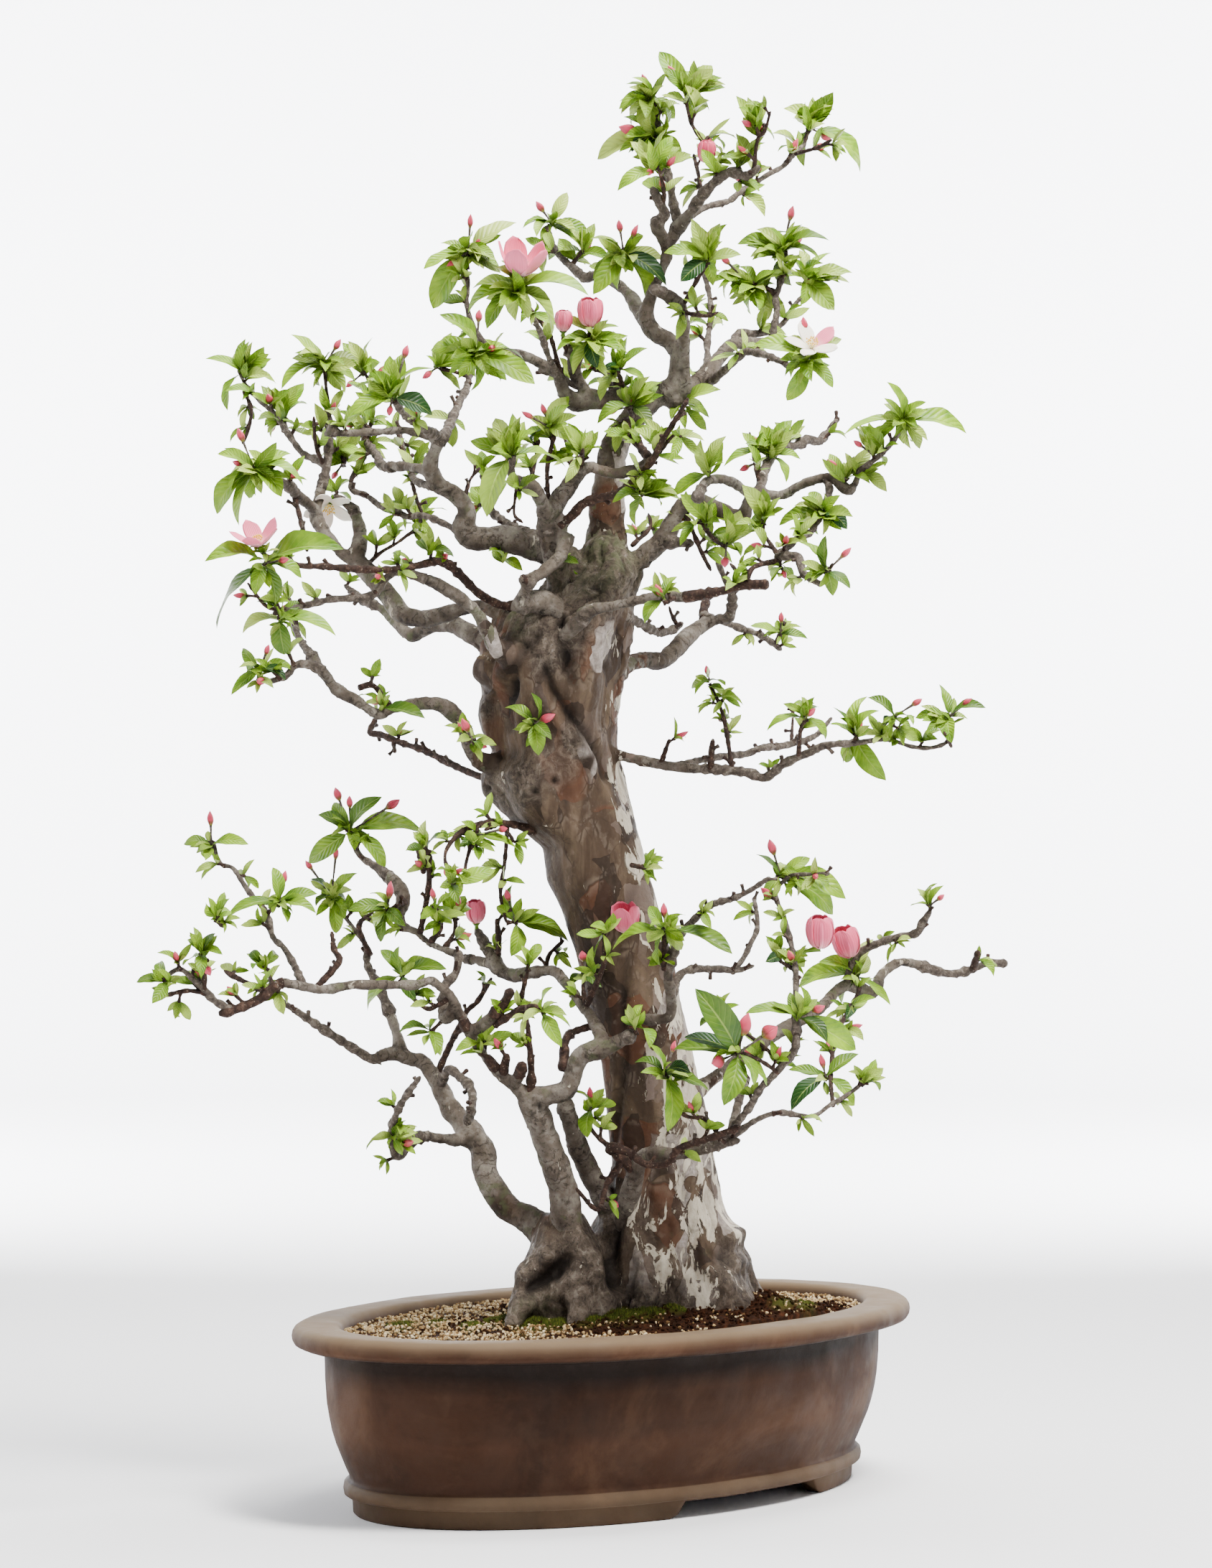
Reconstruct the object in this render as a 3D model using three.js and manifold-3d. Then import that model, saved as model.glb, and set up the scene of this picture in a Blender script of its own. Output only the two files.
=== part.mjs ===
// A Chinese quince bonsai in an oval, unglazed pot, at its real size.
// Millimetres, +Z up, front towards -Y. The origin is at the bottom centre of the whole.
import * as THREE from 'three';
import Module from 'manifold-3d';

const wasm = await Module();
wasm.setup();

// The sight line that sets out the tree: a picture column and row, taken at a chosen depth,
// give a place in the tree's own frame. Depth grows away from the front; lengths are in mm.
const SIGHT = { column: 844, row: 1092, focal: 7500, distance: 4000, height: 530 };

// Pot: half length and half width at the rim, height, turn about the vertical and middle (mm, degrees).
const POT = { halfLength: 290, halfWidth: 186, height: 137, turn: 52, x: 2, y: 32 };
// Side of the pot from the foot up to the lip, and inside from the lip down: inset from the rim, height.
const POT_SIDE = [
  [46, 0], [45, 13.5], [40, 14], [38.5, 18.5], [40, 23], [43.5, 25], [36.5, 43], [30, 60], [26, 80],
  [24.5, 112], [24, 120], [4, 121.5], [0, 128], [4, 137],
];
const POT_INSIDE = [[36, 137], [37, 130], [40, 60], [48, 22]];
const POT_UNDERSIDE = { inset: 62, height: 13 };
// The opening in the foot at the middle of each long side: half length at its inner edge, the share of
// it at its outer edge, where it starts and ends as a share of the half width, and its height.
const FOOT_OPENING = { halfLength: 88, narrowed: 0.86, from: 0.55, past: 1.2, height: 12 };
// Cuts run this far past the faces that they open.
const CUT_PAST = 5;
const OVAL_SIDES = 24;

// Soil: height at the wall, rise of the mound round the roots, its reach, steepness, slope to the right
// and middle. Its side follows the inside of the pot: inset from the rim, height.
const SOIL = { edge: 129, mound: 19, reach: 150, steepness: 1.6, slope: 0.055, x: 20, y: 15 };
const SOIL_SIDE = [[48.6, 22.6], [40.7, 60], [37.8, SOIL.edge]];
// Rings of the soil's top, as shares of the way from the mound's middle to the wall.
const SOIL_RINGS = [0.8, 0.6, 0.4, 0.2];
// The buried stump, which stands in a plain hole in the soil.
const STUMP = { x: 34, y: 22, halfLength: 50, halfWidth: 40, bottom: 98, top: 156, sides: 14 };

// Space kept between neighbouring pieces.
const CLEARANCE = 0.5;
const TRUNK_SIDES = 13;
// The trunk's folds wind round it once in about this many rows times six.
const FOLD_TWIST = 210;
// A limb narrows to this share of its last given thickness where no end thickness is given.
const TAPER = 0.8;
// Sides of a limb whose radius is over the first number (mm).
const LIMB_SIDES = [[9, 6], [5.5, 5], [3.2, 4], [0, 3]];
// What grows within this many pixels of a limb, at most this far (mm) behind the trunk's front, is
// seated on the limb, and the rest on the trunk.
const BESIDE_LIMB = 12;
const BEHIND_BARK = 5;
// Limbs keep each bend that departs more than this from a straight line.
const BEND_TOLERANCE = 6.4;
const BLADE_KEEL = 1.7;
// Rise of a blade's middle over its ends as a share of its length; petals are hollow to the front.
const LEAF_ARCH = 0.09;
const PETAL_ARCH = -0.12;
// A leaf whose picture is shorter than this (mm) points to the front or the back.
const LEAST_LEAF = 24;
// Twigs shorter than this (in the picture) grow as part of their leaf tufts.
const SHORTEST_TWIG = 105;
const TUFT_LEAVES = 2;
// One tuft in this many is left out, evenly over the tree.
const TUFT_CYCLE = 3;
// Detail finer than this is smoothed away where pieces are joined.
const FINEST = 0.42;
// Corners lie on a grid this fine.
const GRID = 0.004;
// A leaf is turned until this share of it is clear of its neighbours and one with its spray; the rest is
// cut, and it is left out if less than the second share would stay.
const CLEAR_ENOUGH = 0.86;
const LEAST_KEPT = 0.45;
const HEART_RADIUS = 2.9;
// A heart ends this far past the wood, and has a stem of this radius where it stands off further.
const HEART_TIP = 4.5;
const BARE_STEM = 7;
const STEM_RADIUS = 1.3;
// A spray may stand off the wood by up to this much more where another limb passes its heart.
const FURTHEST_STEP = 26;
// A twig thinner than this is left at this radius.
const LEAST_TWIG = 1.15;
// A limb is rooted in the nearest one within this picture distance; a millimetre of depth counts as this
// many pixels, and a limb is in the trunk when it starts this far (mm) under the bark.
const LONGEST_ROOTING = 45;
const DEPTH_WEIGHT = 0.4;
const TRUNK_SKIN = 3;
// Nothing is rooted past this share of a limb's last stretch.
const LAST_ROOTING = 0.94;

// Outline of the main trunk, from the burr at its top down into the soil.
// Each row: picture row, left edge, right edge, depth of the middle (mm), half depth (mm), folds.
const TRUNK_ROWS = [
  [768, 812, 884, 12, 22, 0.10],
  [800, 772, 896, 10, 34, 0.10],
  [830, 742, 884, 6, 42, 0.09],
  [860, 692, 883, 2, 46, 0.09],
  [895, 668, 878, 0, 46, 0.09],
  [935, 662, 872, 0, 46, 0.09],
  [970, 674, 866, 0, 44, 0.09],
  [1005, 676, 861, 0, 43, 0.09],
  [1045, 686, 861, 0, 43, 0.08],
  [1080, 668, 870, 0, 44, 0.08],
  [1110, 678, 877, 0, 43, 0.08],
  [1145, 712, 885, 0, 41, 0.07],
  [1180, 756, 894, 0, 38, 0.06],
  [1225, 761, 906, 0, 37, 0.06],
  [1275, 785, 920, 0, 35, 0.06],
  [1340, 805, 938, 0, 35, 0.06],
  [1410, 823, 952, 2, 35, 0.06],
  [1480, 838, 968, 4, 36, 0.06],
  [1550, 846, 985, 8, 38, 0.06],
  [1620, 847, 996, 12, 41, 0.07],
  [1680, 838, 1006, 16, 45, 0.08],
  [1725, 815, 1025, 20, 52, 0.10],
  [1765, 785, 1038, 24, 60, 0.12],
  [1800, 775, 1056, 26, 66, 0.13],
  [1850, 770, 1066, 26, 68, 0.13],
];

// Outline of the lower lobe at the trunk's left foot, which carries the low stems.
const FOOT_ROWS = [
  [1690, 738, 812, -18, 22, 0.08],
  [1715, 712, 830, -20, 32, 0.10],
  [1755, 703, 850, -20, 40, 0.12],
  [1800, 700, 860, -18, 44, 0.13],
  [1860, 700, 870, -16, 46, 0.13],
];

// Limbs: depth at the root and at the tip (mm), then column, row and, where it changes, thickness.
const LIMBS = {
  "upper_trunk": [18, 5, [[845,800,62],[845,740,54],[846,700,50],[850,660,44],[856,625,40],[868,600,36],
    [885,578,34],[905,558,34],[935,540,30]]],
  "crown_front": [2, -30, [[957,548,15],[955,520,14],[953,470],[950,430],[930,412,18],[905,400,13]]],
  "crown_leader": [5, 0, [[940,545,26],[945,500,25],[935,478],[915,465,24],[900,445,22],[908,410,17],
    [920,385,14],[928,360],[930,345,18],[940,325],[945,310,20]]],
  "apex_left": [0, -35, [[930,350,16],[920,325,17],[915,312,20],[925,300,14],[920,285],[908,262,12]]],
  "apex_top": [0, 10, [[945,312,16],[938,285,12],[932,250],[928,230],[922,205,9],[917,185],[915,148,7]]],
  "apex_right": [0, -75, [[945,318,20],[962,295,15],[980,270,14],[1000,250,13],[1018,240],[1040,245],
    [1057,232,10]]],
  "apex_back": [0, 100, [[945,314,12],[965,300,8],[985,288],[1015,280],[1030,268],[1050,256],[1070,243],
    [1090,232],[1105,215],[1122,200,6]]],
  "left_high": [5, 125, [[905,455,22],[890,435],[880,415,18],[865,400],[850,390,15],[830,383],[815,387],
    [800,375,12],[785,362],[775,350,8],[768,335],[763,315,5]]],
  "left_crown": [8, -90, [[905,558,26],[880,550],[850,555,25],[820,560],[800,560,24],[785,545],[775,520,16],
    [760,510],[735,498],[710,492],[690,490,13],[672,484,9],[660,488,7]]],
  "left_crown_tip": [-85, -70, [[690,492,9],[668,470,8],[655,445,6],[650,420],[652,400],[650,375,5]]],
  "left_crown_bloom": [-60, -150, [[780,530,12],[765,500,8],[755,470,7],[742,440],[728,412],[722,392,5]]],
  "left_crown_stub": [-10, -50, [[830,560,14],[805,530,18],[800,515,20],[795,480,18]]],
  "left_crown_cut": [-20, -45, [[845,552,9],[800,537,8],[780,525],[750,515,8]]],
  "right_crown": [5, 70, [[930,560,28],[960,540,26],[985,520,25],[1000,500,21],[1020,480,18],[1040,478],
    [1075,478,14]]],
  "right_crown_rise": [28, 135, [[1012,492,12],[1030,465,10],[1050,465,9],[1075,462],[1095,445],[1103,430],
    [1115,415],[1128,403,4]]],
  "right_crown_top": [55, 110, [[1075,470,9],[1082,435,8],[1080,415],[1085,400],[1093,360],[1095,340],
    [1102,322,6]]],
  "right_crown_low": [5, -110, [[985,535,12],[1010,515,10],[1035,492],[1050,491],[1070,496],[1090,505],
    [1103,511,8],[1120,500,6],[1132,492,5]]],
  "right_crown_back": [-5, 120, [[975,530,14],[985,505,10],[985,480,8],[990,440],[988,412,7],[982,385],
    [980,365,5]]],
  "left_arm": [5, -40, [[808,802,44],[772,772,40],[735,760,36],[700,750,35],[660,750,34],[645,735,30],[650,712,25],
    [635,690,24],[610,675],[600,655,22],[603,635,19],[615,605,19]]],
  "left_arm_west": [-40, -120, [[618,610,14],[595,600,12],[580,590],[565,580],[550,560,8]]],
  "left_arm_rise": [-40, 95, [[615,612,14],[622,600,12],[640,560,10],[650,540],[660,505,6]]],
  "left_arm_stub": [-35, -70, [[608,612,15],[567,600,12],[520,602],[475,603,13],[456,598,24]]],
  "left_back": [-35, 130, [[608,662,18],[570,650,14],[535,650,13],[525,635,11],[510,615],[503,590,7]]],
  "left_back_rise": [-35, 165, [[603,678,12],[580,670,9],[568,650],[562,630],[555,600,7]]],
  "left_inner": [5, 100, [[745,745,16],[715,735,12],[700,725],[680,705,10],[672,660,6]]],
  "left_long_twig": [-15, 110, [[655,752,12],[630,735,9],[590,718],[570,720],[550,712],[530,705],[510,690,8],
    [490,682],[490,665,6],[500,650],[510,635,5]]],
  "left_middle": [0, 90, [[730,855,26],[700,850,22],[660,845,20],[620,855],[590,862,24],[560,855,28],
    [540,828],[510,795],[495,780,25],[502,750,21],[495,715],[480,700,12],[465,690,8]]],
  "left_middle_back": [25, 170, [[715,920,34],[670,890,30],[650,880],[625,868,26],[600,870],[575,885,20],
    [555,870],[535,850],[505,835,12],[480,815,7]]],
  "left_far": [50, 95, [[495,782,20],[475,770,15],[455,745,18],[440,720,20],[445,690,16],[455,650,12],
    [458,610],[456,565,8]]],
  "left_far_arm": [60, -10, [[441,712,17],[415,690,15],[400,675,13],[372,662,7]]],
  "left_far_top": [75, 160, [[455,650,11],[440,640,9],[420,630],[395,595,7],[380,575],[345,540],[332,515,5]]],
  "left_front": [-42, -155, [[745,850,15],[710,845,12],[690,840],[665,825],[640,800],[615,782,12],[580,788,10],
    [550,793,9],[500,793],[450,789],[420,788,8],[385,782],[362,768,5]]],
  "left_long": [-32, -115, [[720,920,26],[690,900,22],[680,880],[665,855,18],[650,840],[620,820],[600,810,16],
    [560,797,12],[540,803],[520,828,10],[490,833],[460,835],[440,840],[405,848,8],[380,855,6]]],
  "left_fold": [-8, -62, [[700,1065,26],[668,1060,22],[655,1040],[645,1010,20],[620,985,22],[600,980,18],
    [570,982],[545,988],[525,995,14],[495,975],[465,957,18],[450,935,16],[425,925,12],[410,928,10],
    [400,940],[380,948,7],[350,950,4]]],
  "left_fold_rise": [-45, 60, [[455,945,16],[435,915,14],[420,895,10],[412,875],[408,850,7],[398,822,5]]],
  "left_low_twig": [0, 140, [[700,1092,13],[670,1082,10],[645,1072],[620,1060],[590,1045],[560,1035],
    [530,1023],[515,1020,8],[525,998,6]]],
  "left_spur": [-18, -95, [[745,1158,13],[720,1150,10],[690,1145],[670,1148],[650,1155],[635,1165,7],
    [620,1190,5],[625,1225,4]]],
  "fork_stem": [-12, -30, [[785,815,34],[768,765,27],[760,730,28]]],
  "fork_left": [-30, -100, [[760,735,24],[755,700],[740,675,18],[725,672],[712,660,11],[715,635,7]]],
  "fork_right": [-30, -75, [[762,738,26],[775,700,28],[790,680],[800,665,22],[820,650],[835,655,14],[860,660],
    [880,655,16],[900,645],[912,638,11]]],
  "fork_brown": [-25, -125, [[770,760,17],[775,740,16],[800,715],[815,700,12],[850,690],[870,680,10],
    [905,645],[925,610,8],[950,570],[958,555,6]]],
  "fork_snag": [-18, -62, [[790,745,22],[780,775,20],[765,790],[745,803],[725,810,14]]],
  "curl": [-15, -45, [[808,915,42],[795,875,38],[775,850,36],[750,838,34],[722,842,28]]],
  "curl_stub": [-48, -62, [[720,850,20],[730,825,18],[744,806,15]]],
  "curl_finger": [-42, -66, [[785,890,20],[800,872,20],[818,858,18]]],
  "right_arm": [12, -30, [[865,812,38],[880,790,28],[895,775],[915,760,26],[930,742,28],[945,710,23],
    [960,698,22],[980,700],[1020,718,20],[1035,720],[1045,695,18],[1065,680,16]]],
  "right_arm_stub": [5, -20, [[918,758,18],[935,755,16],[965,757,12]]],
  "right_arm_back": [-30, 125, [[1058,688,16],[1065,655,15],[1080,630],[1110,620,12],[1125,612,14],[1140,615],
    [1150,605,9],[1168,582,6]]],
  "right_arm_far": [-30, -75, [[1060,688,15],[1090,690,14],[1110,678],[1130,670],[1150,665,13],[1165,670],
    [1180,682,17],[1190,675,10],[1200,655,9],[1230,630,7],[1250,605],[1258,580,5]]],
  "right_arm_front": [-28, -100, [[1050,692,16],[1040,685],[1020,672],[1005,668,14],[990,668],[980,675],
    [970,697,14]]],
  "right_drop": [-50, -95, [[1150,668,10],[1155,680],[1150,700],[1130,740,9],[1110,750],[1085,775,10]]],
  "right_drop_tip": [-93, -140, [[1082,776,11],[1110,775],[1120,800,12],[1145,815,6]]],
  "right_front": [-42, -115, [[812,860,26],[822,850,19],[850,845,14],[880,838],[910,832],[935,830,15],
    [950,832],[1010,822,13],[1035,815],[1070,814,14]]],
  "right_back": [15, 135, [[855,940,28],[870,930,22],[890,920],[920,920,24],[935,910],[950,895],[965,880,22],
    [980,870],[990,860,16]]],
  "right_back_rise": [115, 95, [[978,872,15],[1000,862,16],[1015,860],[1020,835,12],[1013,815,8],[998,780,6]]],
  "right_back_tip": [105, 175, [[1002,864,9],[1040,878,8],[1060,885],[1075,895],[1088,905,7]]],
  "right_mid": [-5, 95, [[868,858,16],[885,865,12],[915,880],[935,878,10],[950,868,8]]],
  "right_low": [0, -85, [[845,1048,22],[862,1052,15],[905,1062],[930,1067],[960,1070,13],[1000,1072],
    [1040,1076],[1065,1083,12],[1090,1065],[1110,1055],[1130,1047],[1150,1038,10],[1190,1035,8],[1235,1030,6],
    [1270,1040],[1300,1041],[1322,1030,5],[1325,1005,4]]],
  "right_low_back": [-12, 135, [[935,1068,9],[980,1058],[1010,1053],[1040,1050],[1060,1042],[1095,1038,9],
    [1135,1025,8],[1158,1000,5]]],
  "low_left": [-18, 75, [[785,1755,52],[760,1720,45],[740,1700],[710,1685,35],[690,1660],[675,1630,33],
    [672,1600,35],[640,1560,30],[625,1540],[610,1510,24],[590,1480,20],[565,1472,21],[555,1450],[550,1430,15],
    [530,1380,13],[512,1345,10],[510,1318,7],[490,1290,6],[470,1262],[458,1235,5]]],
  "low_left_west": [28, 20, [[565,1470,19],[545,1467,20],[520,1475,15],[500,1465],[460,1440,11],[430,1420],
    [400,1400],[380,1388,7]]],
  "low_left_loop": [-8, -140, [[650,1590,18],[610,1585,14],[590,1583],[570,1592],[552,1610,12],[546,1575,10],
    [555,1545],[570,1520],[585,1500,7]]],
  "low_left_cut": [0, -55, [[612,1515,14],[625,1490,12],[640,1500],[655,1515,12],[658,1540],[650,1565,10]]],
  "low_front": [-30, -85, [[805,1755,54],[790,1710,45],[785,1660,41],[765,1600,38],[745,1545,38],[738,1530,31],
    [765,1525,28],[790,1518],[798,1495,26],[810,1470],[840,1460,26],[885,1440,14]]],
  "low_front_west": [-75, 60, [[845,1458,20],[825,1420,16],[810,1400],[785,1365,14],[770,1352],[740,1355],
    [710,1358,20],[675,1340,14],[645,1335,12]]],
  "low_front_arm": [35, 40, [[700,1355,18],[690,1340,20],[675,1315],[664,1295,13]]],
  "low_front_left": [-52, -92, [[742,1545,20],[735,1535],[720,1515],[690,1490,15],[660,1450],[640,1410,14]]],
  "left_lowest": [-90, -165, [[645,1418,15],[625,1385,14],[600,1366,13],[580,1372],[530,1372],[490,1372],
    [455,1378],[440,1377,14],[400,1370],[385,1372],[360,1392,13],[325,1407],[305,1412,12]]],
  "left_lowest_tip": [-160, -195, [[322,1406,10],[300,1395],[285,1380],[270,1365],[250,1350,7],[228,1362,5]]],
  "left_lowest_rise": [-130, -60, [[422,1372,10],[410,1345],[395,1320],[380,1305,8],[370,1270],[345,1240,7],
    [325,1210],[310,1205],[303,1195],[297,1172,5]]],
  "left_knot_rise": [-92, -55, [[632,1405,18],[620,1418,18],[620,1375,12],[635,1355],[640,1325,11]]],
  "left_knot_west": [-55, 30, [[640,1330,11],[600,1315,10],[580,1298,12],[560,1290],[555,1275,16],[562,1250,22],
    [545,1225,19],[520,1205,10],[500,1190,8],[484,1155,5]]],
  "back_stem": [12, -42, [[872,1735,44],[850,1690,35],[830,1650,32],[810,1610,30],[785,1535,24]]],
  "front_stem": [-35, -92, [[862,1760,38],[864,1720,31],[870,1690,30],[890,1620,22],[905,1608,19],[940,1608,18],
    [980,1600,16],[1030,1588,9]]],
  "front_twig": [-55, -115, [[885,1632,12],[852,1600,13],[875,1605,11],[900,1622,9],[930,1620],[945,1600],
    [980,1588],[1030,1570,9]]],
  "right_lowest": [-92, -125, [[1005,1592,11],[1030,1560,9],[1045,1540],[1060,1515],[1075,1500],[1105,1465],
    [1110,1440,12]]],
  "right_lowest_tip": [-92, -40, [[1015,1588,9],[1050,1562,8],[1085,1550],[1130,1555],[1155,1540],
    [1180,1525],[1200,1510,5]]],
  "right_low_stub": [-90, -35, [[1015,1590,14],[1030,1530,14],[1038,1498,14]]],
  "right_low_limb": [22, 150, [[955,1530,26],[975,1515,21],[1040,1470,19],[1080,1440],[1140,1405,18],
    [1160,1385],[1180,1372],[1215,1382,18],[1230,1355,15],[1260,1340,13],[1320,1356,12],[1355,1350],
    [1375,1342,9],[1402,1342,12]]],
  "right_low_limb_tip": [110, 60, [[1178,1374,11],[1185,1345,10],[1200,1325],[1240,1308],[1275,1300],
    [1285,1285,11],[1297,1266,5]]],
  "right_low_twig": [-62, 90, [[1160,1540,6],[1157,1500],[1163,1450],[1180,1410],[1197,1380,5],[1195,1360,4]]],
  "right_spur": [-28, -62, [[890,1420,18],[905,1420,15],[930,1418,16],[935,1400],[930,1350,14]]],
  "right_spur_top": [-60, -115, [[931,1355,13],[938,1325,12],[945,1305],[980,1268,9],[1000,1257],[1020,1252],
    [1045,1240,7],[1072,1222,5]]],
  "right_spur_back": [-52, 10, [[934,1400,11],[950,1355,10],[1000,1350,9],[1025,1352],[1050,1345,5]]],
  "right_spur_rise": [0, 75, [[1020,1354,8],[1035,1335,7],[1045,1315],[1055,1290],[1050,1250,6]]],
  "right_rise": [-123, -40, [[1110,1442,13],[1108,1400,9],[1108,1350,8],[1098,1300],[1090,1275,7],[1080,1245],
    [1084,1212,5]]],
  "right_rise_tip": [-60, -70, [[1081,1238,5],[1100,1220],[1120,1218],[1155,1217,5]]],
};

// Twigs: each leaves the nearest limb and ends this far (mm) in front of it (-) or behind it (+).
const TWIGS = [
  [-25, [[920,295,6],[925,270],[918,235,5]]],
  [35, [[978,272,6],[972,240,5],[966,215,4]]],
  [25, [[998,252,6],[992,228],[983,205],[963,172],[955,140,4]]],
  [-20, [[1050,238,6],[1055,195,5],[1065,183],[1073,155,4]]],
  [30, [[1120,203,5],[1125,180,4]]],
  [-30, [[1105,215,5],[1140,205,5],[1158,195,4]]],
  [-40, [[860,400,6],[862,370,5],[870,345,4]]],
  [30, [[782,362,6],[762,330,5]]],
  [-30, [[952,425,6],[968,395,5],[985,368,4]]],
  [-35, [[945,432,7],[965,438],[985,440,5],[1000,435,4]]],
  [20, [[1085,408,6],[1070,402,5],[1045,392,4],[1018,382,4]]],
  [-30, [[780,520,7],[765,465,6],[738,430],[730,410,5]]],
  [25, [[852,550,10],[850,530,8],[840,518],[815,510,6]]],
  [-30, [[800,520,10],[812,490,6],[822,462,5]]],
  [-20, [[795,500,8],[785,478,6],[784,465,4]]],
  [-30, [[870,552,9],[865,530,6],[858,515,5]]],
  [20, [[945,540,7],[945,520,5]]],
  [-35, [[860,590,9],[880,580,6],[872,565,5]]],
  [-22, [[808,655,6],[812,625,5]]],
  [25, [[798,665,6],[795,635,5],[784,605,4]]],
  [-25, [[766,715,7],[762,655,6],[772,605,5]]],
  [20, [[738,675,6],[745,645,5],[750,612,5]]],
  [-18, [[720,675,5],[716,715,4],[728,728,4]]],
  [30, [[905,640,12],[890,620],[878,598,10]]],
  [-25, [[912,640,6],[930,615,5],[945,600,4]]],
  [25, [[880,760,7],[905,735,5],[903,715,4]]],
  [15, [[648,690,6],[655,668,4],[668,652,4]]],
  [-25, [[570,655,6],[580,695,5],[588,715,4]]],
  [-20, [[452,650,6],[440,620,5],[437,580,4]]],
  [-25, [[410,690,7],[420,730,6],[428,768,5]]],
  [25, [[508,790,7],[530,770,5],[555,755],[580,735,4]]],
  [30, [[508,615,7],[520,575,5],[515,530,4]]],
  [-25, [[340,545,6],[350,570,5],[345,600,5],[338,618,4]]],
  [25, [[395,600,6],[398,585,4]]],
  [15, [[480,640,6],[478,650,4]]],
  [-25, [[400,848,6],[372,845,5],[345,812,4]]],
  [20, [[500,958,9],[520,955,8],[540,980,8],[546,990,8]]],
  [-20, [[548,1035,6],[550,1048,4]]],
  [-30, [[650,1035,7],[655,1028,5]]],
  [-25, [[665,1150,6],[655,1180,5],[648,1210,5],[655,1225,4]]],
  [25, [[707,1148,6],[703,1200,5],[697,1245,5],[705,1285,4]]],
  [30, [[1060,680,6],[1052,650,5],[1044,602,4]]],
  [-30, [[968,700,7],[985,740,6],[1008,762,5]]],
  [20, [[955,715,7],[975,765,6],[990,795,5]]],
  [25, [[1085,775,7],[1065,745,5],[1063,728,4]]],
  [-20, [[1085,780,7],[1050,790,6],[1042,808,5]]],
  [-20, [[1125,800,7],[1152,795,5],[1160,785,4]]],
  [20, [[1035,815,7],[1025,795,5],[1017,785,4]]],
  [-25, [[940,832,7],[928,840,5]]],
  [-15, [[945,875,6],[935,855,5],[932,845,4]]],
  [25, [[982,868,13],[980,850,12],[985,835,12]]],
  [-25, [[1080,898,6],[1088,878,4]]],
  [25, [[1020,1072,7],[1010,1010,6],[1003,985],[990,955,4]]],
  [-20, [[990,1072,9],[991,1048,8],[993,1030,7]]],
  [-15, [[920,1065,7],[932,1030,5]]],
  [-30, [[1112,1055,7],[1115,1015,5],[1122,1005,4]]],
  [25, [[1102,1035,5],[1105,985,4]]],
  [20, [[1185,1035,6],[1192,1030,5]]],
  [-20, [[1232,1031,6],[1245,1005,5]]],
  [25, [[785,1490,12],[790,1445,10],[820,1430,9],[835,1425,8]]],
  [-25, [[715,1508,17],[722,1500,16],[728,1482,14]]],
  [-15, [[690,1488,16],[678,1472,13]]],
  [-15, [[700,1495,15],[706,1470,12]]],
  [-35, [[735,1535,15],[740,1500,10],[735,1430,7],[725,1400],[735,1352,5]]],
  [30, [[605,1505,9],[625,1460,8],[650,1410,7],[665,1395],[685,1362,6]]],
  [-25, [[655,1435,17],[672,1428,18],[700,1400,13],[712,1378,11]]],
  [-30, [[690,1428,9],[720,1408,8],[740,1402],[752,1405,7]]],
  [20, [[625,1390,9],[610,1400,7],[595,1405,6],[575,1390,5],[558,1368,4]]],
  [-20, [[690,1350,8],[695,1320,7],[692,1280,6]]],
  [25, [[760,1355,7],[765,1330,5],[785,1310,5]]],
  [-25, [[815,1405,8],[840,1345,7],[842,1308,6]]],
  [20, [[818,1410,7],[812,1375,5],[818,1352,4]]],
  [-25, [[585,1300,8],[597,1235,8],[597,1188,7]]],
  [20, [[590,1215,6],[580,1180,5]]],
  [-20, [[565,1255,10],[553,1262,5]]],
  [-20, [[600,1312,9],[615,1290,5],[604,1262,4]]],
  [25, [[620,1320,8],[632,1300,5],[636,1282,4]]],
  [-25, [[515,1330,8],[500,1290,7],[520,1270,4]]],
  [25, [[440,1376,9],[472,1340,8],[465,1322,7],[462,1298,5]]],
  [-25, [[370,1275,6],[382,1262,5],[388,1252,4]]],
  [25, [[375,1385,8],[330,1362,7],[312,1352,5]]],
  [-20, [[285,1380,7],[285,1350,5],[282,1332,4]]],
  [20, [[380,1372,6],[372,1352,5]]],
  [-15, [[288,1384,7],[260,1380,6],[225,1388,5]]],
  [-20, [[310,1290,5],[302,1284,4]]],
  [-25, [[552,1608,8],[548,1585,5]]],
  [-25, [[870,1612,9],[845,1650,8],[832,1685,7],[802,1655,4]]],
  [20, [[852,1600,9],[825,1575,5],[820,1548,5]]],
  [-20, [[1005,1592,7],[985,1560,6],[950,1550],[925,1490,5]]],
  [-20, [[1085,1495,6],[1060,1478,5],[1032,1465,4]]],
  [20, [[1090,1480,6],[1040,1440,5],[1005,1425,4]]],
  [20, [[1108,1352,6],[1085,1338,4]]],
  [-20, [[1325,1040,4],[1315,1020,4]]],
  [-18, [[1355,1350,9],[1362,1325,7]]],
  [20, [[880,1205,7],[895,1208,5]]],
  [-25, [[925,1350,9],[925,1310,6],[925,1292,4]]],
  [25, [[850,1455,10],[868,1446,9],[884,1436,8]]],
  [-20, [[690,1150,6],[675,1156,4]]],
  [-20, [[700,1150,6],[715,1170,4]]],
];

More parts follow.
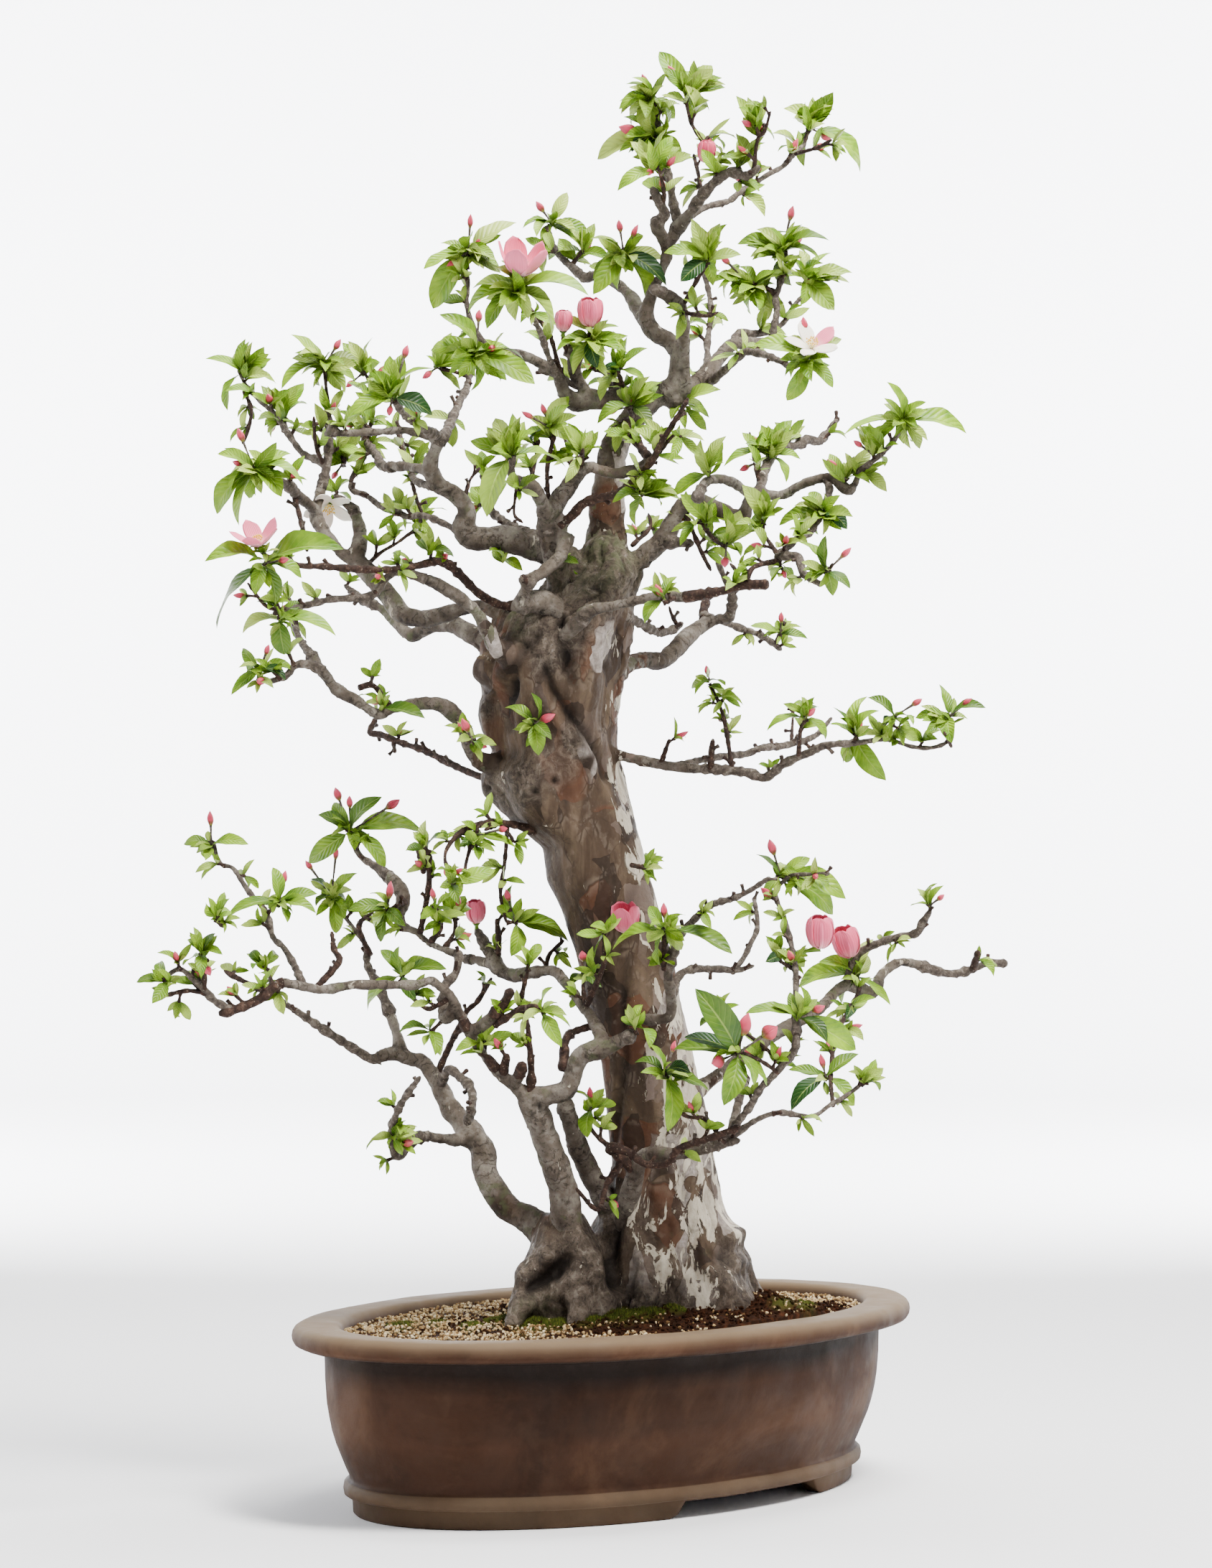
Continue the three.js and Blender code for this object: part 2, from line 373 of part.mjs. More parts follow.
// Surface roots, written as the limbs are.
const ROOTS = {
  "root_front_left": [-36, -100, [[752,1762,46],[730,1805,36],[712,1852,20]]],
  "root_front": [-40, -108, [[808,1765,46],[806,1812,36],[800,1858,20]]],
  "root_front_middle": [-20, -82, [[910,1750,50],[900,1795,38],[886,1842,20]]],
  "root_right": [20, 42, [[1010,1730,50],[1056,1772,34],[1096,1812,17]]],
  "root_back_left": [25, 100, [[808,1742,52],[772,1782,38],[742,1826,20]]],
  "root_back": [45, 122, [[885,1732,52],[872,1772,38],[862,1812,20]]],
  "root_back_right": [45, 122, [[965,1732,52],[988,1772,36],[1008,1812,20]]],
};

// Burrs and burls on the trunk: column, row, depth and radius (mm).
const BURRS = [
  [843, 778, 4, 18], [682, 932, -8, 13], [790, 1788, -44, 17],
];

// Leafy sprays, each a piece of its own: heart (column, row), leaves (tip column, tip row, width)
// and buds (column, row, width, height).
const SPRAYS = {
  "spray_top_left": [[908,135], [[862,152,16],[940,165,22],[880,108,12],[905,180,14]], [[898,112,9,20]]],
  "spray_top": [[958,132], [[918,72,20],[1010,122,16],[988,155,14],[925,95,14],[962,168,16]],
    [[950,112,8,20],[935,98,9,16]]],
  "spray_top_low": [[915,188], [[880,212,28],[832,222,20],[950,215,18],[868,163,14],[922,232,18]],
    [[875,180,15,28],[933,205,14,18]]],
  "spray_top_right": [[1125,182], [[1122,142,14],[1158,160,14],[1105,165,14],[1120,232,16],[1198,240,18]],
    [[1150,190,12,18]]],
  "spray_high_mid": [[872,348], [[822,333,16],[842,365,16],[826,410,22],[925,362,14],[928,398,20],[903,425,14]],
    [[863,315,9,18],[884,322,8,22]]],
  "spray_bloom_left": [[722,398], [[658,402,22],[820,412,26],[652,436,18],[678,458,16],[768,466,18]], []],
  "spray_left_peak": [[652,350], [[590,375,22],[622,358,16],[680,365,22],[720,310,14],[697,380,16],[603,430,18]],
    [[655,308,8,20],[667,336,9,20],[628,368,8,18]]],
  "spray_left_crown": [[664,486], [[600,488,28],[612,438,18],[730,502,20],[745,535,18],[697,532,16],[662,525,14],
    [655,545,16],[640,455,14]], [[667,440,10,18]]],
  "spray_crown_bloom": [[822,468], [[832,512,30],[876,495,20],[775,490,16],[800,520,16],[862,455,14]], []],
  "spray_crown_right": [[1092,350], [[1027,340,22],[1155,335,16],[1045,358,16],[1142,362,16],[1103,398,22],
    [1072,318,14]], [[1102,297,10,22]]],
  "spray_crown_far": [[1122,388], [[1162,432,26],[1187,380,14],[1183,394,14],[1158,352,16],[1115,425,18]], []],
  "spray_crown_mid": [[1048,400], [[1025,372,18],[1000,402,18],[1070,445,20],[1108,382,14],[1046,438,22]],
    [[1073,380,8,14],[1010,362,9,18]]],
  "spray_crown_back": [[985,365], [[925,352,18],[1032,355,14],[1005,316,14],[993,398,16],[948,392,22]],
    [[976,330,9,18],[991,345,8,16]]],
  "spray_bloom_right": [[1125,495], [[1096,558,22],[1050,480,16],[1172,472,14],[1160,540,18]], [[1120,452,11,22]]],
  "spray_west_top": [[452,508], [[405,466,16],[500,502,20],[392,542,18],[410,492,14],[480,548,16],[495,516,12]],
    [[470,480,9,18]]],
  "spray_west_mid": [[545,555], [[560,493,12],[606,514,18],[495,540,22],[484,582,20],[602,578,32],[530,512,14],
    [478,600,16]], [[565,490,10,20],[543,572,9,16]]],
  "spray_west_peak": [[335,520], [[286,500,16],[385,535,14],[317,572,20],[372,505,16],[345,478,14]], []],
  "spray_west_low": [[354,654], [[322,658,26],[392,692,28],[302,716,20],[333,732,20],[405,632,12],[422,676,16],
    [303,632,14],[385,616,16]], [[335,606,10,22],[330,645,8,14]]],
  "spray_west_bloom": [[368,785], [[285,782,18],[302,876,28],[356,828,20],[383,842,16],[478,765,20],[420,805,14]],
    [[395,780,9,16]]],
  "spray_far_left": [[388,860], [[338,882,16],[468,886,24],[396,912,30],[358,838,14],[420,838,14]],
    [[395,848,9,16]]],
  "spray_heart": [[745,1008], [[740,965,13],[703,986,14],[750,1052,26],[725,1030,12],[768,1030,12]],
    [[762,1000,12,26]]],
  "spray_fork_left": [[712,640], [[702,588,16],[684,625,18],[655,614,16],[678,720,18],[788,651,20],[745,600,26]],
    [[717,622,9,18],[700,652,8,16]]],
  "spray_fork_back": [[872,572], [[905,600,22],[862,540,13],[832,590,14],[900,560,14]], [[850,572,11,22],
    [880,556,8,20]]],
  "spray_fork_right": [[893,690], [[916,672,14],[898,655,16],[886,734,20],[853,700,14],[920,705,14]], []],
  "spray_east_mid": [[1062,640], [[1008,650,20],[1115,640,14],[1095,672,16],[1075,605,14],[1038,618,14]],
    [[1055,615,9,18],[1037,652,9,16]]],
  "spray_east": [[1145,705], [[1085,732,18],[1180,737,20],[1128,685,12],[1170,690,14],[1140,745,16]], []],
  "spray_east_peak": [[1258,578], [[1175,606,24],[1346,604,24],[1235,532,12],[1272,615,20],[1290,560,14],
    [1225,612,16]], []],
  "spray_east_low": [[1152,790], [[1113,755,13],[1150,746,12],[1160,830,20],[1184,820,20],[1120,810,14]],
    [[1178,770,9,22]]],
  "spray_low_right": [[1122,1005], [[1068,1018,14],[1150,1030,14],[1105,980,12],[1140,985,12]], [[1130,992,9,18]]],
  "spray_right_far": [[1190,1028], [[1155,1008,13],[1234,1087,20],[1178,1062,18],[1225,990,18],[1208,970,12],
    [1160,985,16]], [[1197,1010,10,20]]],
  "spray_right_tip": [[1322,998], [[1326,1035,24],[1308,953,13],[1373,986,20],[1275,1000,14],[1290,1022,12]],
    [[1347,978,9,18]]],
  "spray_left_rise": [[390,1250], [[380,1208,12],[314,1281,22],[442,1245,13],[440,1272,12],[362,1266,14],
    [400,1285,14]], [[396,1222,9,20]]],
  "spray_left_end": [[282,1335], [[280,1362,14],[262,1308,14],[300,1300,12],[255,1345,14],[310,1330,14]],
    [[290,1352,11,16]]],
  "spray_left_mass": [[483,1150], [[443,1135,18],[494,1184,20],[430,1202,14],[532,1110,14],[592,1162,22],
    [536,1212,22],[465,1118,14],[520,1178,14]], [[470,1106,11,20],[487,1117,9,18],[547,1120,12,24]]],
  "spray_left_low": [[465,1242], [[432,1225,20],[498,1216,12],[480,1280,18],[484,1262,12],[440,1262,14],
    [468,1300,14]], [[468,1188,8,20],[430,1205,8,16]]],
  "spray_left_inner": [[540,1265], [[527,1302,24],[485,1268,14],[530,1312,14],[565,1290,14],[515,1245,12]],
    [[543,1240,11,26],[516,1255,8,16]]],
  "spray_near_trunk": [[718,1285], [[712,1332,26],[714,1232,14],[780,1296,24],[792,1312,16],[692,1262,12]],
    [[707,1247,9,18],[727,1318,9,18]]],
  "spray_left_knot": [[560,1358], [[530,1323,13],[622,1350,18],[512,1408,16],[556,1318,20],[595,1335,16],
    [580,1395,14]], []],
  "spray_right_rise": [[1088,1222], [[1053,1190,12],[1125,1248,16],[1178,1252,16],[1160,1274,22],[1065,1255,14],
    [1128,1195,14],[1110,1215,12]], [[1075,1180,12,24],[1150,1228,12,16]]],
  "spray_right_mid": [[1195,1358], [[1112,1376,18],[1208,1330,18],[1216,1308,15],[1240,1400,16],[1172,1398,16],
    [1140,1340,14]], []],
  "spray_right_heart": [[1112,1425], [[1020,1415,22],[1192,1462,26],[1152,1452,16],[1100,1382,12],[1075,1400,14],
    [1142,1396,13]], [[1140,1405,11,20]]],
  "spray_trunk_right": [[927,1292], [[853,1323,16],[1020,1329,24],[920,1345,34],[955,1275,14],[905,1262,12]],
    [[925,1268,10,22]]],
  "spray_low_buds": [[1028,1462], [[953,1445,16],[938,1462,18],[1050,1512,22],[1068,1512,24],[1008,1540,28],
    [992,1425,22],[968,1377,14]], [[1038,1427,18,34],[1072,1437,22,26],[1000,1478,20,20],[993,1398,9,20]]],
  "spray_foot_right": [[930,1488], [[884,1480,16],[962,1495,20],[935,1545,14],[928,1606,24],[988,1520,14],
    [905,1455,14]], [[938,1458,8,18]]],
  "spray_foot_twig": [[822,1548], [[795,1522,12],[858,1538,12],[818,1585,30],[840,1522,12]], [[822,1523,9,20]]],
};

// Small tufts of young leaves and buds, which stay one with the twigs they grow from.
const TUFTS = [
  [[910,238], [[860,266,16],[966,220,13]], [[903,240,9,18]]],
  [[1022,232], [[1000,218,14],[1045,212,14],[1035,252,12]], [[1027,246,10,14]]],
  [[1052,178], [[1028,150,14],[1078,195,14]], [[1040,172,9,18]]],
  [[812,352], [[775,352,16],[850,362,16]], [[820,340,9,18]]],
  [[858,520], [[838,515,14],[900,536,12],[870,495,12]], []],
  [[505,520], [[482,508,12],[530,505,12]], [[505,498,9,16],[487,535,8,14]]],
  [[608,512], [[650,470,14],[642,547,16]], [[595,522,9,18]]],
  [[400,582], [[362,562,14],[385,542,12],[428,563,18]], [[378,597,9,16]]],
  [[480,652], [[458,650,14],[512,657,18]], [[466,662,8,14]]],
  [[578,735], [[560,722,12],[600,742,14]], [[583,722,8,14]]],
  [[598,770], [[632,776,16],[585,752,12]], []],
  [[528,992], [[498,970,13],[592,1001,16]], [[528,976,9,18]]],
  [[655,1028], [[670,1045,12]], [[648,1010,11,22]]],
  [[765,595], [[792,552,13],[798,613,16],[740,618,24]], [[757,570,8,18],[735,578,8,20]]],
  [[805,640], [[838,625,13],[790,615,12]], []],
  [[985,660], [[938,690,16],[1008,645,12]], [[988,650,8,16]]],
  [[1010,765], [[1000,745,14],[1032,775,12]], [[1010,783,12,16]]],
  [[985,738], [[965,728,12],[1003,728,13]], []],
  [[1088,790], [[1075,805,12],[1105,812,12]], [[1092,800,8,14]]],
  [[1063,730], [[1045,742,12],[1080,718,12]], [[1063,708,12,24]]],
  [[1215,632], [[1185,592,16],[1232,650,12]], [[1195,618,8,16]]],
  [[1180,668], [[1155,632,14],[1212,674,14]], [[1160,648,14,24]]],
  [[1088,875], [[1045,872,14],[1125,890,14]], [[1088,860,8,16]]],
  [[988,948], [[963,958,12],[1010,955,12]], [[985,934,8,16]]],
  [[1006,972], [[1027,973,12],[985,985,12]], []],
  [[1246,998], [[1236,1022,22],[1272,1010,15],[1208,972,12]], [[1277,978,9,18]]],
  [[897,1208], [[912,1222,14],[905,1190,10]], []],
  [[300,1168], [[256,1176,16],[346,1176,14],[285,1195,12]], [[293,1140,9,22]]],
  [[302,1284], [[287,1258,12],[320,1268,12]], []],
  [[232,1368], [[190,1368,14],[212,1398,16],[222,1340,12]], []],
  [[370,1348], [[350,1325,12],[385,1328,12],[352,1350,14]], []],
  [[600,1262], [[640,1245,15],[585,1280,12]], [[603,1245,8,18]]],
  [[630,1232], [[608,1212,12],[690,1212,14],[640,1260,12]], [[622,1216,8,16]]],
  [[598,1185], [[580,1160,13],[625,1162,14],[565,1185,13]], []],
  [[638,1282], [[600,1290,16],[655,1265,12]], [[637,1255,11,20]]],
  [[668,1160], [[724,1186,20],[640,1180,12]], [[700,1155,9,14]]],
  [[738,1350], [[728,1322,12],[753,1315,12]], []],
  [[598,1435], [[556,1438,16],[606,1470,26],[620,1420,12]], []],
  [[676,1452], [[634,1464,13],[716,1440,15],[672,1412,12]], []],
  [[550,1578], [[510,1602,20],[565,1560,12],[560,1600,12]], []],
  [[1190,1402], [[1178,1420,14]], []],
  [[1150,1500], [[1098,1490,14],[1102,1547,26],[1196,1468,12],[1190,1540,14]], [[1145,1478,9,22]]],
  [[1200,1508], [[1225,1520,12],[1215,1490,12]], []],
  [[1297,1266], [[1268,1262,12],[1306,1230,12]], [[1310,1250,8,14]]],
  [[845,1298], [[822,1290,14],[828,1335,14]], []],
  [[820,1350], [[795,1372,18],[838,1375,12]], [[812,1332,12,16]]],
  [[1085,1338], [[1066,1340,14],[1105,1325,14]], []],
  [[1005,1425], [[975,1430,16],[1030,1400,16]], []],
  [[885,1438], [[905,1460,20],[870,1415,18]], []],
  [[790,800], [[768,790,12],[806,785,14],[795,830,12]], []],
  [[700,780], [[680,768,12],[728,795,14]], []],
  [[768,310], [[822,330,20],[728,318,16],[790,268,12],[758,345,14]], [[752,288,10,20]]],
  [[362,932], [[322,968,14],[338,903,12],[398,948,18],[408,932,14],[345,935,12]],
    [[372,905,8,16]]],
  [[948,550], [[903,567,18],[1004,543,14],[988,582,12],[935,585,14]], [[947,523,10,22]]],
  [[925,838], [[898,868,20],[943,803,10],[905,822,10]], [[917,822,10,20]]],
  [[755,1402], [[795,1432,18],[782,1458,14],[728,1425,12],[770,1375,12]], []],
];

// Blooms: base (column, row), middle of the flower, its width, how far it has opened (0 to 1), colour.
const BLOOMS = {
  "bloom_top": [[983,228], [985,202], 28, 0.15, "pink"],
  "bloom_left_crown": [[724,392], [730,352], 68, 0.55, "pink"],
  "bloom_crown_small": [[784,468], [785,448], 26, 0.15, "pink"],
  "bloom_crown_mid": [[822,462], [822,434], 38, 0.25, "pink"],
  "bloom_west": [[362,768], [358,745], 70, 0.75, "pink"],
  "bloom_right_tulip": [[1142,1322], [1142,1293], 42, 0.3, "pink"],
  "bloom_right_back": [[1182,1338], [1173,1308], 44, 0.3, "pink"],
  "bloom_trunk": [[872,1300], [870,1275], 42, 0.25, "pink"],
  "bloom_low_left": [[658,1300], [657,1278], 30, 0.2, "pink"],
  "bloom_right_pale": [[1132,495], [1133,480], 78, 0.95, "white"],
  "bloom_west_pale": [[458,700], [460,716], 72, 0.95, "white"],
};

const UP = new THREE.Vector3(0, 0, 1);
const FRONT = new THREE.Vector3(0, -1, 0);
const RIGHT = new THREE.Vector3(1, 0, 0);

function place(column, row, depth) {
  const perPixel = (SIGHT.distance + depth) / SIGHT.focal;
  const x = (column - SIGHT.column) * perPixel;
  return new THREE.Vector3(x, depth, SIGHT.height - (row - SIGHT.row) * perPixel);
}

function inMillimetres(pixels, depth) {
  return pixels * (SIGHT.distance + depth) / SIGHT.focal;
}

function mix(from, to, share) {
  return from + (to - from) * share;
}

// Closed body through a row of sections, each a ring of points turning the same way, or one point.
function loft(rings) {
  const points = rings.flat();
  const starts = [];
  let count = 0;
  for (const ring of rings) {
    starts.push(count);
    count += ring.length;
  }
  const triangles = [];
  for (let i = 1; i < rings.length; i += 1) {
    const below = rings[i - 1].length;
    const above = rings[i].length;
    const sides = Math.max(below, above);
    for (let j = 0; j < sides; j += 1) {
      const next = (j + 1) % sides;
      const a = starts[i - 1] + (below > 1 ? j : 0);
      const c = starts[i] + (above > 1 ? next : 0);
      if (below > 1) triangles.push([a, starts[i - 1] + next, c]);
      if (above > 1) triangles.push([a, c, starts[i] + j]);
    }
  }
  const close = (ring, start, facingOut) => {
    if (ring.length < 3) return;
    if (ring.length < 7) {
      for (let j = 2; j < ring.length; j += 1) {
        triangles.push(facingOut ? [start, start + j - 1, start + j] : [start, start + j, start + j - 1]);
      }
      return;
    }
    const middle = ring.reduce((sum, p) => sum.add(p), new THREE.Vector3()).divideScalar(ring.length);
    points.push(middle);
    for (let j = 0; j < ring.length; j += 1) {
      const next = (j + 1) % ring.length;
      const edge = facingOut ? [start + j, start + next] : [start + next, start + j];
      triangles.push([points.length - 1, ...edge]);
    }
  };
  close(rings[0], starts[0], false);
  close(rings[rings.length - 1], starts[starts.length - 1], true);
  const vertProperties = new Float32Array(points.flatMap((p) => [p.x, p.y, p.z]));
  const triVerts = new Uint32Array(triangles.flat());
  return new wasm.Manifold(new wasm.Mesh({ numProp: 3, vertProperties, triVerts }));
}

function joined(solids) {
  let round = solids;
  while (round.length > 1) {
    const next = [];
    for (let i = 0; i < round.length; i += 2) {
      next.push(i + 1 < round.length ? round[i].add(round[i + 1]) : round[i]);
    }
    round = next;
  }
  return round[0];
}

// The largest connected part, with its corners on a fine grid and those that meet made one:
// this fills hollows that joining has sealed and drops loose scraps.
function oneBody(solid) {
  let whole = solid;
  for (let round = 0; round < 2; round += 1) {
    const { vertProperties, triVerts } = whole.getMesh();
    const corners = new Map();
    const points = [];
    const kept = [];
    for (let i = 0; i < vertProperties.length; i += 3) {
      const at = [0, 1, 2].map((axis) => Math.round(vertProperties[i + axis] / GRID) * GRID);
      const key = at.map((value) => value.toFixed(3)).join();
      if (!corners.has(key)) {
        corners.set(key, points.length / 3);
        points.push(...at);
      }
      kept.push(corners.get(key));
    }
    const triangles = [];
    for (let i = 0; i < triVerts.length; i += 3) {
      const [a, b, c] = [0, 1, 2].map((corner) => kept[triVerts[i + corner]]);
      if (a !== b && b !== c && c !== a) triangles.push(a, b, c);
    }
    const mesh = { numProp: 3, vertProperties: new Float32Array(points), triVerts: new Uint32Array(triangles) };
    const parts = new wasm.Manifold(new wasm.Mesh(mesh)).decompose();
    whole = parts.reduce((best, part) => (part.volume() > best.volume() ? part : best));
  }
  return whole;
}

function boxOf(solid) {
  const { min, max } = solid.boundingBox();
  return new THREE.Box3(new THREE.Vector3(...min), new THREE.Vector3(...max));
}

// Pot and soil

function oval(inset, height) {
  const turn = THREE.MathUtils.degToRad(POT.turn);
  const ring = [];
  for (let i = 0; i < OVAL_SIDES; i += 1) {
    const angle = 2 * Math.PI * i / OVAL_SIDES;
    const along = (POT.halfLength - inset) * Math.cos(angle);
    const across = (POT.halfWidth - inset) * Math.sin(angle);
    const x = POT.x + along * Math.cos(turn) - across * Math.sin(turn);
    const y = POT.y + along * Math.sin(turn) + across * Math.cos(turn);
    ring.push(new THREE.Vector3(x, y, height));
  }
  return ring;
}

function footOpening(side) {
  const turn = THREE.MathUtils.degToRad(POT.turn);
  const { halfLength, narrowed, from, past } = FOOT_OPENING;
  const ring = (height) => [
    [-halfLength, from], [halfLength, from], [halfLength * narrowed, past], [-halfLength * narrowed, past],
  ].map(([along, share]) => {
    const u = side * along;
    const v = side * share * POT.halfWidth;
    const x = POT.x + u * Math.cos(turn) - v * Math.sin(turn);
    return new THREE.Vector3(x, POT.y + u * Math.sin(turn) + v * Math.cos(turn), height);
  });
  return loft([ring(-CUT_PAST), ring(FOOT_OPENING.height)]);
}

function pot() {
  const outside = loft(POT_SIDE.map(([inset, height]) => oval(inset, height)));
  const inside = [...POT_INSIDE].reverse().map(([inset, height]) => oval(inset, height));
  inside.push(oval(POT_INSIDE[0][0], POT.height + CUT_PAST));
  const { inset, height } = POT_UNDERSIDE;
  const underside = loft([oval(inset, -CUT_PAST), oval(inset, height)]);
  const openings = [footOpening(1), footOpening(-1)];
  return [loft(inside), underside, ...openings].reduce((whole, cut) => whole.subtract(cut), outside);
}

function soilHeight(x, y) {
  const away = Math.hypot(x - SOIL.x, y - SOIL.y) / SOIL.reach;
  const mound = Math.exp(-away * away * SOIL.steepness);
  return SOIL.edge + mound * (SOIL.mound + SOIL.slope * (x - SOIL.x));
}

function soilBody(lift) {
  const rings = SOIL_SIDE.map(([inset, height]) => oval(inset, height));
  const rim = rings[rings.length - 1];
  const wall = rings.length - 1;
  for (const share of SOIL_RINGS) {
    rings.push(rim.map((p) => {
      const x = mix(SOIL.x, p.x, share);
      const y = mix(SOIL.y, p.y, share);
      return new THREE.Vector3(x, y, soilHeight(x, y));
    }));
  }
  for (const ring of rings.slice(wall)) {
    ring.forEach((p) => { p.z += lift; });
  }
  return loft(rings);
}

function stump(grow) {
  const ring = (height) => {
    const points = [];
    for (let i = 0; i < STUMP.sides; i += 1) {
      const angle = 2 * Math.PI * i / STUMP.sides;
      const x = STUMP.x + (STUMP.halfLength + grow) * Math.cos(angle);
      const y = STUMP.y + (STUMP.halfWidth + grow) * Math.sin(angle);
      points.push(new THREE.Vector3(x, y, height));
    }
    return points;
  };
  return loft([ring(STUMP.bottom - grow), ring(STUMP.top)]);
}

// Trunk

function foldedSections(rows, grow) {
  const lowestFirst = [...rows].reverse();
  return lowestFirst.map(([row, left, right, depth, halfDepth, folds], index) => {
    const middle = place((left + right) / 2, row, depth);
    const halfAcross = inMillimetres((right - left) / 2, depth);
    const turn = row / FOLD_TWIST;
    const ring = [];
    for (let i = 0; i < TRUNK_SIDES; i += 1) {
      const angle = 2 * Math.PI * i / TRUNK_SIDES;
      const fold = Math.cos(3 * angle + turn) + 0.6 * Math.cos(5 * angle - 1.7 * turn);
      ring.push([Math.cos(angle) * (1 + folds * fold), Math.sin(angle) * (1 + folds * fold)]);
    }
    const least = Math.min(...ring.map(([u]) => u));
    const most = Math.max(...ring.map(([u]) => u));
    const end = index === 0 ? -grow : (index === rows.length - 1 ? grow : 0);
    return ring.map(([u, v]) => {
      const across = mix(-halfAcross - grow, halfAcross + grow, (u - least) / (most - least));
      return new THREE.Vector3(middle.x + across, middle.y + v * (halfDepth + grow), middle.z + end);
    });
  });
}

function burr([column, row, depth, radius], grow) {
  const round = new THREE.IcosahedronGeometry(radius + grow, 1);
  const position = round.attributes.position;
  const corners = new Map();
  const points = [];
  const triVerts = [];
  const middle = place(column, row, depth);
  for (let i = 0; i < position.count; i += 1) {
    const p = new THREE.Vector3().fromBufferAttribute(position, i);
    const key = p.toArray().map((value) => value.toFixed(3)).join();
    if (!corners.has(key)) {
      corners.set(key, points.length);
      points.push(p.add(middle));
    }
    triVerts.push(corners.get(key));
  }
  const vertProperties = new Float32Array(points.flatMap((p) => [p.x, p.y, p.z]));
  return new wasm.Manifold(new wasm.Mesh({ numProp: 3, vertProperties, triVerts: new Uint32Array(triVerts) }));
}

// Limbs and twigs

// Knots of a limb: picture place, depth and radius, with the thickness spread between those given.
function knotsOf(startDepth, endDepth, points) {
  const lengths = [0];
  for (let i = 1; i < points.length; i += 1) {
    const step = Math.hypot(points[i][0] - points[i - 1][0], points[i][1] - points[i - 1][1]);
    lengths.push(lengths[i - 1] + step);
  }
  const whole = lengths[lengths.length - 1];
  return points.map(([column, row], i) => {
    let before = i;
    while (points[before].length < 3) before -= 1;
    let after = i;
    while (after < points.length - 1 && points[after].length < 3) after += 1;
    const end = points[after].length < 3 ? points[before][2] * TAPER : points[after][2];
    const span = lengths[after] - lengths[before];
    const share = span > 0 ? (lengths[i] - lengths[before]) / span : 0;
    const depth = mix(startDepth, endDepth, lengths[i] / whole);
    const radius = Math.max(inMillimetres(mix(points[before][2], end, share), depth) / 2, LEAST_TWIG);
    return { column, row, depth, radius, at: place(column, row, depth) };
  });
}

function directionAt(path, i) {
  const before = path[Math.max(i - 1, 0)].at;
  const after = path[Math.min(i + 1, path.length - 1)].at;
  return after.clone().sub(before).normalize();
}

function sectionsAlong(path, sides, grow) {
  const last = path.length - 1;
  let side = null;
  return path.map((knot, i) => {
    const along = directionAt(path, i);
    if (!side) side = Math.abs(along.z) < 0.8 ? UP.clone() : RIGHT.clone();
    side.addScaledVector(along, -side.dot(along)).normalize();
    const other = along.clone().cross(side);
    const end = i === 0 ? -grow : (i === last ? grow : 0);
    const middle = knot.at.clone().addScaledVector(along, end);
    const ring = [];
    for (let j = 0; j < sides; j += 1) {
      const angle = 2 * Math.PI * j / sides;
      const reach = knot.radius + grow;
      const point = middle.clone().addScaledVector(side, reach * Math.cos(angle));
      ring.push(point.addScaledVector(other, reach * Math.sin(angle)));
    }
    return ring;
  });
}

// Knots that matter for the shape: the straight stretches between them are within the tolerance.
function straightened(path, tolerance) {
  const first = path[0];
  const last = path[path.length - 1];
  let worst = 0;
  let index = 0;
  const line = new THREE.Line3(first.at, last.at);
  for (let i = 1; i < path.length - 1; i += 1) {
    const near = line.closestPointToPoint(path[i].at, true, new THREE.Vector3());
    const share = near.distanceTo(first.at) / line.distance();
    const thicker = Math.abs(path[i].radius - mix(first.radius, last.radius, share));
    const away = near.distanceTo(path[i].at) + thicker;
    if (away > worst) {
      worst = away;
      index = i;
    }
  }
  if (worst < tolerance) return [first, last];
  const left = straightened(path.slice(0, index + 1), tolerance);
  return [...left, ...straightened(path.slice(index), tolerance).slice(1)];
}

// Leaves out knots whose sections would cut through the one before them in a tight bend.
function untangled(path) {
  const margin = 0.5;
  for (let i = 1; i < path.length; i += 1) {
    const rings = sectionsAlong(path, 8, margin);
    const here = directionAt(path, i);
    const before = directionAt(path, i - 1);
    const behind = rings[i].some((p) => p.clone().sub(path[i - 1].at).dot(before) < 0.1);
    const ahead = rings[i - 1].some((p) => p.clone().sub(path[i].at).dot(here) > -0.1);
    if ((behind || ahead) && path.length > 2) {
      const dropped = i === path.length - 1 ? i - 1 : i;
      return untangled(path.filter((_, j) => j !== dropped));
    }
  }
  return path;
}

function sidesFor(radius) {
  return LIMB_SIDES.find(([least]) => radius > least)[1];
}

// The paths of all limbs, roots and twigs, which later ones, sprays and blooms grow from.
const limbPaths = [];

function nearestOnLimbs(column, row, depth = null) {
  let best = null;
  for (const path of limbPaths) {
    for (let i = 1; i < path.length; i += 1) {
      const a = path[i - 1];
      const b = path[i];
      const spanX = b.column - a.column;
      const spanY = b.row - a.row;
      const reach = spanX * spanX + spanY * spanY;
      const along = ((column - a.column) * spanX + (row - a.row) * spanY) / reach;
      const share = THREE.MathUtils.clamp(along, 0, LAST_ROOTING);
      const at = a.at.clone().lerp(b.at, share);
      const foot = { column: a.column + spanX * share, row: a.row + spanY * share };
      const away = Math.hypot(foot.column - column, foot.row - row);
      const cost = depth === null ? away : away + Math.abs(at.y - depth) * DEPTH_WEIGHT;
      if (!best || cost < best.cost) {
        best = { cost, away, at, depth: at.y, radius: mix(a.radius, b.radius, share), ...foot };
      }
    }
  }
  return best;
}

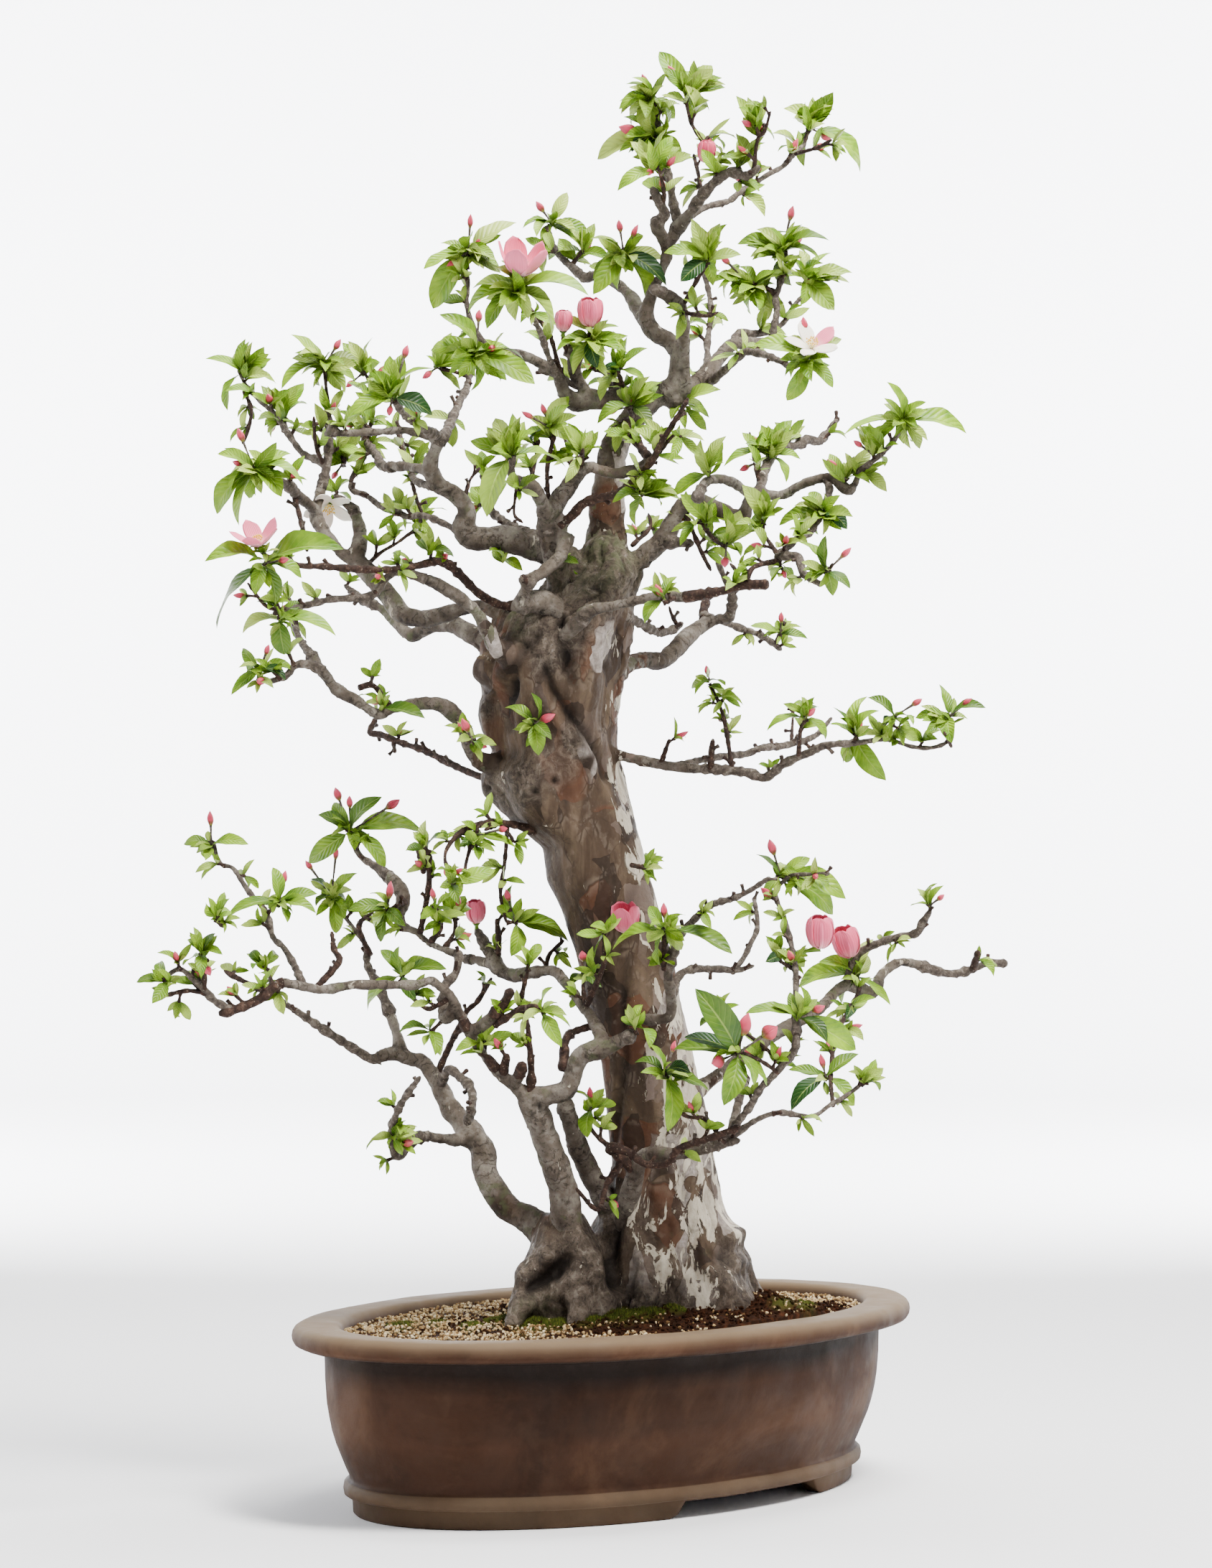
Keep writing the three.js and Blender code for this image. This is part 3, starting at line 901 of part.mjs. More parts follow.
// Depth of the front and of the back of the trunk or its foot at a picture place, or null beside it.
function trunkSpan(rows, column, row) {
  for (let i = 1; i < rows.length; i += 1) {
    const [top, topLeft, topRight, topDepth, topHalf] = rows[i - 1];
    const [bottom, left, right, depth, half] = rows[i];
    if (row >= top && row <= bottom) {
      const share = (row - top) / (bottom - top);
      const middle = mix(topLeft + topRight, left + right, share) / 2;
      const across = mix(topRight - topLeft, right - left, share) / 2;
      const off = (column - middle) / across;
      if (Math.abs(off) > 0.96) return null;
      const centre = mix(topDepth, depth, share);
      const deep = mix(topHalf, half, share) * Math.sqrt(1 - off * off);
      return [centre - deep, centre + deep];
    }
  }
  return null;
}

function insideTrunk(column, row, depth) {
  return [TRUNK_ROWS, FOOT_ROWS].some((rows) => {
    const span = trunkSpan(rows, column, row);
    return span !== null && depth > span[0] + TRUNK_SKIN && depth < span[1] - TRUNK_SKIN;
  });
}

// The path of a limb, rooted in the trunk or moved onto the middle of the limb that carries it.
function growLimb(startDepth, endDepth, points) {
  const [column, row] = points[0];
  const carrier = insideTrunk(column, row, startDepth) ? null : nearestOnLimbs(column, row, startDepth);
  const rooted = carrier !== null && carrier.away < LONGEST_ROOTING;
  const knots = knotsOf(rooted ? carrier.depth : startDepth, endDepth, points);
  if (rooted) Object.assign(knots[0], { column: carrier.column, row: carrier.row, at: carrier.at });
  const path = untangled(straightened(knots, BEND_TOLERANCE));
  limbPaths.push(path);
  return path;
}

function limbPiece(path) {
  const sides = sidesFor(Math.max(...path.map((knot) => knot.radius)) * 0.9);
  return (grow) => loft(sectionsAlong(path, sides, grow));
}

// Where something grows from: a point inside the wood, and the place just outside it, on the side
// that its leaves lean to.
function seatAt(column, row, leaning) {
  const limb = nearestOnLimbs(column, row);
  const span = trunkSpan(TRUNK_ROWS, column, row);
  if (span !== null && (limb.away > BESIDE_LIMB || limb.depth > span[0] + BEHIND_BARK)) {
    return { inside: place(column, row, span[0] + 8), outside: place(column, row, span[0] - 4) };
  }
  const outward = leaning.clone().addScaledVector(FRONT, 0.6).normalize();
  const outside = place(column, row, limb.depth);
  const clear = limb.radius + HEART_RADIUS;
  if (outside.distanceTo(limb.at) < clear) outside.copy(limb.at).addScaledVector(outward, clear);
  return { inside: limb.at, outside };
}

// The way that a tuft leans, from the middle of its leaves' tips.
function leanOf(heart, tips) {
  const sum = new THREE.Vector3();
  for (const [column, row] of tips) {
    const away = new THREE.Vector3(column - heart[0], 0, heart[1] - row);
    sum.add(away.normalize());
  }
  return sum.length() > 0.3 ? sum.normalize() : sum.set(0, 0, 1);
}

// Leaves, buds and petals

// A thin arched blade with a keel below. Its stations give a share of the length and of the width.
function blade(root, tip, width, facing, arch, stations, grow) {
  const along = tip.clone().sub(root);
  const length = along.length();
  along.divideScalar(length);
  const side = along.clone().cross(facing).normalize();
  const upper = side.clone().cross(along);
  const rings = [[root.clone().addScaledVector(along, -2 * grow)]];
  for (const [share, breadth] of stations) {
    const middle = root.clone().addScaledVector(along, share * length);
    middle.addScaledVector(upper, arch * length * 4 * share * (1 - share));
    const reach = width / 2 * breadth + 2 * grow;
    const left = middle.clone().addScaledVector(side, -reach).addScaledVector(upper, grow);
    const right = middle.clone().addScaledVector(side, reach).addScaledVector(upper, grow);
    rings.push([right, middle.clone().addScaledVector(upper, -BLADE_KEEL * breadth - 2 * grow), left]);
  }
  rings.push([tip.clone().addScaledVector(along, 2 * grow)]);
  return loft(rings);
}

const BROAD_LEAF = [[0.3, 0.78], [0.58, 1], [0.84, 0.62]];
const SMALL_LEAF = [[0.38, 0.95], [0.74, 0.8]];
const YOUNG_LEAF = [[0.55, 1]];
const PETAL = [[0.42, 0.9], [0.82, 0.92]];

// A slim body between two points, widest at the share of its length given.
function spindle(from, to, radius, widest, sides, grow) {
  const along = to.clone().sub(from).normalize();
  const side = (Math.abs(along.z) < 0.8 ? UP.clone() : RIGHT.clone()).cross(along).normalize();
  const other = along.clone().cross(side);
  const middle = from.clone().lerp(to, widest);
  const ring = [];
  for (let i = 0; i < sides; i += 1) {
    const angle = 2 * Math.PI * (i + 0.5) / sides;
    const point = middle.clone().addScaledVector(side, (radius + grow * 1.4) * Math.cos(angle));
    ring.push(point.addScaledVector(other, (radius + grow * 1.4) * Math.sin(angle)));
  }
  const start = from.clone().addScaledVector(along, -2 * grow);
  return loft([[start], ring, [to.clone().addScaledVector(along, 2 * grow)]]);
}

// Turns tried in order, in the picture and in depth, until a leaf is clear of its neighbours.
const LEAF_TURNS = [[0, 0], [0, -14], [0, 14], [0.3, 0], [-0.3, 0], [0.3, -18], [-0.3, -18], [0.3, 18],
  [-0.3, 18], [0, -28], [0, 28], [0.6, -10], [-0.6, -10]];

function leafMaker(seat, heart, [column, row, width], key, [turn, lean], young) {
  const depth = seat.outside.y;
  const across = column - heart[0];
  const down = row - heart[1];
  const turnedColumn = heart[0] + across * Math.cos(turn) - down * Math.sin(turn);
  const turnedRow = heart[1] + across * Math.sin(turn) + down * Math.cos(turn);
  const seen = inMillimetres(Math.hypot(across, down), depth);
  const short = Math.sqrt(Math.max(0, LEAST_LEAF * LEAST_LEAF - seen * seen));
  const hidden = Math.max(0.3 * seen, 0.85 * short);
  const tipDepth = depth + (key % 2 ? 1 : -1) * hidden + lean;
  const tip = place(turnedColumn, turnedRow, tipDepth);
  const facing = FRONT.clone().multiplyScalar(0.8).addScaledVector(UP, 0.5);
  facing.addScaledVector(RIGHT, 0.7 * Math.sin(2.3 * key + 0.4));
  let stations = width >= 26 ? BROAD_LEAF : SMALL_LEAF;
  if (young || width < 18) stations = YOUNG_LEAF;
  const breadth = inMillimetres(width, depth) * 1.1;
  return (grow) => blade(seat.outside, tip, breadth, facing, LEAF_ARCH, stations, grow);
}

function budMaker(seat, [column, row, width, height], key) {
  const depth = seat.outside.y + (key % 2 ? 3 : -3);
  const middle = place(column, row, depth);
  const along = middle.clone().sub(seat.outside);
  const half = inMillimetres(height, depth) / 2;
  const widest = along.length() / (along.length() + half);
  const tip = middle.addScaledVector(along.normalize(), half);
  return (grow) => spindle(seat.outside, tip, inMillimetres(width, depth) / 2, widest, 3, grow);
}

// The heart that leaves grow from, with a short stem inside the wood where it stands well clear of it.
function heartMaker(seat) {
  const along = seat.outside.clone().sub(seat.inside);
  const length = along.length();
  const tip = seat.outside.clone().addScaledVector(along.normalize(), HEART_TIP);
  const widest = length / (length + HEART_TIP);
  return (grow) => {
    const heart = spindle(seat.inside, tip, HEART_RADIUS, widest, 3, grow);
    if (length < BARE_STEM) return heart;
    const stem = [seat.inside, seat.outside].map((at) => ({ at, radius: STEM_RADIUS }));
    return heart.add(loft(sectionsAlong(stem, 3, grow)));
  };
}

// A bloom that is hardly open: five petals folded round each other, as a cup with five lobes.
function foldedPetals(root, axis, length, width, grow) {
  const first = axis.clone().cross(RIGHT).normalize();
  const second = axis.clone().cross(first);
  const rings = [[root.clone().addScaledVector(axis, -2 * grow)]];
  for (const [share, breadth, lobe] of [[0.3, 0.8, 0.1], [0.68, 1, 0.16], [0.94, 0.62, 0.3]]) {
    const ring = [];
    for (let i = 0; i < 10; i += 1) {
      const angle = Math.PI * i / 5;
      const reach = (width / 2 + grow) * breadth * (i % 2 ? 1 - lobe : 1 + lobe / 2);
      const point = root.clone().addScaledVector(axis, share * length + (i % 2 ? -grow : grow));
      point.addScaledVector(first, reach * Math.cos(angle));
      ring.push(point.addScaledVector(second, reach * Math.sin(angle)));
    }
    rings.push(ring);
  }
  rings.push([root.clone().addScaledVector(axis, length * 0.86 + 2 * grow)]);
  return loft(rings);
}

function bloomMakers([base, middle, width, open]) {
  const seat = seatAt(base[0], base[1], leanOf(base, [middle]));
  const depth = seat.outside.y;
  const axis = place(middle[0], middle[1], depth).sub(place(base[0], base[1], depth)).normalize();
  axis.addScaledVector(FRONT, 0.25 + 0.9 * open).normalize();
  const size = inMillimetres(width, depth);
  const makers = [heartMaker(seat)];
  if (open < 0.5) {
    const reach = 1.15 * size / Math.hypot(axis.x, axis.z);
    makers.push((grow) => foldedPetals(seat.outside, axis, reach, size, grow));
    return makers;
  }
  const first = axis.clone().cross(RIGHT).normalize();
  const second = axis.clone().cross(first);
  for (let i = 0; i < 5; i += 1) {
    const lean = 1.35 * open + (i % 2 ? 0.06 : -0.06);
    const length = size / 2 / Math.sin(lean);
    const angle = 2 * Math.PI * i / 5 + 0.35;
    const outward = first.clone().multiplyScalar(Math.cos(angle)).addScaledVector(second, Math.sin(angle));
    const tip = seat.outside.clone().addScaledVector(axis, Math.cos(lean) * length);
    tip.addScaledVector(outward, Math.sin(lean) * length);
    const facing = axis.clone().multiplyScalar(Math.sin(lean)).addScaledVector(outward, -Math.cos(lean));
    const breadth = (0.46 + 0.34 * open) * length;
    makers.push((grow) => blade(seat.outside, tip, breadth, facing, PETAL_ARCH, PETAL, grow));
  }
  const stamens = seat.outside.clone().addScaledVector(axis, size * 0.22);
  const sunk = seat.outside.clone().addScaledVector(axis, -3);
  makers.push((grow) => spindle(sunk, stamens, 2.4, 0.6, 4, grow));
  return makers;
}

// Neighbours, kept a little larger than life, which later pieces are bent or cut clear of.
const neighbours = [];

function addNeighbour(make) {
  const solid = make(CLEARANCE);
  neighbours.push({ solid, box: boxOf(solid) });
}

function cutClear(solid) {
  const box = boxOf(solid);
  const touching = neighbours.filter((other) => other.box.intersectsBox(box));
  return touching.reduce((whole, other) => whole.subtract(other.solid), solid);
}

// The share of a leaf that is still one with its heart after it has been cut clear.
function shareKept(heart, make) {
  const solid = make(0);
  const parts = heart.add(cutClear(solid)).decompose();
  const most = Math.max(...parts.map((part) => part.volume()));
  return (most - heart.volume()) / solid.volume();
}

// A seat moved on, the way its leaves lean or to the front, until its heart is clear of its neighbours.
function clearSeatAt(column, row, leaning) {
  const seat = seatAt(column, row, leaning);
  for (const way of [leaning.clone().addScaledVector(FRONT, 0.6).normalize(), FRONT]) {
    for (let step = 0; step < FURTHEST_STEP; step += 4) {
      const outside = seat.outside.clone().addScaledVector(way, step);
      const behind = outside.clone().addScaledVector(way, -HEART_RADIUS);
      const ahead = outside.clone().addScaledVector(way, HEART_TIP);
      const bead = spindle(behind, ahead, HEART_RADIUS, 0.4, 4, 0);
      if (cutClear(bead).volume() > CLEAR_ENOUGH * bead.volume()) return { inside: seat.inside, outside };
    }
  }
  return seat;
}

// A spray as a list of makers: its heart, then each leaf and bud in the first turn that is clear.
function sprayMakers([heart, leaves, buds], key) {
  const seat = clearSeatAt(heart[0], heart[1], leanOf(heart, leaves));
  const makers = [heartMaker(seat)];
  const core = cutClear(makers[0](0));
  leaves.forEach((leaf, i) => {
    const tries = LEAF_TURNS.map((turn) => leafMaker(seat, heart, leaf, key + i, turn, false));
    const shares = [];
    for (const make of tries) {
      shares.push(shareKept(core, make));
      if (shares[shares.length - 1] > CLEAR_ENOUGH) break;
    }
    const best = Math.max(...shares);
    if (best > LEAST_KEPT) makers.push(tries[shares.indexOf(best)]);
  });
  buds.forEach((bud, i) => {
    const make = budMaker(seat, bud, key + i);
    if (shareKept(core, make) > LEAST_KEPT) makers.push(make);
  });
  return makers;
}

// A tuft's young leaves, or its bud where it has no leaf, rooted inside the twig that they are one with.
function tuftMakers([heart, leaves, buds], key) {
  const seat = seatAt(heart[0], heart[1], leanOf(heart, leaves));
  const rooted = { inside: seat.inside, outside: seat.inside };
  const kept = leaves.slice(0, TUFT_LEAVES);
  const makers = kept.map((leaf, i) => leafMaker(rooted, heart, leaf, key + i, [0, 0], true));
  return kept.length ? makers : buds.slice(0, 1).map((bud) => budMaker(rooted, bud, key));
}

// Assembly

const COLOURS = {
  bark: [0x8a7462, 0.85], clay: [0x6d5648, 0.8], grit: [0xb3a48c, 0.95],
  leaf: [0x86b83e, 0.55], pink: [0xe58a98, 0.5], white: [0xf0ead8, 0.5],
};

function meshOf(name, solid, colour) {
  const { vertProperties, triVerts, numProp } = solid.getMesh();
  if (numProp !== 3) throw new Error(`${name} carries more than positions`);
  const geometry = new THREE.BufferGeometry();
  geometry.setAttribute('position', new THREE.BufferAttribute(new Float32Array(vertProperties), 3));
  geometry.setIndex(new THREE.BufferAttribute(new Uint32Array(triVerts), 1));
  geometry.computeVertexNormals();
  const [shade, roughness] = COLOURS[colour];
  const material = new THREE.MeshStandardMaterial({ color: shade, roughness, metalness: 0 });
  const mesh = new THREE.Mesh(geometry, material);
  mesh.name = name;
  return mesh;
}

const tree = new THREE.Group();

const soil = soilBody(0).subtract(stump(CLEARANCE));
tree.add(meshOf('pot', pot(), 'clay'));
tree.add(meshOf('soil', oneBody(soil), 'grit'));

const woodMakers = [
  (grow) => loft(foldedSections(TRUNK_ROWS, grow)),
  (grow) => loft(foldedSections(FOOT_ROWS, grow)),
  ...BURRS.map((row) => (grow) => burr(row, grow)),
  ...Object.values({ ...LIMBS, ...ROOTS }).map((limb) => limbPiece(growLimb(...limb))),
];
for (const [shift, points] of TWIGS) {
  const [[fromColumn, fromRow], [toColumn, toRow]] = [points[0], points[points.length - 1]];
  if (Math.hypot(toColumn - fromColumn, toRow - fromRow) > SHORTEST_TWIG) {
    const start = nearestOnLimbs(fromColumn, fromRow).depth;
    woodMakers.push(limbPiece(growLimb(start, start + shift, points)));
  }
}
TUFTS.filter((_, i) => i % TUFT_CYCLE !== 0)
  .forEach((entry, i) => woodMakers.push(...tuftMakers(entry, 11 * i)));

const aboveSoil = joined(woodMakers.map((make) => make(0))).subtract(soilBody(CLEARANCE));
const wood = oneBody(aboveSoil.add(stump(0)).simplify(FINEST));
tree.add(meshOf('tree_wood', wood, 'bark'));
woodMakers.forEach(addNeighbour);

for (const [name, [base, middle, width, open, colour]] of Object.entries(BLOOMS)) {
  const makers = bloomMakers([base, middle, width, open]);
  tree.add(meshOf(name, oneBody(cutClear(joined(makers.map((make) => make(0)))).simplify(FINEST)), colour));
  makers.forEach(addNeighbour);
}

Object.entries(SPRAYS).forEach(([name, entry], index) => {
  const makers = sprayMakers(entry, 7 * index);
  tree.add(meshOf(name, oneBody(cutClear(joined(makers.map((make) => make(0)))).simplify(FINEST)), 'leaf'));
  makers.forEach(addNeighbour);
});

const extent = new THREE.Box3().setFromObject(tree);
const centre = extent.getCenter(new THREE.Vector3());
tree.position.set(-centre.x, -centre.y, -extent.min.z);

export default tree;
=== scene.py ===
"""A Chinese quince bonsai in an oval, unglazed pot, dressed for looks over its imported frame.

Sizes are in metres unless a name ends in _mm. The front is towards -Y and +Z is up. Places on the tree
are set out along one sight line: a column and a row across the front, and a depth in millimetres.
"""

import logging
import math
import random
from dataclasses import dataclass, field
from enum import Enum

import bpy
import numpy as np
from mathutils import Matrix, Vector
from mathutils.kdtree import KDTree


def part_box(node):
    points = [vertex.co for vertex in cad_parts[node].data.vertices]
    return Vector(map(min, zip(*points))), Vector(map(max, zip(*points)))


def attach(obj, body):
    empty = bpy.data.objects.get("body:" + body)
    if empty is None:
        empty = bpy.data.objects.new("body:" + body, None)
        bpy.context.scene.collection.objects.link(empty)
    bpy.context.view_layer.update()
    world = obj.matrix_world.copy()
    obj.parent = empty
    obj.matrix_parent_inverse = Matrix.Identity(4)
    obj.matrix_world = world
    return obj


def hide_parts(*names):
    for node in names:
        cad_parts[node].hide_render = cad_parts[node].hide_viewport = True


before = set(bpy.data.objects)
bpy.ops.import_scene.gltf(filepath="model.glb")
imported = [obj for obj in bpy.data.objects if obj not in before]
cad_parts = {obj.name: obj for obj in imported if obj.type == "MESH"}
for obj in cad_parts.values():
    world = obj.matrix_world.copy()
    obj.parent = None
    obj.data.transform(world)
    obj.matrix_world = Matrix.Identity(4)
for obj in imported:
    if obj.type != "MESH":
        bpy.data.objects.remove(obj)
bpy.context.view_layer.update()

log = logging.getLogger("quince")

MM = 0.001
POT_MIDDLE = (0.002, 0.032)
FRONT = np.array([0.0, -1.0, 0.0])
UP = np.array([0.0, 0.0, 1.0])
RIGHT = np.array([1.0, 0.0, 0.0])

Array = np.ndarray
Row = list

# Outline of the main trunk, from the burr at its top down into the soil.
# Each row: picture row, left edge, right edge, depth of the middle (mm), half depth (mm), folds.
TRUNK_ROWS: list[list] = [
  [768, 812, 884, 12, 22, 0.10],
  [800, 772, 896, 10, 34, 0.10],
  [830, 742, 884, 6, 42, 0.09],
  [860, 692, 883, 2, 46, 0.09],
  [895, 668, 878, 0, 46, 0.09],
  [935, 662, 872, 0, 46, 0.09],
  [970, 674, 866, 0, 44, 0.09],
  [1005, 676, 861, 0, 43, 0.09],
  [1045, 686, 861, 0, 43, 0.08],
  [1080, 668, 870, 0, 44, 0.08],
  [1110, 678, 877, 0, 43, 0.08],
  [1145, 712, 885, 0, 41, 0.07],
  [1180, 756, 894, 0, 38, 0.06],
  [1225, 761, 906, 0, 37, 0.06],
  [1275, 785, 920, 0, 35, 0.06],
  [1340, 805, 938, 0, 35, 0.06],
  [1410, 823, 952, 2, 35, 0.06],
  [1480, 838, 968, 4, 36, 0.06],
  [1550, 846, 985, 8, 38, 0.06],
  [1620, 847, 996, 12, 41, 0.07],
  [1680, 838, 1008, 16, 45, 0.05],
  [1725, 815, 1027, 20, 52, 0.06],
  [1765, 785, 1038, 24, 60, 0.06],
  [1800, 775, 1052, 26, 66, 0.07],
  [1850, 770, 1066, 26, 68, 0.08],
]

# Outline of the lower lobe at the trunk's left foot, which carries the low stems.
FOOT_ROWS: list[list] = [
  [1690, 756, 812, -18, 22, 0.06],
  [1715, 745, 826, -20, 32, 0.08],
  [1755, 732, 850, -20, 40, 0.10],
  [1800, 715, 862, -18, 44, 0.12],
  [1860, 700, 870, -16, 46, 0.13],
]

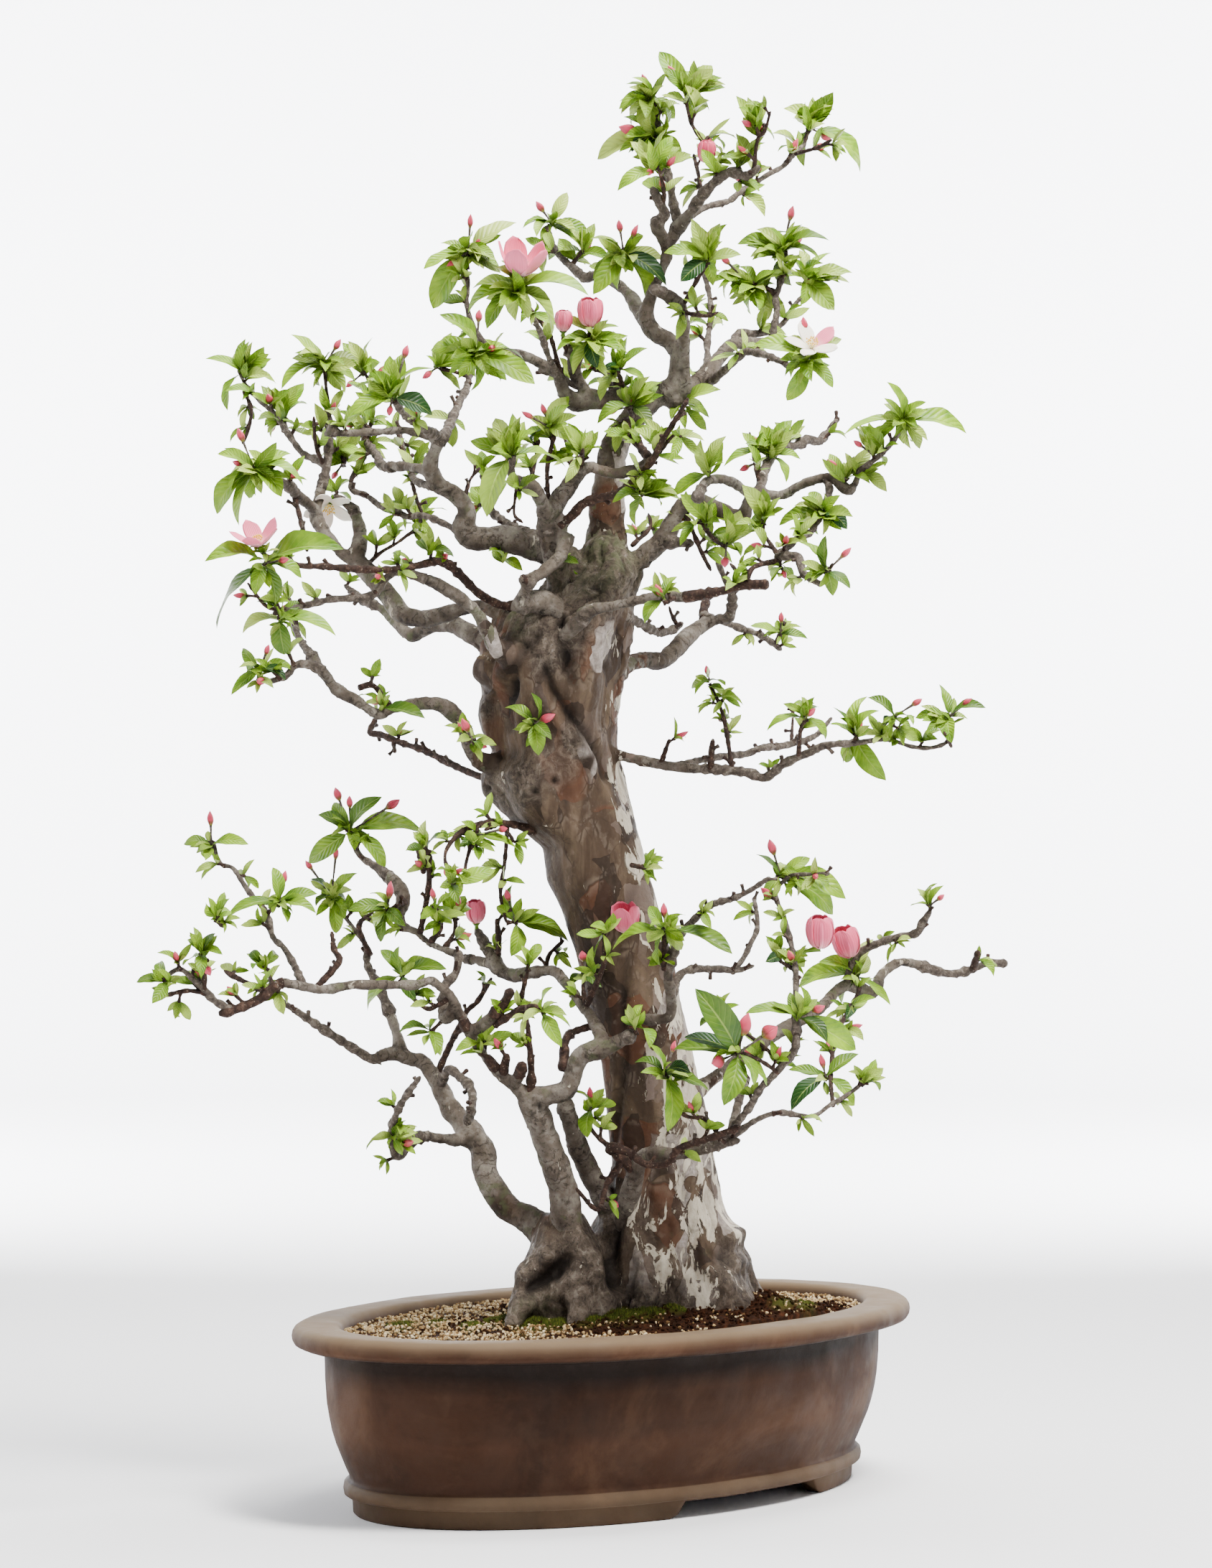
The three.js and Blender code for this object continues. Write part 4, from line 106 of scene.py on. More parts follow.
# Limbs: depth at the root and at the tip (mm), then column, row and, where it changes, thickness.
LIMBS: dict[str, list] = {
  "upper_trunk": [18, 5, [[845,800,62],[845,740,54],[846,700,50],[850,660,44],[856,625,40],[868,600,36],
    [885,578,34],[905,558,34],[935,540,30]]],
  "crown_front": [2, -30, [[957,548,15],[955,520,14],[953,470],[950,430],[930,412,18],[905,400,13]]],
  "crown_leader": [5, 0, [[940,545,26],[945,500,25],[935,478],[915,465,24],[900,445,22],[908,410,17],
    [920,385,14],[928,360],[930,345,18],[940,325],[945,310,20]]],
  "apex_left": [0, -35, [[930,350,16],[920,325,17],[915,312,20],[925,300,14],[920,285],[908,262,12]]],
  "apex_top": [0, 10, [[945,312,16],[938,285,12],[932,250],[928,230],[922,205,9],[917,185],[915,148,7]]],
  "apex_right": [0, -75, [[945,318,20],[962,295,15],[980,270,14],[1000,250,13],[1018,240],[1040,245],
    [1057,232,10]]],
  "apex_back": [0, 100, [[945,314,12],[965,300,8],[985,288],[1015,280],[1030,268],[1050,256],[1070,243],
    [1090,232],[1105,215],[1122,200,6]]],
  "left_high": [5, 125, [[905,455,22],[890,435],[880,415,18],[865,400],[850,390,15],[830,383],[815,387],
    [800,375,12],[785,362],[775,350,8],[768,335],[763,315,5]]],
  "left_crown": [8, -90, [[905,558,26],[880,550],[850,555,25],[820,560],[800,560,24],[785,545],
    [775,520,16],[760,510],[735,498],[710,492],[690,490,13],[672,484,9],[660,488,7]]],
  "left_crown_tip": [-85, -70, [[690,492,9],[668,470,8],[655,445,6],[650,420],[652,400],[650,375,5]]],
  "left_crown_bloom": [-60, -150, [[780,530,12],[765,500,8],[755,470,7],[742,440],[728,412],[722,392,5]]],
  "left_crown_stub": [-10, -50, [[830,560,14],[805,530,18],[800,515,20],[795,480,18]]],
  "left_crown_cut": [-20, -45, [[845,552,9],[800,537,8],[780,525],[750,515,8]]],
  "right_crown": [5, 70, [[930,560,28],[960,540,26],[985,520,25],[1000,500,21],[1020,480,18],[1040,478],
    [1075,478,14]]],
  "right_crown_rise": [28, 135, [[1012,492,12],[1030,465,10],[1050,465,9],[1075,462],[1095,445],
    [1103,430],[1115,415],[1128,403,4]]],
  "right_crown_top": [55, 110, [[1075,470,9],[1082,435,8],[1080,415],[1085,400],[1093,360],[1095,340],
    [1102,322,6]]],
  "right_crown_low": [5, -110, [[985,535,12],[1010,515,10],[1035,492],[1050,491],[1070,496],[1090,505],
    [1103,511,8],[1120,500,6],[1132,492,5]]],
  "right_crown_back": [-5, 120, [[975,530,14],[985,505,10],[985,480,8],[990,440],[988,412,7],[982,385],
    [980,365,5]]],
  "left_arm": [5, -40, [[808,802,44],[772,772,40],[735,760,36],[700,750,35],[660,750,34],[645,735,30],
    [650,712,25],[635,690,24],[610,675],[600,655,22],[603,635,19],[615,605,19]]],
  "left_arm_west": [-40, -120, [[618,610,14],[595,600,12],[580,590],[565,580],[550,560,8]]],
  "left_arm_rise": [-40, 95, [[615,612,14],[622,600,12],[640,560,10],[650,540],[660,505,6]]],
  "left_arm_stub": [-35, -70, [[608,612,15],[567,600,12],[520,602],[475,603,13],[456,598,24]]],
  "left_back": [-35, 130, [[608,662,18],[570,650,14],[535,650,13],[525,635,11],[510,615],[503,590,7]]],
  "left_back_rise": [-35, 165, [[603,678,12],[580,670,9],[568,650],[562,630],[555,600,7]]],
  "left_inner": [5, 100, [[745,745,16],[715,735,12],[700,725],[680,705,10],[672,660,6]]],
  "left_long_twig": [-15, 110, [[655,752,12],[630,735,9],[590,718],[570,720],[550,712],[530,705],
    [510,690,8],[490,682],[490,665,6],[500,650],[510,635,5]]],
  "left_middle": [0, 90, [[730,855,26],[700,850,22],[660,845,20],[620,855],[590,862,24],[560,855,28],
    [540,828],[510,795],[495,780,25],[502,750,21],[495,715],[480,700,12],[465,690,8]]],
  "left_middle_back": [25, 170, [[715,920,34],[670,890,30],[650,880],[625,868,26],[600,870],[575,885,20],
    [555,870],[535,850],[505,835,12],[480,815,7]]],
  "left_far": [50, 95, [[495,782,20],[475,770,15],[455,745,18],[440,720,20],[445,690,16],[455,650,12],
    [458,610],[456,565,8]]],
  "left_far_arm": [60, -10, [[441,712,17],[415,690,15],[400,675,13],[372,662,7]]],
  "left_far_top": [75, 160, [[455,650,11],[440,640,9],[420,630],[395,595,7],[380,575],[345,540],
    [332,515,5]]],
  "left_front": [-42, -155, [[745,850,15],[710,845,12],[690,840],[665,825],[640,800],[615,782,12],
    [580,788,10],[550,793,9],[500,793],[450,789],[420,788,8],[385,782],[362,768,5]]],
  "left_long": [-32, -115, [[720,920,26],[690,900,22],[680,880],[665,855,18],[650,840],[620,820],
    [600,810,16],[560,797,12],[540,803],[520,828,10],[490,833],[460,835],[440,840],[405,848,8],
    [380,855,6]]],
  "left_fold": [-8, -62, [[700,1065,26],[668,1060,22],[655,1040],[645,1010,20],[620,985,22],[600,980,18],
    [570,982],[545,988],[525,995,14],[495,975],[465,957,18],[450,935,16],[425,925,12],[410,928,10],
    [400,940],[380,948,7],[350,950,4]]],
  "left_fold_rise": [-45, 60, [[455,945,16],[435,915,14],[420,895,10],[412,875],[408,850,7],[398,822,5]]],
  "left_low_twig": [0, 140, [[700,1092,13],[670,1082,10],[645,1072],[620,1060],[590,1045],[560,1035],
    [530,1023],[515,1020,8],[525,998,6]]],
  "left_spur": [-18, -95, [[745,1158,13],[720,1150,10],[690,1145],[670,1148],[650,1155],[635,1165,7],
    [620,1190,5],[625,1225,4]]],
  "fork_stem": [-12, -30, [[785,815,34],[768,765,27],[760,730,28]]],
  "fork_left": [-30, -100, [[760,735,24],[755,700],[740,675,18],[725,672],[712,660,11],[715,635,7]]],
  "fork_right": [-30, -75, [[762,738,26],[775,700,28],[790,680],[800,665,22],[820,650],[835,655,14],
    [860,660],[880,655,16],[900,645],[912,638,11]]],
  "fork_brown": [-25, -125, [[770,760,17],[775,740,16],[800,715],[815,700,12],[850,690],[870,680,10],
    [905,645],[925,610,8],[950,570],[958,555,6]]],
  "fork_snag": [-18, -62, [[790,745,22],[780,775,20],[765,790],[745,803],[725,810,14]]],
  "curl": [-15, -45, [[808,915,42],[795,875,38],[775,850,36],[750,838,34],[722,842,28]]],
  "curl_stub": [-48, -62, [[720,850,20],[730,825,18],[744,806,15]]],
  "curl_finger": [-42, -66, [[785,890,20],[800,872,20],[818,858,18]]],
  "right_arm": [12, -30, [[865,812,38],[880,790,28],[895,775],[915,760,26],[930,742,28],[945,710,23],
    [960,698,22],[980,700],[1020,718,20],[1035,720],[1045,695,18],[1065,680,16]]],
  "right_arm_stub": [5, -20, [[918,758,18],[935,755,16],[965,757,12]]],
  "right_arm_back": [-30, 125, [[1058,688,16],[1065,655,15],[1080,630],[1110,620,12],[1125,612,14],
    [1140,615],[1150,605,9],[1168,582,6]]],
  "right_arm_far": [-30, -75, [[1060,688,15],[1090,690,14],[1110,678],[1130,670],[1150,665,13],[1165,670],
    [1180,682,17],[1190,675,10],[1200,655,9],[1230,630,7],[1250,605],[1258,580,5]]],
  "right_arm_front": [-28, -100, [[1050,692,16],[1040,685],[1020,672],[1005,668,14],[990,668],[980,675],
    [970,697,14]]],
  "right_drop": [-50, -95, [[1150,668,10],[1155,680],[1150,700],[1130,740,9],[1110,750],[1085,775,10]]],
  "right_drop_tip": [-93, -140, [[1082,776,11],[1110,775],[1120,800,12],[1145,815,6]]],
  "right_front": [-42, -115, [[812,860,26],[822,850,19],[850,845,14],[880,838],[910,832],[935,830,15],
    [950,832],[1010,822,13],[1035,815],[1070,814,14]]],
  "right_back": [15, 135, [[855,940,28],[870,930,22],[890,920],[920,920,24],[935,910],[950,895],
    [965,880,22],[980,870],[990,860,16]]],
  "right_back_rise": [115, 95, [[978,872,15],[1000,862,16],[1015,860],[1020,835,12],[1013,815,8],
    [998,780,6]]],
  "right_back_tip": [105, 175, [[1002,864,9],[1040,878,8],[1060,885],[1075,895],[1088,905,7]]],
  "right_mid": [-5, 95, [[868,858,16],[885,865,12],[915,880],[935,878,10],[950,868,8]]],
  "right_low": [0, -85, [[845,1048,22],[862,1052,15],[905,1062],[930,1067],[960,1070,13],[1000,1072],
    [1040,1076],[1065,1083,12],[1090,1065],[1110,1055],[1130,1047],[1150,1038,10],[1190,1035,8],
    [1235,1030,6],[1270,1040],[1300,1041],[1322,1030,5],[1325,1005,4]]],
  "right_low_back": [-12, 135, [[935,1068,9],[980,1058],[1010,1053],[1040,1050],[1060,1042],[1095,1038,9],
    [1135,1025,8],[1158,1000,5]]],
  "low_left": [-18, 75, [[785,1755,52],[760,1720,45],[740,1700],[710,1685,35],[690,1660],[675,1630,33],
    [672,1600,35],[640,1560,30],[625,1540],[610,1510,24],[590,1480,20],[565,1472,21],[555,1450],
    [550,1430,15],[530,1380,13],[512,1345,10],[510,1318,7],[490,1290,6],[470,1262],[458,1235,5]]],
  "low_left_west": [28, 20, [[565,1470,19],[545,1467,20],[520,1475,15],[500,1465],[460,1440,11],
    [430,1420],[400,1400],[380,1388,7]]],
  "low_left_loop": [-8, -140, [[650,1590,18],[610,1585,14],[590,1583],[570,1592],[552,1610,12],
    [546,1575,10],[555,1545],[570,1520],[585,1500,7]]],
  "low_left_cut": [0, -55, [[612,1515,14],[625,1490,12],[640,1500],[655,1515,12],[658,1540],[650,1565,10]]],
  "low_front": [-30, -85, [[805,1755,54],[790,1710,45],[785,1660,41],[765,1600,38],[745,1545,38],
    [738,1530,31],[765,1525,28],[790,1518],[798,1495,26],[810,1470],[840,1460,26],[885,1440,14]]],
  "low_front_west": [-75, 60, [[845,1458,20],[825,1420,16],[810,1400],[785,1365,14],[770,1352],[740,1355],
    [710,1358,20],[675,1340,14],[645,1335,12]]],
  "low_front_arm": [35, 40, [[700,1355,18],[690,1340,20],[675,1315],[664,1295,13]]],
  "low_front_left": [-52, -92, [[742,1545,20],[735,1535],[720,1515],[690,1490,15],[660,1450],
    [640,1410,14]]],
  "left_lowest": [-90, -165, [[645,1418,15],[625,1385,14],[600,1366,13],[580,1372],[530,1372],[490,1372],
    [455,1378],[440,1377,14],[400,1370],[385,1372],[360,1392,13],[325,1407],[305,1412,12]]],
  "left_lowest_tip": [-160, -195, [[322,1406,10],[300,1395],[285,1380],[270,1365],[250,1350,7],
    [228,1362,5]]],
  "left_lowest_rise": [-130, -60, [[422,1372,10],[410,1345],[395,1320],[380,1305,8],[370,1270],
    [345,1240,7],[325,1210],[310,1205],[303,1195],[297,1172,5]]],
  "left_knot_rise": [-92, -55, [[632,1405,18],[620,1418,18],[620,1375,12],[635,1355],[640,1325,11]]],
  "left_knot_west": [-55, 30, [[640,1330,11],[600,1315,10],[580,1298,12],[560,1290],[555,1275,16],
    [562,1250,22],[545,1225,19],[520,1205,10],[500,1190,8],[484,1155,5]]],
  "back_stem": [12, -42, [[872,1735,44],[850,1690,35],[830,1650,32],[810,1610,30],[785,1535,24]]],
  "front_stem": [-47, -100, [[862,1760,38],[864,1720,31],[870,1690,30],[890,1620,22],[905,1608,19],
    [940,1608,18],[980,1600,16],[1030,1588,9]]],
  "front_twig": [-55, -115, [[885,1632,12],[852,1600,13],[875,1605,11],[900,1622,9],[930,1620],[945,1600],
    [980,1588],[1030,1570,9]]],
  "right_lowest": [-92, -125, [[1005,1592,11],[1030,1560,9],[1045,1540],[1060,1515],[1075,1500],
    [1105,1465],[1110,1440,12]]],
  "right_lowest_tip": [-92, -40, [[1015,1588,9],[1050,1562,8],[1085,1550],[1130,1555],[1155,1540],
    [1180,1525],[1200,1510,5]]],
  "right_low_stub": [-90, -35, [[1015,1590,14],[1030,1530,14],[1038,1498,14]]],
  "right_low_limb": [22, 150, [[955,1530,26],[975,1515,21],[1040,1470,19],[1080,1440],[1140,1405,18],
    [1160,1385],[1180,1372],[1215,1382,18],[1230,1355,15],[1260,1340,13],[1320,1356,12],[1355,1350],
    [1375,1342,9],[1402,1342,12]]],
  "right_low_limb_tip": [110, 60, [[1178,1374,11],[1185,1345,10],[1200,1325],[1240,1308],[1275,1300],
    [1285,1285,11],[1297,1266,5]]],
  "right_low_twig": [-62, 90, [[1160,1540,6],[1157,1500],[1163,1450],[1180,1410],[1197,1380,5],
    [1195,1360,4]]],
  "right_spur": [-28, -62, [[890,1420,18],[905,1420,15],[930,1418,16],[935,1400],[930,1350,14]]],
  "right_spur_top": [-60, -115, [[931,1355,13],[938,1325,12],[945,1305],[980,1268,9],[1000,1257],
    [1020,1252],[1045,1240,7],[1072,1222,5]]],
  "right_spur_back": [-52, 10, [[934,1400,11],[950,1355,10],[1000,1350,9],[1025,1352],[1050,1345,5]]],
  "right_spur_rise": [0, 75, [[1020,1354,8],[1035,1335,7],[1045,1315],[1055,1290],[1050,1250,6]]],
  "right_rise": [-123, -40, [[1110,1442,13],[1108,1400,9],[1108,1350,8],[1098,1300],[1090,1275,7],
    [1080,1245],[1084,1212,5]]],
  "right_rise_tip": [-60, -70, [[1081,1238,5],[1100,1220],[1120,1218],[1155,1217,5]]],
}

# Twigs: each leaves the nearest limb and ends this far (mm) in front of it (-) or behind it (+).
TWIGS: list[list] = [
  [-25, [[920,295,6],[925,270],[918,235,5]]],
  [35, [[978,272,6],[972,240,5],[966,215,4]]],
  [25, [[998,252,6],[992,228],[983,205],[963,172],[955,140,4]]],
  [-20, [[1050,238,6],[1055,195,5],[1065,183],[1073,155,4]]],
  [30, [[1120,203,5],[1125,180,4]]],
  [-30, [[1105,215,5],[1140,205,5],[1158,195,4]]],
  [-40, [[860,400,6],[862,370,5],[870,345,4]]],
  [30, [[782,362,6],[762,330,5]]],
  [-30, [[952,425,6],[968,395,5],[985,368,4]]],
  [-35, [[945,432,7],[965,438],[985,440,5],[1000,435,4]]],
  [20, [[1085,408,6],[1070,402,5],[1045,392,4],[1018,382,4]]],
  [-30, [[780,520,7],[765,465,6],[738,430],[730,410,5]]],
  [25, [[852,550,10],[850,530,8],[840,518],[815,510,6]]],
  [-30, [[800,520,10],[812,490,6],[822,462,5]]],
  [-20, [[795,500,8],[785,478,6],[784,465,4]]],
  [-30, [[870,552,9],[865,530,6],[858,515,5]]],
  [20, [[945,540,7],[945,520,5]]],
  [-35, [[860,590,9],[880,580,6],[872,565,5]]],
  [-22, [[808,655,6],[812,625,5]]],
  [25, [[798,665,6],[795,635,5],[784,605,4]]],
  [-25, [[766,715,7],[762,655,6],[772,605,5]]],
  [20, [[738,675,6],[745,645,5],[750,612,5]]],
  [-18, [[720,675,5],[716,715,4],[728,728,4]]],
  [30, [[905,640,12],[890,620],[878,598,10]]],
  [-25, [[912,640,6],[930,615,5],[945,600,4]]],
  [25, [[880,760,7],[905,735,5],[903,715,4]]],
  [15, [[648,690,6],[655,668,4],[668,652,4]]],
  [-25, [[570,655,6],[580,695,5],[588,715,4]]],
  [-20, [[452,650,6],[440,620,5],[437,580,4]]],
  [-25, [[410,690,7],[420,730,6],[428,768,5]]],
  [25, [[508,790,7],[530,770,5],[555,755],[580,735,4]]],
  [30, [[508,615,7],[520,575,5],[515,530,4]]],
  [-25, [[340,545,6],[350,570,5],[345,600,5],[338,618,4]]],
  [25, [[395,600,6],[398,585,4]]],
  [15, [[480,640,6],[478,650,4]]],
  [-25, [[400,848,6],[372,845,5],[345,812,4]]],
  [20, [[500,958,9],[520,955,8],[540,980,8],[546,990,8]]],
  [-20, [[548,1035,6],[550,1048,4]]],
  [-30, [[650,1035,7],[655,1028,5]]],
  [-25, [[665,1150,6],[655,1180,5],[648,1210,5],[655,1225,4]]],
  [25, [[707,1148,6],[703,1200,5],[697,1245,5],[705,1285,4]]],
  [30, [[1060,680,6],[1052,650,5],[1044,602,4]]],
  [-30, [[968,700,7],[985,740,6],[1008,762,5]]],
  [20, [[955,715,7],[975,765,6],[990,795,5]]],
  [25, [[1085,775,7],[1065,745,5],[1063,728,4]]],
  [-20, [[1085,780,7],[1050,790,6],[1042,808,5]]],
  [-20, [[1125,800,7],[1152,795,5],[1160,785,4]]],
  [20, [[1035,815,7],[1025,795,5],[1017,785,4]]],
  [-25, [[940,832,7],[928,840,5]]],
  [-15, [[945,875,6],[935,855,5],[932,845,4]]],
  [25, [[982,868,13],[980,850,12],[985,835,12]]],
  [-25, [[1080,898,6],[1088,878,4]]],
  [25, [[1020,1072,7],[1010,1010,6],[1003,985],[990,955,4]]],
  [-20, [[990,1072,9],[991,1048,8],[993,1030,7]]],
  [-15, [[920,1065,7],[932,1030,5]]],
  [-30, [[1112,1055,7],[1115,1015,5],[1122,1005,4]]],
  [25, [[1102,1035,5],[1105,985,4]]],
  [20, [[1185,1035,6],[1192,1030,5]]],
  [-20, [[1232,1031,6],[1245,1005,5]]],
  [25, [[785,1490,12],[790,1445,10],[820,1430,9],[835,1425,8]]],
  [-25, [[715,1508,17],[722,1500,16],[728,1482,14]]],
  [-15, [[690,1488,16],[678,1472,13]]],
  [-15, [[700,1495,15],[706,1470,12]]],
  [-35, [[735,1535,15],[740,1500,10],[735,1430,7],[725,1400],[735,1352,5]]],
  [30, [[605,1505,9],[625,1460,8],[650,1410,7],[665,1395],[685,1362,6]]],
  [-25, [[655,1435,17],[672,1428,18],[700,1400,13],[712,1378,11]]],
  [-30, [[690,1428,9],[720,1408,8],[740,1402],[752,1405,7]]],
  [20, [[625,1390,9],[610,1400,7],[595,1405,6],[575,1390,5],[558,1368,4]]],
  [-20, [[690,1350,8],[695,1320,7],[692,1280,6]]],
  [25, [[760,1355,7],[765,1330,5],[785,1310,5]]],
  [-25, [[815,1405,8],[840,1345,7],[842,1308,6]]],
  [20, [[818,1410,7],[812,1375,5],[818,1352,4]]],
  [-25, [[585,1300,8],[597,1235,8],[597,1188,7]]],
  [20, [[590,1215,6],[580,1180,5]]],
  [-20, [[565,1255,10],[553,1262,5]]],
  [-20, [[600,1312,9],[615,1290,5],[604,1262,4]]],
  [25, [[620,1320,8],[632,1300,5],[636,1282,4]]],
  [-25, [[515,1330,8],[500,1290,7],[520,1270,4]]],
  [25, [[440,1376,9],[472,1340,8],[465,1322,7],[462,1298,5]]],
  [-25, [[370,1275,6],[382,1262,5],[388,1252,4]]],
  [25, [[375,1385,8],[330,1362,7],[312,1352,5]]],
  [-20, [[285,1380,7],[285,1350,5],[282,1332,4]]],
  [20, [[380,1372,6],[372,1352,5]]],
  [-15, [[288,1384,7],[260,1380,6],[225,1388,5]]],
  [-20, [[310,1290,5],[302,1284,4]]],
  [-25, [[552,1608,8],[548,1585,5]]],
  [-25, [[870,1612,9],[845,1650,8],[832,1685,7],[802,1655,4]]],
  [20, [[852,1600,9],[825,1575,5],[820,1548,5]]],
  [-20, [[1005,1592,7],[985,1560,6],[950,1550],[925,1490,5]]],
  [-20, [[1085,1495,6],[1060,1478,5],[1032,1465,4]]],
  [20, [[1090,1480,6],[1040,1440,5],[1005,1425,4]]],
  [20, [[1108,1352,6],[1085,1338,4]]],
  [-20, [[1325,1040,4],[1315,1020,4]]],
  [-18, [[1355,1350,9],[1362,1325,7]]],
  [20, [[880,1205,7],[895,1208,5]]],
  [-25, [[925,1350,9],[925,1310,6],[925,1292,4]]],
  [25, [[850,1455,10],[868,1446,9],[884,1436,8]]],
  [-20, [[690,1150,6],[675,1156,4]]],
  [-20, [[700,1150,6],[715,1170,4]]],
]


# Surface roots, written as the limbs are.
ROOTS: dict[str, list] = {
  "root_front_left": [-36, -100, [[752,1762,46],[730,1805,36],[712,1852,20]]],
  "root_front": [-40, -108, [[808,1765,46],[806,1812,36],[800,1858,20]]],
  "root_front_middle": [-20, -82, [[910,1750,50],[900,1795,38],[886,1842,20]]],
  "root_right": [20, 42, [[1000,1725,50],[1030,1770,36],[1058,1815,20]]],
  "root_back_left": [25, 100, [[808,1742,52],[772,1782,38],[742,1826,20]]],
  "root_back": [45, 122, [[885,1732,52],[872,1772,38],[862,1812,20]]],
  "root_back_right": [45, 122, [[965,1732,52],[988,1772,36],[1008,1812,20]]],
}

# Burrs and burls on the trunk: column, row, depth and radius (mm).
BURRS: list[list] = [
  [843, 778, 4, 18], [682, 932, -8, 13], [790, 1788, -44, 17],
]


